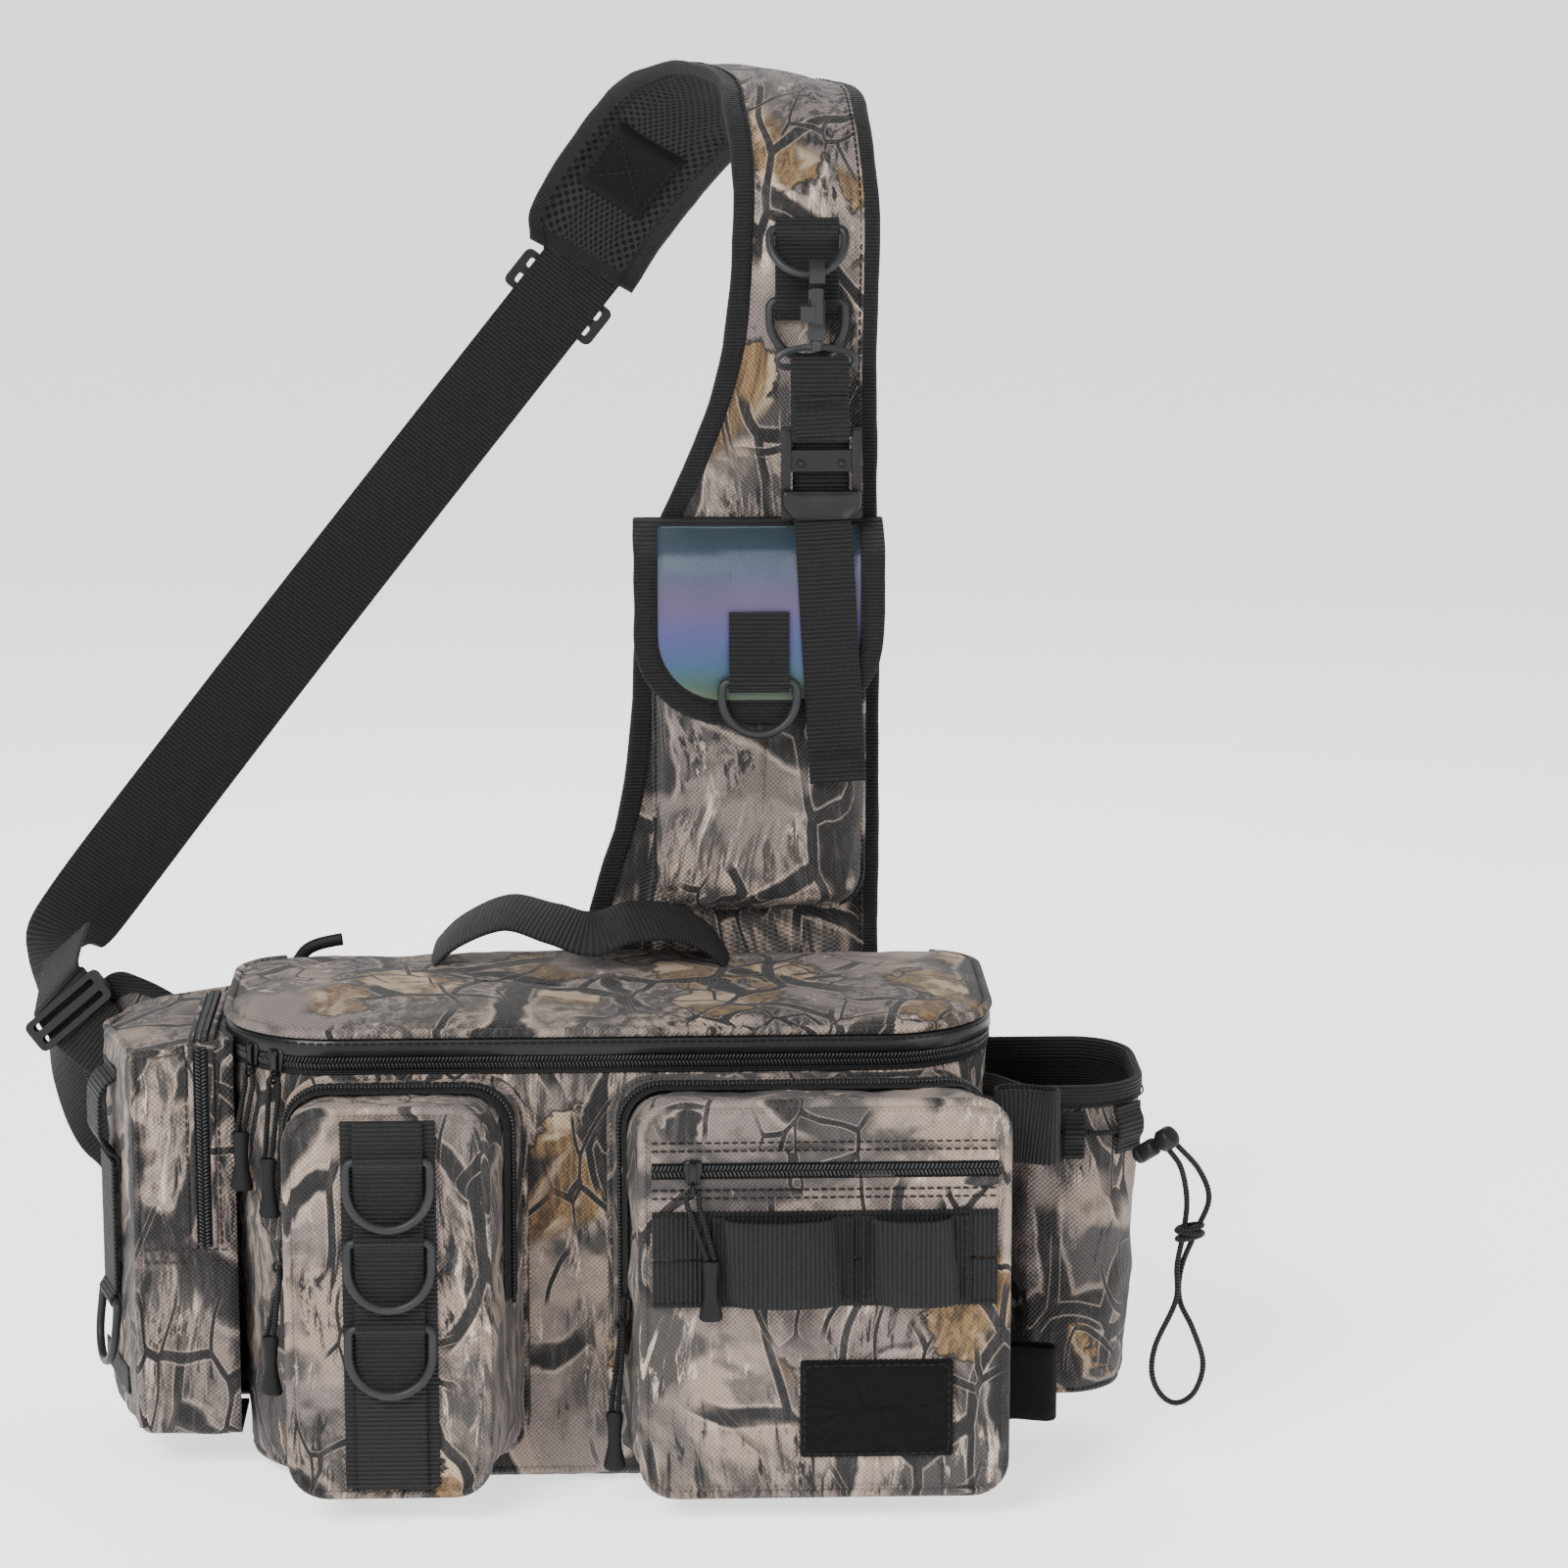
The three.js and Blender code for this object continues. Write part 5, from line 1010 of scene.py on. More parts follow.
def make_tool_band():
    piece = Piece()
    xs = np.linspace(BAND_LEFT, BAND_RIGHT, 60)
    for z in (TOOL_Z - 10.2, TOOL_Z + 10.2):
        line = [(x, SURFACE_Y - WEB_THICK / 2, z) for x in xs]
        ribbon(piece, line, [0, 0, -1], TOOL_HIGH / 2 - 0.4, WEB_THICK)
    lean = math.tan(math.radians(5))
    for left, right, stand in TOOL_LOOPS:
        half = (right - left) / 2
        angles = np.linspace(math.pi, 0, 25)
        flat_left = [(left - 3 - i, 1.0) for i in (3, 2, 1, 0)]
        arc = [((left + right) / 2 + half * math.cos(a), 0.9 + (stand - 0.9) * math.sin(a) ** 0.7)
               for a in angles]
        flat_right = [(right + 3 + i, 1.0) for i in (0, 1, 2, 3)]
        line = [(x, SURFACE_Y - WEB_THICK - y, TOOL_Z) for x, y in [*flat_left, *arc, *flat_right]]
        ribbon(piece, line, [lean, 0, -1], TOOL_HIGH - 4, WEB_THICK * 0.8)
    piece.build("tool_band", [WEB], "tool_webbing", slot="black_webbing")
    lines = [[(x, SURFACE_Y - 3.4, TOOL_Z - 17), (x, SURFACE_Y - 3.4, TOOL_Z + 17)]
             for left, right, _ in TOOL_LOOPS for x in (left - 4.5, right + 4.5)]
    lines += [[(x, SURFACE_Y - 1.6, z) for x in xs] for z in (TOOL_Z - 18.4, TOOL_Z + 18.4)]
    sew("tool_band_stitches", [(line, FORWARD) for line in lines])


def make_patch():
    low, high = span("patch")
    piece = Piece()
    middle, half = (low + high) / 2, (high - low) / 2
    rows = []
    for inset, out in ((half[2] - 0.5, 1), (14, 1), (8, 1), (4, 1), (2, 0.97), (0.8, 0.85), (0, 0.5), (0, 0)):
        outline = rounded(low[0] + inset, high[0] - inset, low[2] + inset, high[2] - inset,
                          [max(1.6 - inset, 0.3)] * 4, (40, 26), 3)
        rows.append(upright(outline, high[1] - out * (high[1] - low[1])))
    piece.grid(rows, closed=True, plane=(0, 2), ends=True)
    piece.push(lambda p: 0.25 * waves(p, 3.1, 31, 2) * ease(-p[:, 1], -middle[1], -low[1]))
    piece.build("patch_pile", [PILE], "patch", slot="hook_and_loop")
    ring = rounded(low[0] + 1.8, high[0] - 1.8, low[2] + 1.8, high[2] - 1.8, [1] * 4, (12, 8), 2)
    sew("patch_stitches", [(upright(ring, low[1] - 0.1), FORWARD)], closed=True)


# Side pocket on the left, with its slanted outer face
SIDE_ROOT = -BODY_HALF
SIDE_OUTER = SIDE_ROOT - 38.5
SIDE_FRONT, SIDE_BEND, SIDE_BACK = -45, 15, 48
SIDE_BULGE = 18
SIDE_FOOT, SIDE_TOP = 15.6, 186
SIDE_BAR = 66
SIDE_SLANT = math.atan2(SIDE_BULGE - 1.2, SIDE_BEND - SIDE_FRONT - 4)
SIDE_TURN = SIDE_SLANT - math.pi / 2
SIDE_ORIGIN = np.array([mix(SIDE_OUTER - 1.2, SIDE_OUTER - SIDE_BULGE, 0.62),
                        mix(SIDE_FRONT + 4, SIDE_BEND, 0.62), 0]) + turned([0, -0.3, 0], SIDE_TURN)


def make_side_pocket():
    plan = filleted([(SIDE_ROOT + 3, SIDE_FRONT), (SIDE_OUTER + 1, SIDE_FRONT),
                     (SIDE_OUTER - 2, SIDE_FRONT + 5), (SIDE_OUTER - SIDE_BULGE, SIDE_BEND),
                     (SIDE_OUTER - SIDE_BULGE * 0.6, SIDE_BACK - 4),
                     (SIDE_OUTER + 4, SIDE_BACK), (SIDE_ROOT + 3, SIDE_BACK)], 7)
    root = np.array([SIDE_ROOT + 3, 1.5])

    def row(z, shrink):
        flat = root + (plan - root) * shrink
        flat[:, 0] = np.minimum(flat[:, 0], SIDE_ROOT + 3)
        slope = ease(z, SIDE_TOP - 30, SIDE_TOP) * 6 * (SIDE_ROOT - flat[:, 0]) / 38.5
        return np.column_stack([flat, z - slope])
    rows = [row(SIDE_FOOT, s) for s in (0.1, 0.35, 0.6, 0.8, 0.92)]
    rows += [row(SIDE_FOOT + z, s) for z, s in ((0.8, 0.97), (2.5, 0.99), (5, 1))]
    rows += [row(z, 1) for z in np.linspace(SIDE_FOOT + 8, SIDE_TOP - 7, 42)]
    rows += [row(SIDE_TOP - z, s) for z, s in ((4, 0.998), (2, 0.985), (0.7, 0.955), (0, 0.9))]
    rows += [row(SIDE_TOP, s) for s in (0.8, 0.65, 0.5, 0.35, 0.2, 0.05)]
    piece = Piece()
    piece.grid(rows)

    def cloth(p):
        off = ease(p[:, 0], SIDE_ROOT, SIDE_ROOT - 8)
        seam = np.exp(-((p[:, 2] - 94) / 2.2) ** 2)
        return off * (1.1 * waves(p, 55, 61) + 0.35 * waves(p, 18, 62) - 0.9 * seam)
    piece.push(cloth)
    piece.build("side_pocket_cloth", [CAMO_POCKET], "side_pocket", slot="camo_cloth", thick=1.6)
    runs = [(resample([(x, y, SIDE_FOOT + 4), (x, y, SIDE_TOP - 9)], 4), 1.8) for x, y in
            ((SIDE_OUTER + 0.6, SIDE_FRONT + 0.8), (SIDE_OUTER + 1.5, SIDE_BACK - 0.5))]
    rim = filleted([
        (SIDE_ROOT + 1, SIDE_FRONT + 1, SIDE_TOP - 1), (SIDE_OUTER + 1, SIDE_FRONT + 1, SIDE_TOP - 6.5),
        (SIDE_OUTER - SIDE_BULGE + 1, SIDE_BEND, SIDE_TOP - 8.5),
        (SIDE_OUTER + 3, SIDE_BACK - 1, SIDE_TOP - 6.5), (SIDE_ROOT + 1, SIDE_BACK - 1, SIDE_TOP - 1)], 6)
    piping("side_pocket_piping", CAMO_POCKET, runs + [(resample(rim, 3), 1.7)])
    make_side_zipper()


def make_side_zipper():
    piece = Piece()
    x = SIDE_ROOT - 10
    over = [(x, SIDE_FRONT - 0.9, 98), (x, SIDE_FRONT - 1.1, 176), (x, SIDE_FRONT + 0.5, 184.5),
            (x, SIDE_FRONT + 8, 186.4), (x, 30, 186.4)]
    path = filleted(over, 6, spacing=2)
    out = unit(np.cross([1.0, 0, 0], directions(path)))
    tape = [path + [shift, 0, 0] + out * lift for shift, lift in
            ((-5.4, -0.4), (-5, 0.9), (-3.2, 0.9), (-2.9, 0.2),
             (2.9, 0.2), (3.2, 0.9), (5, 0.9), (5.4, -0.4))]
    piece.grid(tape, look=lambda p, r, c: 0 if 1 < r < 5 else 2)
    fine = resample(path, 1.6)
    fine_out = unit(np.cross([1.0, 0, 0], directions(fine)))
    coil(piece, fine + fine_out * 0.2, fine_out, width=5, pitch=1.6)
    piece.build("side_zipper", [TAPE, COIL, CAMO_POCKET], slot="black_webbing")
    lines = [[(x + side, SIDE_FRONT - 1, z) for z in (99, 178)] for side in (-6.6, 6.6)]
    lines += [[(side, SIDE_FRONT - 0.8, z) for side in (SIDE_ROOT - 1, SIDE_OUTER + 2)] for z in (91.4, 97)]
    sew("side_pocket_stitches", [(line, FORWARD) for line in lines], PALE_THREAD)


def make_side_fittings():
    piece = Piece()
    stand, top, foot = 9, 163, 128
    profile = [(-0.8, top + 4), (-0.8, top), (-4.6, top - 2.5), (-7.6, top - 7), (-stand + 0.7, top - 13),
               (-stand + 0.6, top - 20), (-stand + 0.8, foot + 10), (-5, foot + 4), (-0.8, foot),
               (-0.8, foot - 3)]
    path = spline([(0, y, z) for y, z in profile], 6)
    across = turned([1.0, 0, 0], SIDE_TURN)
    ribbon(piece, turned(path, SIDE_TURN) + SIDE_ORIGIN, across, 25, WEB_THICK)
    piece.build("side_loop_webbing", [WEB], "side_loop", slot="black_webbing")
    ring_strip("side_ring_webbing", "side_ring_tab", SIDE_ORIGIN, foot - 1, SIDE_BAR - 4, (SIDE_BAR,), 25,
               turn=SIDE_TURN)
    place = turned([0, -BAR_SEAT, SIDE_BAR], SIDE_TURN) + SIDE_ORIGIN
    make_ring("side_d_ring_hanging", "side_ring", 35, 29, RING_TILT, place, "side_d_ring", SIDE_TURN)
    low_band = Piece()
    line = turned([(x, -0.9, 34) for x in np.linspace(-24, 22, 12)], SIDE_TURN) + SIDE_ORIGIN
    ribbon(low_band, line, [0, 0, 1], 12, 1.2)
    low_band.build("side_low_band", [WEB], slot="black_webbing")


# Bottle pocket on the right
BOTTLE_REACH, BOTTLE_FRONT, BOTTLE_BACK = 64.5, -50, 30
BOTTLE_FOOT, BOTTLE_RIM, BOTTLE_RADIUS = 30, 164.5, 26
BINDING_WIDE = 9.5


def bottle_plan(z, inset):
    climb = (z - BOTTLE_FOOT) / (BOTTLE_RIM - BOTTLE_FOOT)
    reach = BODY_HALF + BOTTLE_REACH * mix(0.9, 1, climb) - inset
    front, back, radius = BOTTLE_FRONT + inset, BOTTLE_BACK - inset, BOTTLE_RADIUS - inset
    points = [(BODY_HALF - 3, BOTTLE_FRONT + BOTTLE_RADIUS * 0.8 + inset),
              (BODY_HALF + 2, BOTTLE_FRONT + BOTTLE_RADIUS * 0.74 + inset),
              (BODY_HALF + BOTTLE_RADIUS * 0.6, front)]
    points = list(spline(points, 5))
    points += [mix(points[-1], np.array([reach - radius, front]), t) for t in np.linspace(0, 1, 6)[1:-1]]
    for middle, start in ((front + radius, 0), (back - radius, 90)):
        for angle in np.radians(np.linspace(start, start + 90, 13)):
            points.append((reach - radius + radius * math.sin(angle), middle - radius * math.cos(angle)))
    points += [(mix(reach - radius, BODY_HALF - 3, t), back) for t in np.linspace(0, 1, 9)[1:]]
    return np.array(points, float)


def make_bottle_pocket():
    piece = Piece()
    middle = np.array([BODY_HALF + 24, -10])

    def dished(z, shrink, inset=8):
        plan = bottle_plan(z, inset)
        return level(middle + (plan - middle) * shrink, z)
    rows = [dished(BOTTLE_FOOT, s) for s in (0.05, 0.35, 0.65, 0.88, 1)]
    rows += [level(bottle_plan(BOTTLE_FOOT + z, inset), BOTTLE_FOOT + z) for z, inset in
             ((0.8, 5), (3, 2.3), (5, 0.9), (8, 0))]
    outer = [level(bottle_plan(z, 0), z)
             for z in np.linspace(BOTTLE_FOOT + 11, BOTTLE_RIM - BINDING_WIDE, 34)]
    band = [level(bottle_plan(z, inset), z) for z, inset in
            ((BOTTLE_RIM - BINDING_WIDE + 0.1, -0.7), (BOTTLE_RIM - 5, -0.8), (BOTTLE_RIM - 1.2, -0.6),
             (BOTTLE_RIM, 0.4), (BOTTLE_RIM, 1.6), (BOTTLE_RIM - 1.2, 2.7), (BOTTLE_RIM - 6, 2.8),
             (BOTTLE_RIM - BINDING_WIDE, 2.8))]
    inner = [level(bottle_plan(z, 2.2), z) for z in np.linspace(BOTTLE_RIM - 10, BOTTLE_FOOT + 9, 24)]
    inner += [dished(BOTTLE_FOOT + 3, s, 10) for s in (1, 0.6, 0.1)]
    band_from = len(rows) + len(outer)
    lining_from = band_from + len(band)
    piece.grid(rows + outer + band + inner,
               look=lambda p, r, c: 0 if r < band_from else (1 if r < lining_from else 2))

    def cloth(p):
        off = ease(p[:, 0], BODY_HALF, BODY_HALF + 8) * ease(p[:, 2], BOTTLE_RIM - 6, BOTTLE_RIM - 24)
        return off * (0.9 * waves(p, 60, 71) + 0.3 * waves(p, 20, 72))
    piece.push(cloth)
    piece.build("bottle_pocket_cloth", [CAMO_LARGE, BINDING, LINING], "bottle_pocket", slot="camo_cloth")
    line = level(bottle_plan(BOTTLE_RIM, -0.9), BOTTLE_RIM - BINDING_WIDE + 1.3)
    out = right_of(line)
    sew("bottle_pocket_stitches", [(line[i:i + 2] + out[i] * 0.1, out[i]) for i in range(len(line) - 1)])
    foot = level(bottle_plan(BOTTLE_FOOT + 2, 2.6), BOTTLE_FOOT + 2)
    piping("bottle_pocket_piping", CAMO_LARGE, [(resample(foot, 3), 1.5)])


def make_bottle_tabs():
    reach = BODY_HALF + BOTTLE_REACH * 0.985
    y = BOTTLE_FRONT - 0.5
    piece = Piece()
    tab = [(reach - 29.5, y - 1.5 - bump, z) for bump, z in
           ((0, 154), (0.2, 150), (1.8, 147), (2.1, 145), (1.8, 143), (0.2, 140), (0, 134))]
    ribbon(piece, spline(tab, 4), [1, 0, 0], 9, 1.5)
    corner = np.array([reach - BOTTLE_RADIUS, BOTTLE_FRONT + BOTTLE_RADIUS, 0])
    way = unit([1.0, -1.0, 0])
    second = [corner + way * (BOTTLE_RADIUS + 1.9 + bump) + [0, 0, z] for bump, z in
              ((0, 155), (0.2, 151), (1.7, 148), (2, 145), (1.7, 142), (0.2, 139), (0, 135))]
    ribbon(piece, spline(second, 4), [1, 1, 0], 16, 1.6)
    line = spline([(reach - 40, y - 1.2, 145.3), (reach - 28, y - 2, 145), (reach - 16, y - 1.6, 145),
                   corner + way * (BOTTLE_RADIUS + 2.6) + [0, 0, 145]], 8)
    tube(piece, line, 1.2, look=1)
    piece.build("bottle_rim_tabs", [WEB, CORD], "bottle_tabs", slot="black_webbing")


# Draw cord of the bottle pocket and its lock
LOCK_PLACE = np.array([225.4, -53, 139.6])
LOCK_AXIS = np.array([math.cos(math.radians(40)) * math.cos(math.radians(35)),
                      -math.sin(math.radians(40)) * math.cos(math.radians(35)), math.sin(math.radians(35))])
DRAW_CORD = 2.4
DRAW_ROUTE = [
    (230.2, -57.3, 139.2), (235.6, -57.4, 131), (238.3, -56.6, 117), (237.2, -56.2, 103), (234.6, -57.6, 89),
    (234.4, -57.6, 74), (226.4, -56, 54), (225.2, -56, 41), (229.6, -56, 31.6), (236.2, -56, 28.6),
    (243.2, -56, 33.6), (246.4, -56, 46), (241.8, -56, 61), (236.4, -54.2, 73), (236.8, -54.2, 87),
    (242.4, -55.6, 103), (247.6, -55.6, 117), (243.4, -55.6, 129.5), (233.8, -56.6, 140.8)]
KNOT_PLACE = np.array([239.8, -55.9, 103])


def make_cord(name, node, route, thick):
    """A cord whose far end goes back into the bag, with one piece on it, made as one tube along its route."""
    path = resample(spline(route, 8), 1.2)
    piece = Piece()
    tube(piece, path, thick / 2, sides=12)
    made = piece.build(name, [CORD], node, slot="cord")
    tuple(to_row(path[0]))
    to_row(path).tolist()


def make_draw_cord():
    barrel, button = Piece(), Piece()
    lathe(barrel, [(-11, 2.9), (-10.4, 3.6), (-9.4, 3.8), (-7.6, 3.8), (-7.2, 3.4), (-6.8, 3.8), (-1, 3.8),
                   (-0.3, 3.5), (0, 3.1)], LOCK_PLACE, LOCK_AXIS)
    barrel.build("cord_lock_shell", [PLASTIC], "cord_lock_barrel", slot="dark_plastic")
    lathe(button, [(-0.3, 2.2), (0, 2.4), (3.2, 2.4), (3.4, 4.2), (4.2, 4.8), (8.8, 4.8), (9.6, 4.5),
                   (10.2, 3.7), (10.3, 1.6)], LOCK_PLACE, LOCK_AXIS)
    button.build("cord_lock_cap", [PLASTIC], "cord_lock_button", body="lock_button", slot="dark_plastic")
    knot = Piece()
    for shift, tilt, size in ((-1.9, 0.35, 1.0), (0.1, -0.2, 1.06), (2.1, 0.3, 1.0)):
        angles = np.linspace(0, 2 * math.pi, 28, endpoint=False)
        ring = np.column_stack([5.1 * size * np.cos(angles), 2.6 * size * np.sin(angles),
                                shift + tilt * 3 * np.cos(angles)])
        tube(knot, ring + KNOT_PLACE, 1.2, closed=True)
    knot_piece = knot.build("draw_cord_knot", [CORD], "draw_knot", slot="cord")
    make_cord("draw_cord_loop", "draw_cord", DRAW_ROUTE, DRAW_CORD)


# Rod straps on the large pocket's right gusset
def make_rod_straps():
    y = FACE_Y + GUSSET_DEEP * 0.66
    root_y = body_front(LARGE_BASE["right"], 92.75) + 8
    share = (y - root_y) / (FACE_Y + EDGE - root_y)
    root = LARGE_BASE["right"] + share * (LARGE_FACE["right"] - LARGE_BASE["right"]) + 0.55
    reach, deep, tall, sheet = 27, 10, 31, 1.6
    for name, z in (("upper", 156.5), ("lower", 47)):
        loop = rounded(root + 0.8, root + reach - 0.8, y - deep / 2 + 0.8, y + deep / 2 - 0.8,
                       [3.6] * 4, (10, 4), 6)
        loop = np.roll(loop, -26, axis=0)
        path = level(np.concatenate([loop, loop[:1]]), z)
        path[:, 2] += 0.6 * np.sin(path[:, 0] * 0.2)
        piece = Piece()
        ribbon(piece, path, [0, 0, 1], tall, sheet)
        piece.build("rod_strap_" + name + "_tape", [PILE if name == "lower" else BINDING],
                    "rod_strap_" + name, slot="hook_and_loop")


# Carry handle: shares of its span and rise, how far it leans to the front, and its tilt
HANDLE_ROWS = [(-0.5, -0.1, 0, 0), (-0.49, 0.2, 1, 0.05), (-0.4, 0.66, 4, 0.1), (-0.25, 1, 8, 0.16),
               (-0.1, 0.84, 12, 0.24), (0.03, 0.66, 14, 0.28), (0.16, 0.84, 12, 0.24), (0.3, 0.8, 8, 0.16),
               (0.42, 0.45, 4, 0.1), (0.5, -0.1, 0, 0)]


def make_handle():
    rows = spline([(-11 + a * 128, BODY_DEEP - 22 - lean, LID_FOOT + 6 + rise * 24)
                   for a, rise, lean, tilt in HANDLE_ROWS], 10)
    tilts = spline([(tilt, 0, 0) for *_, tilt in HANDLE_ROWS], 10)[:, 0]
    across = np.column_stack([np.zeros(len(rows)), np.cos(tilts), np.sin(tilts)])
    piece = Piece()
    ribbon(piece, rows, across, 38, 1.6, columns=12, cup=-0.8)
    piece.build("handle_webbing", [WEB], "carry_handle", slot="black_webbing")


# Sling pad: rows of its two edges as shares of the foot width, the rise and the reach
PAD_ROWS = [
    ((-1, 0, 0), (0, 0, 0)), ((-0.885, 0.147, 0), (0, 0.147, 0)), ((-0.776, 0.277, 0), (0, 0.277, 0)),
    ((-0.74, 0.44, 0), (0, 0.44, 0)), ((-0.733, 0.478, 0), (0, 0.478, 0)),
    ((-0.688, 0.532, 0), (-0.004, 0.532, 0)), ((-0.583, 0.608, 0), (-0.007, 0.608, 0)),
    ((-0.508, 0.676, 0), (-0.01, 0.676, 0)), ((-0.463, 0.745, 0), (-0.007, 0.745, 0)),
    ((-0.443, 0.856, 0), (-0.004, 0.856, 0)), ((-0.444, 0.917, 0.06), (-0.014, 0.915, 0.06)),
    ((-0.461, 0.962, 0.16), (-0.028, 0.955, 0.15)), ((-0.482, 0.989, 0.29), (-0.05, 0.978, 0.28)),
    ((-0.585, 1, 0.49), (-0.14, 0.975, 0.49)), ((-0.69, 0.99, 0.65), (-0.25, 0.942, 0.66)),
    ((-0.78, 0.968, 0.79), (-0.38, 0.896, 0.8)), ((-0.88, 0.925, 0.9), (-0.51, 0.842, 0.9)),
    ((-1, 0.865, 0.975), (-0.63, 0.786, 0.975)), ((-1.068, 0.82, 1), (-0.7, 0.748, 1)),
    ((-1.07, 0.79, 1), (-0.735, 0.729, 1))]
PAD_CORNER = np.array([117.5, 72.8, 150])
PAD_SIZE = np.array([142, 198, 423])
PAD_THICK = 8
PAD_BINDING = 9.5
PAD_STEPS = 8


def pad_frame():
    """Left and right edge and the way to the inner face, for each fine row of the pad."""
    left, right = [spline([PAD_CORNER + PAD_SIZE * np.array([row[side][0], row[side][2], row[side][1]])
                           for row in PAD_ROWS], PAD_STEPS) for side in (0, 1)]
    along = directions((left + right) / 2)
    inward = unit(np.cross(along, right - left))
    return left, right, inward


PAD_LEFT, PAD_RIGHT, PAD_INWARD = pad_frame()


def pad_point(row, share, depth):
    return PAD_LEFT[row] + (PAD_RIGHT[row] - PAD_LEFT[row]) * share + PAD_INWARD[row] * depth


def make_sling_pad():
    near = [0, 0.5, 1.5, 3.5, 6.5, PAD_BINDING - 0.2, PAD_BINDING + 0.3, 12, 15, 19]
    lengths = np.linalg.norm(np.diff((PAD_LEFT + PAD_RIGHT) / 2, axis=0), axis=1)
    to_end = np.append(np.cumsum(lengths[::-1])[::-1], 0)
    rows, marks = [], []
    for i in range(len(PAD_LEFT)):
        wide = np.linalg.norm(PAD_RIGHT[i] - PAD_LEFT[i])
        distances = near + list(np.linspace(19, wide - 19, 18)[1:-1]) + [wide - d for d in near[::-1]]
        from_edge = np.minimum(np.minimum(distances, wide - np.array(distances)), to_end[i])
        half = 0.9 + 1.3 * ease(from_edge, 0, 1.2) + 0.35 * (from_edge > 0.4) * (from_edge < PAD_BINDING)
        half += 1.9 * ease(from_edge, PAD_BINDING, PAD_BINDING + 13)
        shares = np.array(distances) / wide
        outer = [pad_point(i, s, PAD_THICK / 2 - h) for s, h in zip(shares, half)]
        inner = [pad_point(i, s, PAD_THICK / 2 + h) for s, h in zip(shares[::-1], half[::-1])]
        rows.append(outer + inner)
        marks.append(np.concatenate([from_edge, from_edge[::-1]]))
    count = len(rows[0]) // 2

    def look(p, r, c):
        row = marks[r]
        if row[c] < PAD_BINDING - 0.3 and row[min(c + 1, 2 * count - 1)] < PAD_BINDING + 0.1:
            return 1
        return 0 if c < count else 2
    piece = Piece()
    piece.grid(rows, closed=True, look=look, ends=True)
    piece.push(lambda p: 0.35 * waves(p, 48, 81) + 0.12 * waves(p, 15, 82))
    pad = piece.build("sling_pad_cloth", [CAMO_SLING, BINDING, MESH], "sling_pad", slot="camo_cloth")
    runs = []
    for edge, other in ((PAD_LEFT, PAD_RIGHT), (PAD_RIGHT, PAD_LEFT)):
        for sign in (-1, 1):
            line = edge + unit(other - edge) * (PAD_BINDING - 1.6) + PAD_INWARD * (PAD_THICK / 2 + sign * 2.7)
            runs += [(line[i:i + 3], PAD_INWARD[i] * sign) for i in range(0, len(line) - 1, 2)]
    sew("sling_pad_stitches", runs)


def make_pad_foot():
    """The tape that sews the pad's foot to the back."""
    shares = np.linspace(0, 1, 33)
    from_edge = np.minimum(shares, 1 - shares) * np.linalg.norm(PAD_RIGHT[0] - PAD_LEFT[0])
    depth = PAD_THICK / 2 + 2.9 + 1.9 * ease(from_edge, PAD_BINDING, PAD_BINDING + 13)
    line = np.array([pad_point(0, s, d) for s, d in zip(shares, depth)])
    piece = Piece()
    ribbon(piece, line + [0, 0, 4.4], [0, 0, 1], 9, 1.2)
    piece.build("sling_pad_foot", [BINDING], slot="black_webbing")
    inner = PAD_INWARD[0]
    sew("sling_foot_stitches", [(line + inner * 0.7 + [0, 0, z], inner) for z in (1.8, 7)])


def boxed(corners):
    """The lines of a sewn box: round its four corners and across both ways."""
    return [[corners[a], corners[b]] for a, b in ((0, 1), (1, 2), (2, 3), (3, 0), (0, 2), (1, 3))]


def make_pad_patch():
    """The loop field sewn on the far end's inner side, with its crossed stitches."""
    first, last = PAD_STEPS * 15 + 4, PAD_STEPS * 17 - 2
    piece = Piece()
    shares = np.linspace(0.2, 0.74, 14)
    top = PAD_THICK / 2 + 4.1
    rows = []
    for i in range(first, last + 1):
        rim = 0 if i in (first, last) else 1
        rows.append([pad_point(i, s, top + 1.3 * rim * (0 if s in (shares[0], shares[-1]) else 1))
                     for s in shares])
    piece.grid(rows)
    piece.build("sling_inner_patch", [PILE], slot="hook_and_loop", thick=0.8)
    corners = [pad_point(i, share, top + 1.5) for i, share in
               ((first + 1, 0.23), (first + 1, 0.71), (last - 1, 0.71), (last - 1, 0.23))]
    up = PAD_INWARD[(first + last) // 2]
    sew("sling_inner_stitches", [(line, up) for line in boxed(corners)], thick=0.5)


# Pouch and flap on the pad
PAD_Y = 72.5
POUCH = dict(left=21, right=110, low=213, high=371)
POUCH_DEEP = 20
FLAP_TOP, FLAP_LOW, FLAP_LEFT, FLAP_RIGHT = 384, 298, 11.5, 118.5
FLAP_RADIUS = 38
FLAP_BINDING = 10.5


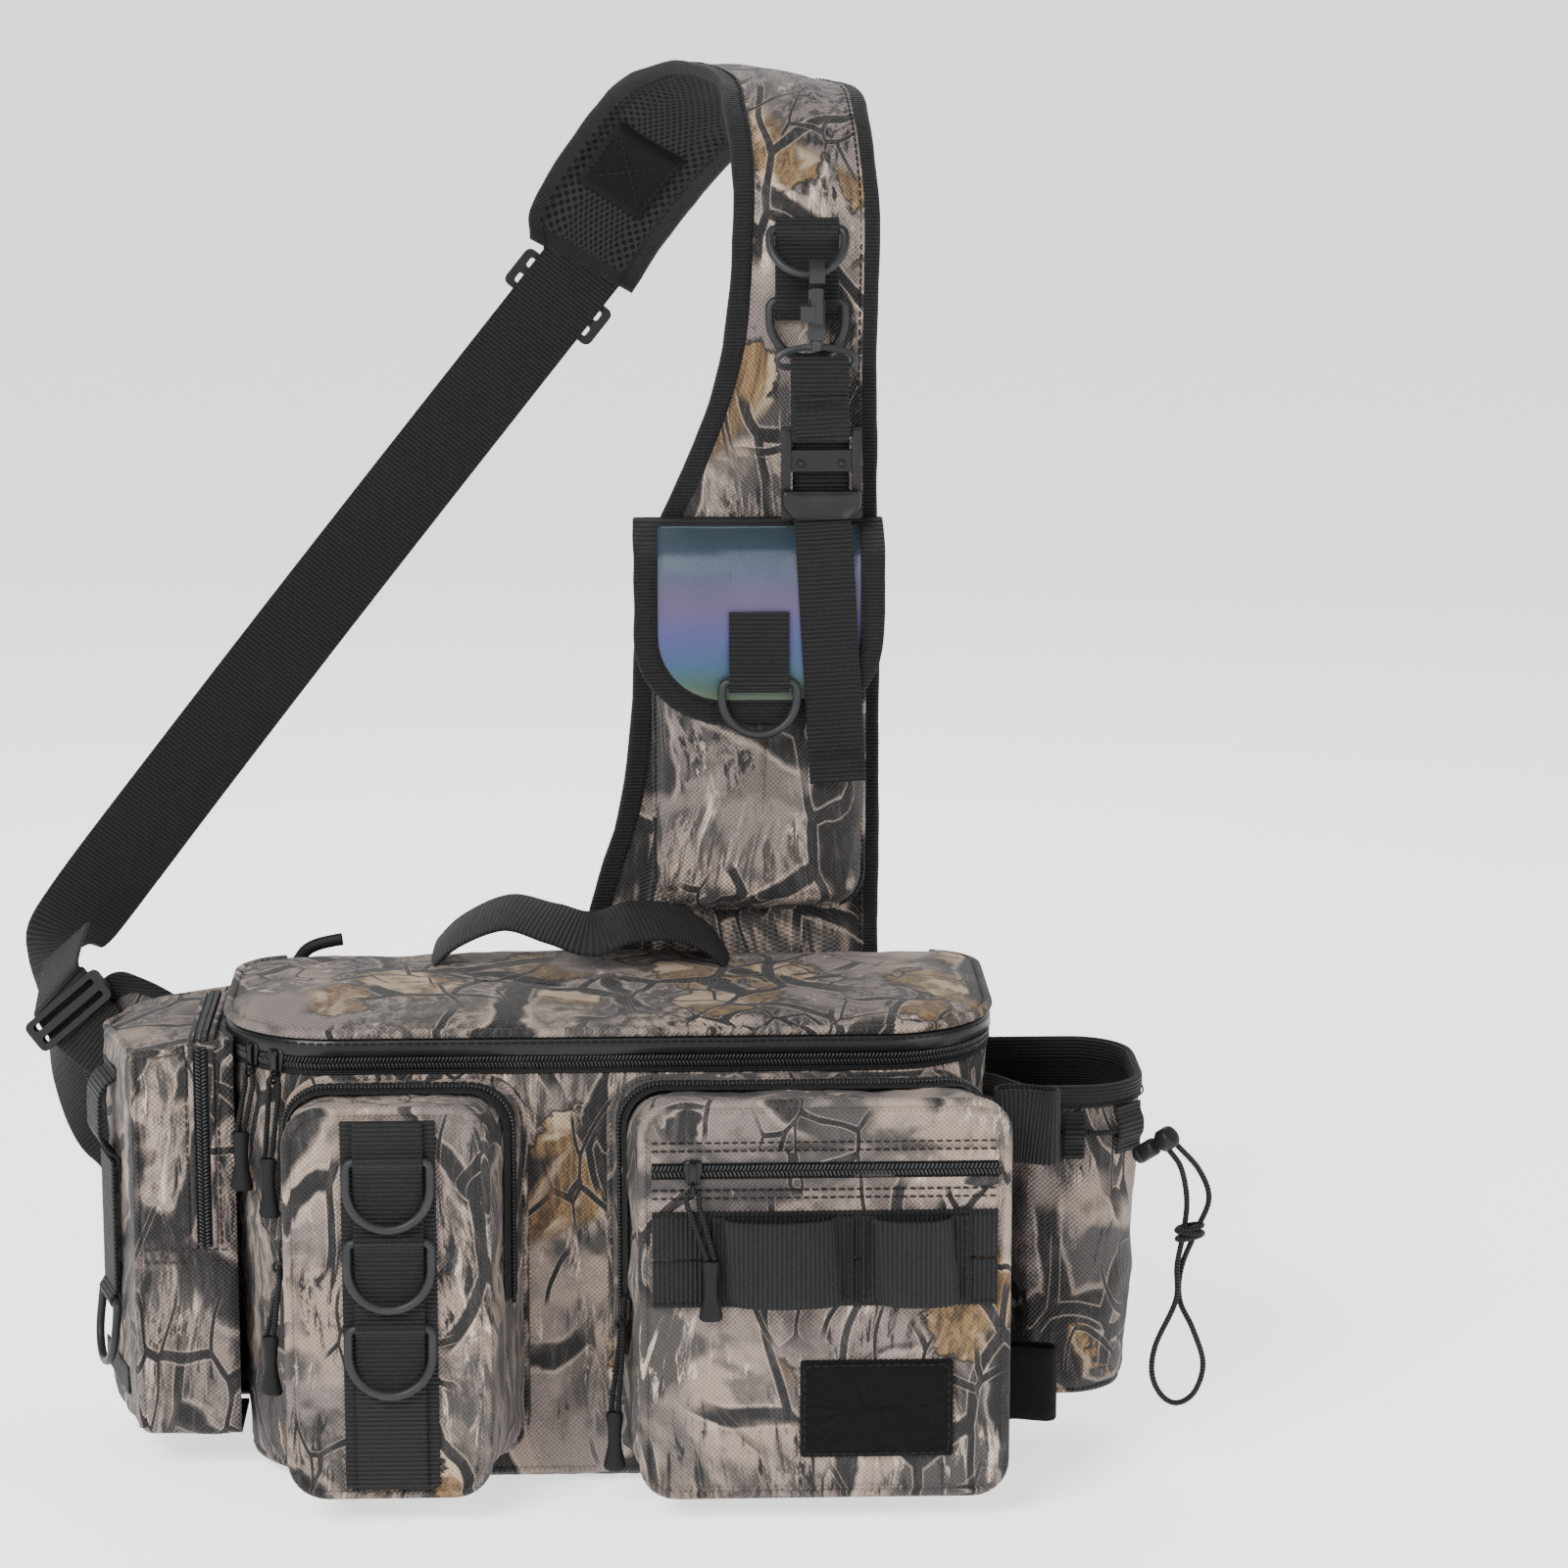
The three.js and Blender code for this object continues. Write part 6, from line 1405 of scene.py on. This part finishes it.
def make_pouch():
    front = PAD_Y - POUCH_DEEP

    def ring(y, inset):
        outline = rounded(POUCH["left"] + inset, POUCH["right"] - inset, POUCH["low"] + inset,
                          POUCH["high"] - 9, [max(16 - inset, 2), 3, 3, max(16 - inset, 2)], (20, 34), 7)
        return upright(outline, y)
    rows = [ring(front - 1.5 * ease(inset, 11, 30), inset) for inset in (42, 36, 30, 25, 20, 16, 13)]
    rows += [ring(front + y, inset) for y, inset in ((0.4, 10.5), (1.4, 8), (3, 5.6), (5.5, 3.6), (8.5, 2.2),
                                                   (12, 1.1), (16, 0.4), (19.6, 0.2))]
    piece = Piece()
    piece.grid(rows, closed=True, plane=(0, 2))
    piece.close(rows[0], (0, 2))
    piece.push(lambda p: ease(p[:, 1], PAD_Y - 1, PAD_Y - 8)
               * (1.2 * waves(p, 46, 91) + 0.4 * waves(p, 17, 92)))
    piece.build("pouch_cloth", [CAMO_SLING], "sling_pouch", slot="camo_cloth", thick=1.4)
    edge = rounded(POUCH["left"] - 0.5, POUCH["right"] + 0.5, POUCH["low"] - 0.5, POUCH["high"] - 9,
                   [16, 3, 3, 16], (10, 16), 6)
    piping("pouch_piping", CAMO_SLING, [(resample(upright(edge, PAD_Y - 0.8), 3, True), 1.1)], closed=True)


def flap_face(z):
    """Y of the flap's face: down from the pad's face at the top, then over the pouch."""
    heights = [FLAP_LOW, 330, 350, 364, 371, 376, 381, FLAP_TOP]
    depths = [48.9, 48.7, 48.1, 47.7, 49.6, 56.5, 64.5, 69.6]
    return np.interp(z, heights, depths)


def make_flap():
    def ring(inset, lift):
        radius = max(FLAP_RADIUS - inset, 2)
        outline = rounded(FLAP_LEFT + inset, FLAP_RIGHT - inset, FLAP_LOW + inset, FLAP_TOP - inset * 0.3,
                          [radius, 1, 1, radius], (26, 24), 10)
        return upright(outline, flap_face(outline[:, 1]) - lift)
    profile = [(0, -1.6), (0.2, -0.4), (0.9, 0.3), (2.5, 0.6), (6, 0.6), (FLAP_BINDING - 0.6, 0.5),
               (FLAP_BINDING, -0.2), (13, 0.2), (17, 0.8), (22, 1.2), (28, 1.3), (34, 1.3), (41, 1.3)]
    rows = [ring(inset, lift) for inset, lift in profile]
    piece = Piece()
    piece.grid(rows, closed=True, look=lambda p, r, c: 1 if r >= 6 else 0, plane=(0, 2))
    piece.close(rows[-1], (0, 2), (len(rows) - 1) * len(rows[-1]), look=1)
    piece.push(lambda p: 0.3 * waves(p, 40, 95))
    flap = piece.build("flap_panel", [BINDING, SHIFT], "pouch_flap", slot="colour_shift_panel", thick=2.2)
    outline = rounded(FLAP_LEFT + 8.8, FLAP_RIGHT - 8.8, FLAP_LOW + 8.8, FLAP_TOP - 3,
                      [FLAP_RADIUS - 8.8, 1, 1, FLAP_RADIUS - 8.8], (26, 24), 10)
    line = outline[outline[:, 1] < FLAP_TOP - 14]
    start = int(np.argmax(np.linalg.norm(np.diff(line, axis=0), axis=1))) + 1
    line = np.roll(line, -start, axis=0)
    sew("flap_stitches", [(upright(line, flap_face(line[:, 1]) - 0.9), FORWARD)])


FLAP_SURFACE = PAD_Y - POUCH_DEEP - 0.6 - 3 - 0.3
FLAP_TAB_X = 64.8
FLAP_BAR = 317


def make_flap_tab():
    ring_strip("flap_tab_webbing", "flap_tab", [FLAP_TAB_X, FLAP_SURFACE, 0], FLAP_TOP - 37, FLAP_BAR - 4,
               (FLAP_BAR,), 25.6)
    make_ring("flap_d_ring_hanging", "flap_ring", 35, 22.5, RING_TILT,
              [FLAP_TAB_X, FLAP_SURFACE - BAR_SEAT, FLAP_BAR], "flap_d_ring")
    corners = [(FLAP_TAB_X + x, FLAP_SURFACE - WEB_THICK - 0.1, z) for x, z in
               ((-10.5, 325.5), (10.5, 325.5), (10.5, 344.5), (-10.5, 344.5))]
    sew("flap_tab_stitches", [(line, FORWARD) for line in boxed(corners)])


PAD_STRIP_X = 86
UPPER_BAR, LOWER_BAR = 506.8, 476.4


def make_pad_rings():
    ring_strip("pad_strip_webbing", "pad_ring_webbing", [PAD_STRIP_X, PAD_Y, 0], 511, 468,
               (UPPER_BAR, LOWER_BAR), 27)
    make_ring("upper_pad_d_ring", "pad_ring_upper", 35, 21, math.radians(30),
              [PAD_STRIP_X, PAD_Y - BAR_SEAT, UPPER_BAR], "bag")
    make_ring("lower_pad_d_ring", "pad_ring_lower", 35, 24, RING_TILT,
              [PAD_STRIP_X, PAD_Y - BAR_SEAT, LOWER_BAR], "lower_pad_ring")


def refined(name, node, look, bevel, body="bag"):
    """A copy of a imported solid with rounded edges, standing for it."""
    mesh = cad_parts[node].data.copy()
    mesh.name = name
    work = bmesh.new()
    work.from_mesh(mesh)
    bmesh.ops.remove_doubles(work, verts=work.verts, dist=0.00002)
    bmesh.ops.dissolve_limit(work, angle_limit=math.radians(3), verts=work.verts, edges=work.edges)
    work.to_mesh(mesh)
    work.free()
    mesh.materials.clear()
    mesh.materials.append(look)
    mesh.polygons.foreach_set("use_smooth", [True] * len(mesh.polygons))
    mesh.polygons.foreach_set("material_index", [0] * len(mesh.polygons))
    mesh.set_sharp_from_angle(angle=math.radians(50))
    settle(bpy.data.objects.new(name, mesh), node, body, bevel=bevel)


def make_hook():
    refined("snap_hook_body", "snap_hook", METAL, 0.7)
    refined("snap_hook_gate", "snap_gate", METAL, 0.4, "hook_gate")
    refined("hook_swivel", "swivel_base", METAL, 0.35)
    refined("ladder_lock_frame", "ladder_lock", PLASTIC, 0.6)
    make_hook_webbing()
    make_lock_lip()


TAIL_FACE = 47.2
TAIL_LEAN = math.radians(3.4)


def make_tail():
    """The webbing's free tail, over the lock's lower bar and down in front of the pouch."""
    low, high = span("ladder_lock")
    piece = Piece()
    front = (low[1] + high[1]) / 2 - 2 - 0.3 - WEB_THICK / 2
    tail_front = TAIL_FACE - WEB_THICK / 2
    local = spline([(0, front, 10), (0, front, 4), (0, front - 0.4, 0), (0, tail_front + 3, -6),
                    (0, tail_front, -12), (0, tail_front - 0.2, -30), (0, tail_front, -60),
                    (0, tail_front, -90), (0, tail_front - 0.3, -112)], 6)
    c, s = math.cos(TAIL_LEAN), math.sin(TAIL_LEAN)
    leaned = np.column_stack([-local[:, 2] * s, local[:, 1], local[:, 2] * c])
    leaned += [(low[0] + high[0]) / 2 + 0.3, 0, low[2]]
    ribbon(piece, leaned, [c, 0, s], 24.2, WEB_THICK)
    piece.build("tail_strap", [WEB], "tail_webbing", slot="black_webbing")
    end = leaned[-4] + [0, -0.9, 0]
    sew("tail_stitches", [([end + [side * c, 0, side * s + lift] for side in (-10, 10)], FORWARD)
                          for lift in (0, 3)])


def make_hook_webbing():
    """The short webbing loop between the swivel and the ladder lock, with its lap."""
    low, high = span("hook_webbing")
    middle = (low + high) / 2
    half = WEB_THICK / 2
    outline = rounded(low[1] + half, high[1] - half, low[2] + half, high[2] - half, [3.6] * 4, (4, 18), 6)
    start = int(np.argmax(outline[:, 0] + (np.abs(outline[:, 1] - middle[2]) < 3) * 10))
    outline = np.roll(outline, -start, axis=0)
    loop = np.array([(middle[0], y, z) for y, z in np.concatenate([outline, outline[:1]])])
    piece = Piece()
    ribbon(piece, loop, [1, 0, 0], high[0] - low[0], WEB_THICK)
    lap = [(middle[0] + (436 - z) * 0.06, low[1] - 0.2 - 0.5 * math.sin((z - 420) / 5), z)
           for z in np.linspace(437, 421, 12)]
    ribbon(piece, lap, [1, 0, 0], high[0] - low[0] - 0.6, WEB_THICK)
    lock_low, lock_high = span("ladder_lock")
    behind = [((lock_low[0] + lock_high[0]) / 2, lock_high[1] - 1, z) for z in np.linspace(422, 388, 12)]
    ribbon(piece, behind, [1, 0, 0], 24, WEB_THICK)
    piece.build("hook_webbing_loop", [WEB], "hook_webbing", slot="black_webbing")
    sew("hook_webbing_stitches", [([(x, low[1] - 1.3, z) for x in (low[0] + 2, high[0] - 2)], FORWARD)
                                  for z in (434.8, 432.6)])


LIP_TOP, LIP_FACE = 397.5, 51.3
RIVET_Z = 408.8


def make_lock_lip():
    """The ladder lock's lip and its two rivets."""
    low, high = span("ladder_lock")
    lip = Piece()
    left, right, foot, top = low[0] + 0.3, high[0] - 0.3, low[2] + 0.3, LIP_TOP
    outline = filleted([(left, top), (right, top), (right, foot + 5.5), (right - 4.5, foot),
                        (left + 4.5, foot), (left, foot + 5.5), (left, top)], 2, spacing=2)[:-1]
    centre = outline.mean(0)
    rows = [upright(centre + (outline - centre) * shrink, LIP_FACE + y) for shrink, y in
            ((0.1, 1.3), (0.5, 1.2), (0.72, 0.9), (0.86, 0.3), (0.93, 0), (0.98, 0.6), (1, 1.6), (1, 6))]
    lip.grid(rows, closed=True, ends=True)
    for x in (-8.6, 8.6):
        lathe(lip, [(0, 1.5), (0.5, 1.4), (0.8, 0.9), (0.85, 0.2)],
              ((left + right) / 2 + x, low[1], RIVET_Z), FORWARD, sides=16)
    lip.build("ladder_lock_lip", [PLASTIC], slot="dark_plastic")


# Wing at the left, and the shoulder webbing that runs from the pad's end down to it
WING_ROOT, WING_REACH, WING_FOOT, WING_HEIGHT = -121, 114, 60, 121
WING_THICK = 6
WING_OUTLINE = [(0, 0.84), (0.4, 0.83), (0.72, 0.97), (0.83, 1), (0.92, 0.94), (0.985, 0.8), (1, 0.64),
                (0.9, 0.46), (0.7, 0.28), (0.25, 0), (0, 0)]


def wing_plane(x):
    return PAD_CORNER[1] + np.maximum(0, -148 - np.asarray(x)) * 0.3


def make_wing():
    outline = filleted([(WING_ROOT - a * WING_REACH, WING_FOOT + b * WING_HEIGHT)
                        for a, b in WING_OUTLINE], 10, spacing=3)
    middle = np.array([WING_ROOT - WING_REACH * 0.5, WING_FOOT + WING_HEIGHT * 0.55])
    piece = Piece()
    rows = []
    profile = [(0.02, 2.7), (0.3, 2.7), (0.55, 2.6), (0.72, 2.3), (0.82, 1.5), (0.835, 1.2), (0.84, 1.7),
               (0.93, 1.8), (0.975, 1.5), (1, 0.8)]
    for side, steps in ((-1, profile), (1, profile[::-1])):
        for shrink, half in steps:
            flat = middle + (outline - middle) * shrink
            rows.append(upright(flat, wing_plane(flat[:, 0]) + WING_THICK / 2 + side * half))
    piece.grid(rows, closed=True, look=lambda p, r, c: 1 if 5 <= r < 14 else 0, plane=(0, 2), ends=True)
    piece.push(lambda p: 0.3 * waves(p, 45, 97))
    wing = piece.build("wing_cloth", [CAMO_SLING, BINDING], "wing_pad", slot="camo_cloth")


STRAP_START = (PAD_CORNER + PAD_SIZE * np.array([-1.07, 1, 0.79]) + PAD_CORNER
               + PAD_SIZE * np.array([-0.735, 1, 0.729])) / 2 + [-2.2, -PAD_THICK / 2, -3.6]
HITCH_X = WING_ROOT - 0.8 * WING_REACH
STRAP_END = np.array([HITCH_X, wing_plane(HITCH_X) + WING_THICK + WEB_THICK + 1,
                      WING_FOOT + 0.33 * WING_HEIGHT])
RUN_ACROSS = (0.776, 0, -0.631)


def strap(name, node, rows, width):
    """A webbing strap through rows, each a point and the way across."""
    line, across = [spline([row[part] for row in rows], 8) for part in (0, 1)]
    piece = Piece()
    ribbon(piece, line, across, width, WEB_THICK, columns=10)
    piece.build(name, [WEB], node, slot="black_webbing")


def strap_rows():
    """Down behind the bag in one plane, then round to the wing: shares of the way to the left, back and
    down, where the plane gives the height on the straight run."""
    way = STRAP_END - STRAP_START
    fall = RUN_ACROSS[0] / -RUN_ACROSS[2]
    rows = []
    for side, back, down, across in (
            (-0.035, 0, None, RUN_ACROSS), (0, 0, None, RUN_ACROSS), (0.34, 0.1, None, RUN_ACROSS),
            (0.65, 0.23, None, RUN_ACROSS), (0.94, 0.43, None, RUN_ACROSS),
            (1.12, 0.61, None, (0.72, -0.3, -0.6)), (1.18, 0.7, 0.79, (0.4, -0.8, -0.3)),
            (1.18, 0.8, 0.85, (0.3, -0.9, 0)),
            (1.14, 0.88, 0.91, (0.5, -0.6, 0.4)), (1.05, 0.98, 0.97, (0.85, -0.25, 0.4)),
            (1, 1, 1, (0.85, -0.25, 0.45))):
        z = STRAP_START[2] + (side * way[0] * fall if down is None else down * way[2])
        rows.append(((STRAP_START[0] + side * way[0], STRAP_START[1] + back * way[1], z), across))
    return rows


def wing_rows():
    rows = []
    for reach, climb, off, across in (
            (1.053, 1.041, 26.65, (0.6, -0.1, 0.7)), (1.07, 0.934, 2, (0.58, -0.16, 0.8)),
            (1.044, 0.893, -1.5, (0.58, -0.16, 0.8)), (0.956, 0.793, -1.5, (0.58, -0.16, 0.8)),
            (0.816, 0.686, 0, (0.55, -0.16, 0.83)), (0.658, 0.562, 0, (0.55, -0.16, 0.83))):
        x = WING_ROOT - reach * WING_REACH
        y = float(wing_plane(x)) - WEB_THICK / 2 - 0.6 + off
        rows.append(((x, y, WING_FOOT + climb * WING_HEIGHT), across))
    return rows


def make_straps():
    strap("shoulder_strap", "shoulder_webbing", strap_rows(), 38)
    strap("wing_strap", "wing_webbing", wing_rows(), 34)
    refined("strap_slide", "strap_adjuster", PLASTIC, 0.7)
    refined("wing_slide", "wing_triglide", PLASTIC, 0.6)


# Zipper sliders, their pull cords and grips
SLIDER = dict(wide=8, thick=3.5, tall=10)
BAIL_RADIUS = 2.4
BAIL_PLACE = np.array([0, 0.3 - SLIDER["thick"], 0.7 - SLIDER["tall"] / 2 - BAIL_RADIUS])
PULL_CORD = 2.2
GRIP_LENGTH, GRIP_RADIUS, GRIP_FLAT = 25, 4.8, 0.62


def on_corner(degrees, z):
    angle = math.radians(degrees)
    out = FRONT_RADIUS + 0.5
    return np.array([-BODY_HALF + FRONT_RADIUS - out * math.sin(angle),
                     -BODY_DEEP + FRONT_RADIUS - out * math.cos(angle), z])


def on_gusset(base, face, y, z, turn):
    angle = math.radians(turn)
    root = body_front(base["left"], (base["low"] + base["high"]) / 2) + 8
    share = (y - root) / (FACE_Y + EDGE - root)
    x = base["left"] + share * (face["left"] - base["left"])
    return np.array([x + 0.5 * math.sin(angle), y - 0.5 * math.cos(angle), z])


def make_slider(name, node, place, angle):
    """A waisted plate with a bridge over it and the bail that holds the pull cord."""
    tall, piece = SLIDER["tall"] / 2, Piece()
    side = [(0.9, tall), (2.7, tall - 0.2), (3.8, tall - 1.5), (SLIDER["wide"] / 2, 1.4), (3.2, -1.6),
            (2.9, -tall + 0.9), (2, -tall)]
    outline = np.array(side + [(-x, z) for x, z in side[::-1]])
    rows = [np.column_stack([outline[:, 0] * size, np.full(len(outline), -y), outline[:, 1] * size])
            for y, size in ((0, 0.92), (0.3, 1), (1.3, 1), (1.7, 0.94), (1.8, 0.8))]
    piece.grid(rows, closed=True, ends=True)
    bridge = spline([(0, -1.5, tall - 0.8), (0, -2.7, tall - 1.6), (0, -2.9, 0), (0, -2.8, 1.4 - tall),
                     (0, -1.5, 0.7 - tall)], 4)
    ribbon(piece, bridge, [1, 0, 0], 3, 1)
    angles = np.linspace(0, 2 * math.pi, 20, endpoint=False)
    bail = np.column_stack([np.zeros(20), np.cos(angles), np.sin(angles)]) * BAIL_RADIUS + BAIL_PLACE
    tube(piece, bail, 0.75, closed=True)
    piece.points = [turned(points, angle) + place for points in piece.points]
    piece.build(name, [PAINTED], node, slot="dark_metal")


GRIP_PROFILE = [(0, 0.6), (0.02, 0.72), (0.06, 0.76), (0.12, 0.74), (0.22, 0.65), (0.34, 0.59), (0.5, 0.58),
                (0.62, 0.64), (0.75, 0.79), (0.86, 0.93), (0.93, 1), (0.975, 0.95), (1, 0.8)]


def make_pulls():
    """Each slider with its cord and grip. A row gives the slider's name, turn and place, then where its
    grip hangs and the grip's turn."""
    front = SURFACE_Y - WEB_THICK
    pulls = [
        ("main", "_left", -46, on_corner(46, 182), (-151.5, -50.5, 149), -10),
        ("main", "_right", -30, on_corner(30, 181), (-139.5, -62.5, 141), -25),
        ("small", "", -90, on_gusset(SMALL_BASE, SMALL_FACE, -84, 108, -90), (-138.8, -84, 72), -20),
        ("large", "", -74.5, on_gusset(LARGE_BASE, LARGE_FACE, -88, 84, -74.5), (1, -93, 41), -15),
        ("face", "", 0, np.array([33, front - 0.3, FACE_ZIP_Z]), (40, front - 4, 112), 0)]
    for place, side, turn, at, hang, grip_turn in pulls:
        angle, grip_angle = math.radians(turn), math.radians(grip_turn)
        make_slider(place + "_slider_body" + side, place + "_slider" + side, at, angle)
        near_bail = [turned(BAIL_PLACE + [x, 0, z], angle) + at for x, z in
                     ((-2.4, -6), (-2.3, -1.8), (0, 0.2), (2.3, -1.8), (2.4, -6))]
        sideways = turned([1.5, 0, 0], grip_angle)
        hang = np.array(hang)
        ends = [hang + sign * sideways + [0, 0, 0.3] for sign in (-1, 1)]
        grip = Piece()
        angles = np.linspace(0, 2 * math.pi, 24, endpoint=False)
        rows = [np.column_stack([r * GRIP_RADIUS * np.cos(angles),
                                 r * GRIP_RADIUS * GRIP_FLAT * np.sin(angles),
                                 np.full(24, -z * GRIP_LENGTH)]) for z, r in GRIP_PROFILE]
        grip.grid([turned(row, grip_angle) + hang for row in rows], closed=True, ends=True)
        made = grip.build(place + "_grip" + side, [RUBBER], place + "_pull" + side, slot="grip_rubber")
        route = np.concatenate([np.linspace(ends[0], near_bail[0], 6)[:-1], near_bail,
                                np.linspace(near_bail[-1], ends[1], 6)[1:]])
        make_cord(place + "_cord" + side, place + "_pull_cord" + side, route, PULL_CORD)


# The cords first, then the rest
for make in (make_draw_cord, make_pulls,
             make_body, make_main_zipper, make_lid, make_rear_pocket, make_front_pockets,
             make_ladder, make_face_zipper, make_tool_band, make_patch,
             make_side_pocket, make_side_fittings, make_bottle_pocket, make_bottle_tabs, make_rod_straps,
             make_handle, make_sling_pad, make_pad_foot, make_pad_patch, make_pouch, make_flap, make_flap_tab,
             make_pad_rings, make_hook, make_tail, make_wing, make_straps):
    make()


# Lights and floor
def area_light(name, place, aim, size, power):
    data = bpy.data.lights.new(name, "AREA")
    data.shape = "RECTANGLE"
    data.size, data.size_y = size
    data.energy = power
    lamp = bpy.data.objects.new(name, data)
    bpy.context.scene.collection.objects.link(lamp)
    lamp.location = to_row(place)
    lamp.rotation_euler = Vector(np.subtract(aim, place)).to_track_quat("-Z", "Y").to_euler()


def add_studio():
    mesh = bpy.data.meshes.new("floor")
    reach = 40000
    corners = [(-reach, -reach, -1.5), (reach, -reach, -1.5), (reach, reach, -1.5), (-reach, reach, -1.5)]
    mesh.from_pydata(to_row(corners).tolist(), [], [(0, 1, 2, 3)])
    floor = bpy.data.objects.new("floor", mesh)
    bpy.context.scene.collection.objects.link(floor)
    s = Shader("pale_floor")
    mesh.materials.append(s.finish(Base_Color=(0.95, 0.95, 0.95), Roughness=0.95, Specular_IOR_Level=0.1,
                                   Emission_Color=(1.0, 1.0, 1.0), Emission_Strength=1.3))
    world = bpy.data.worlds.new("studio")
    world.use_nodes = True
    nodes, links = world.node_tree.nodes, world.node_tree.links
    nodes["Background"].inputs["Color"].default_value = (1, 1, 1, 1)
    split = nodes.new("ShaderNodeSeparateXYZ")
    links.new(nodes.new("ShaderNodeTexCoord").outputs["Generated"], split.inputs[0])
    fade = nodes.new("ShaderNodeMapRange")
    fade.interpolation_type = "SMOOTHSTEP"
    for socket, value in (("From Min", 0.16), ("From Max", 0.34), ("To Min", 1.86), ("To Max", 0.36)):
        fade.inputs[socket].default_value = value
    links.new(split.outputs[2], fade.inputs["Value"])
    links.new(fade.outputs[0], nodes["Background"].inputs["Strength"])
    bpy.context.scene.world = world
    area_light("key", (-900, -1500, 1500), (0, 0, 250), (1.0, 1.0), 72)
    area_light("fill", (1300, -1300, 700), (0, 0, 200), (1.2, 1.2), 18)
    area_light("back", (200, 1200, 1300), (0, 0, 300), (1.5, 0.8), 18)


add_studio()
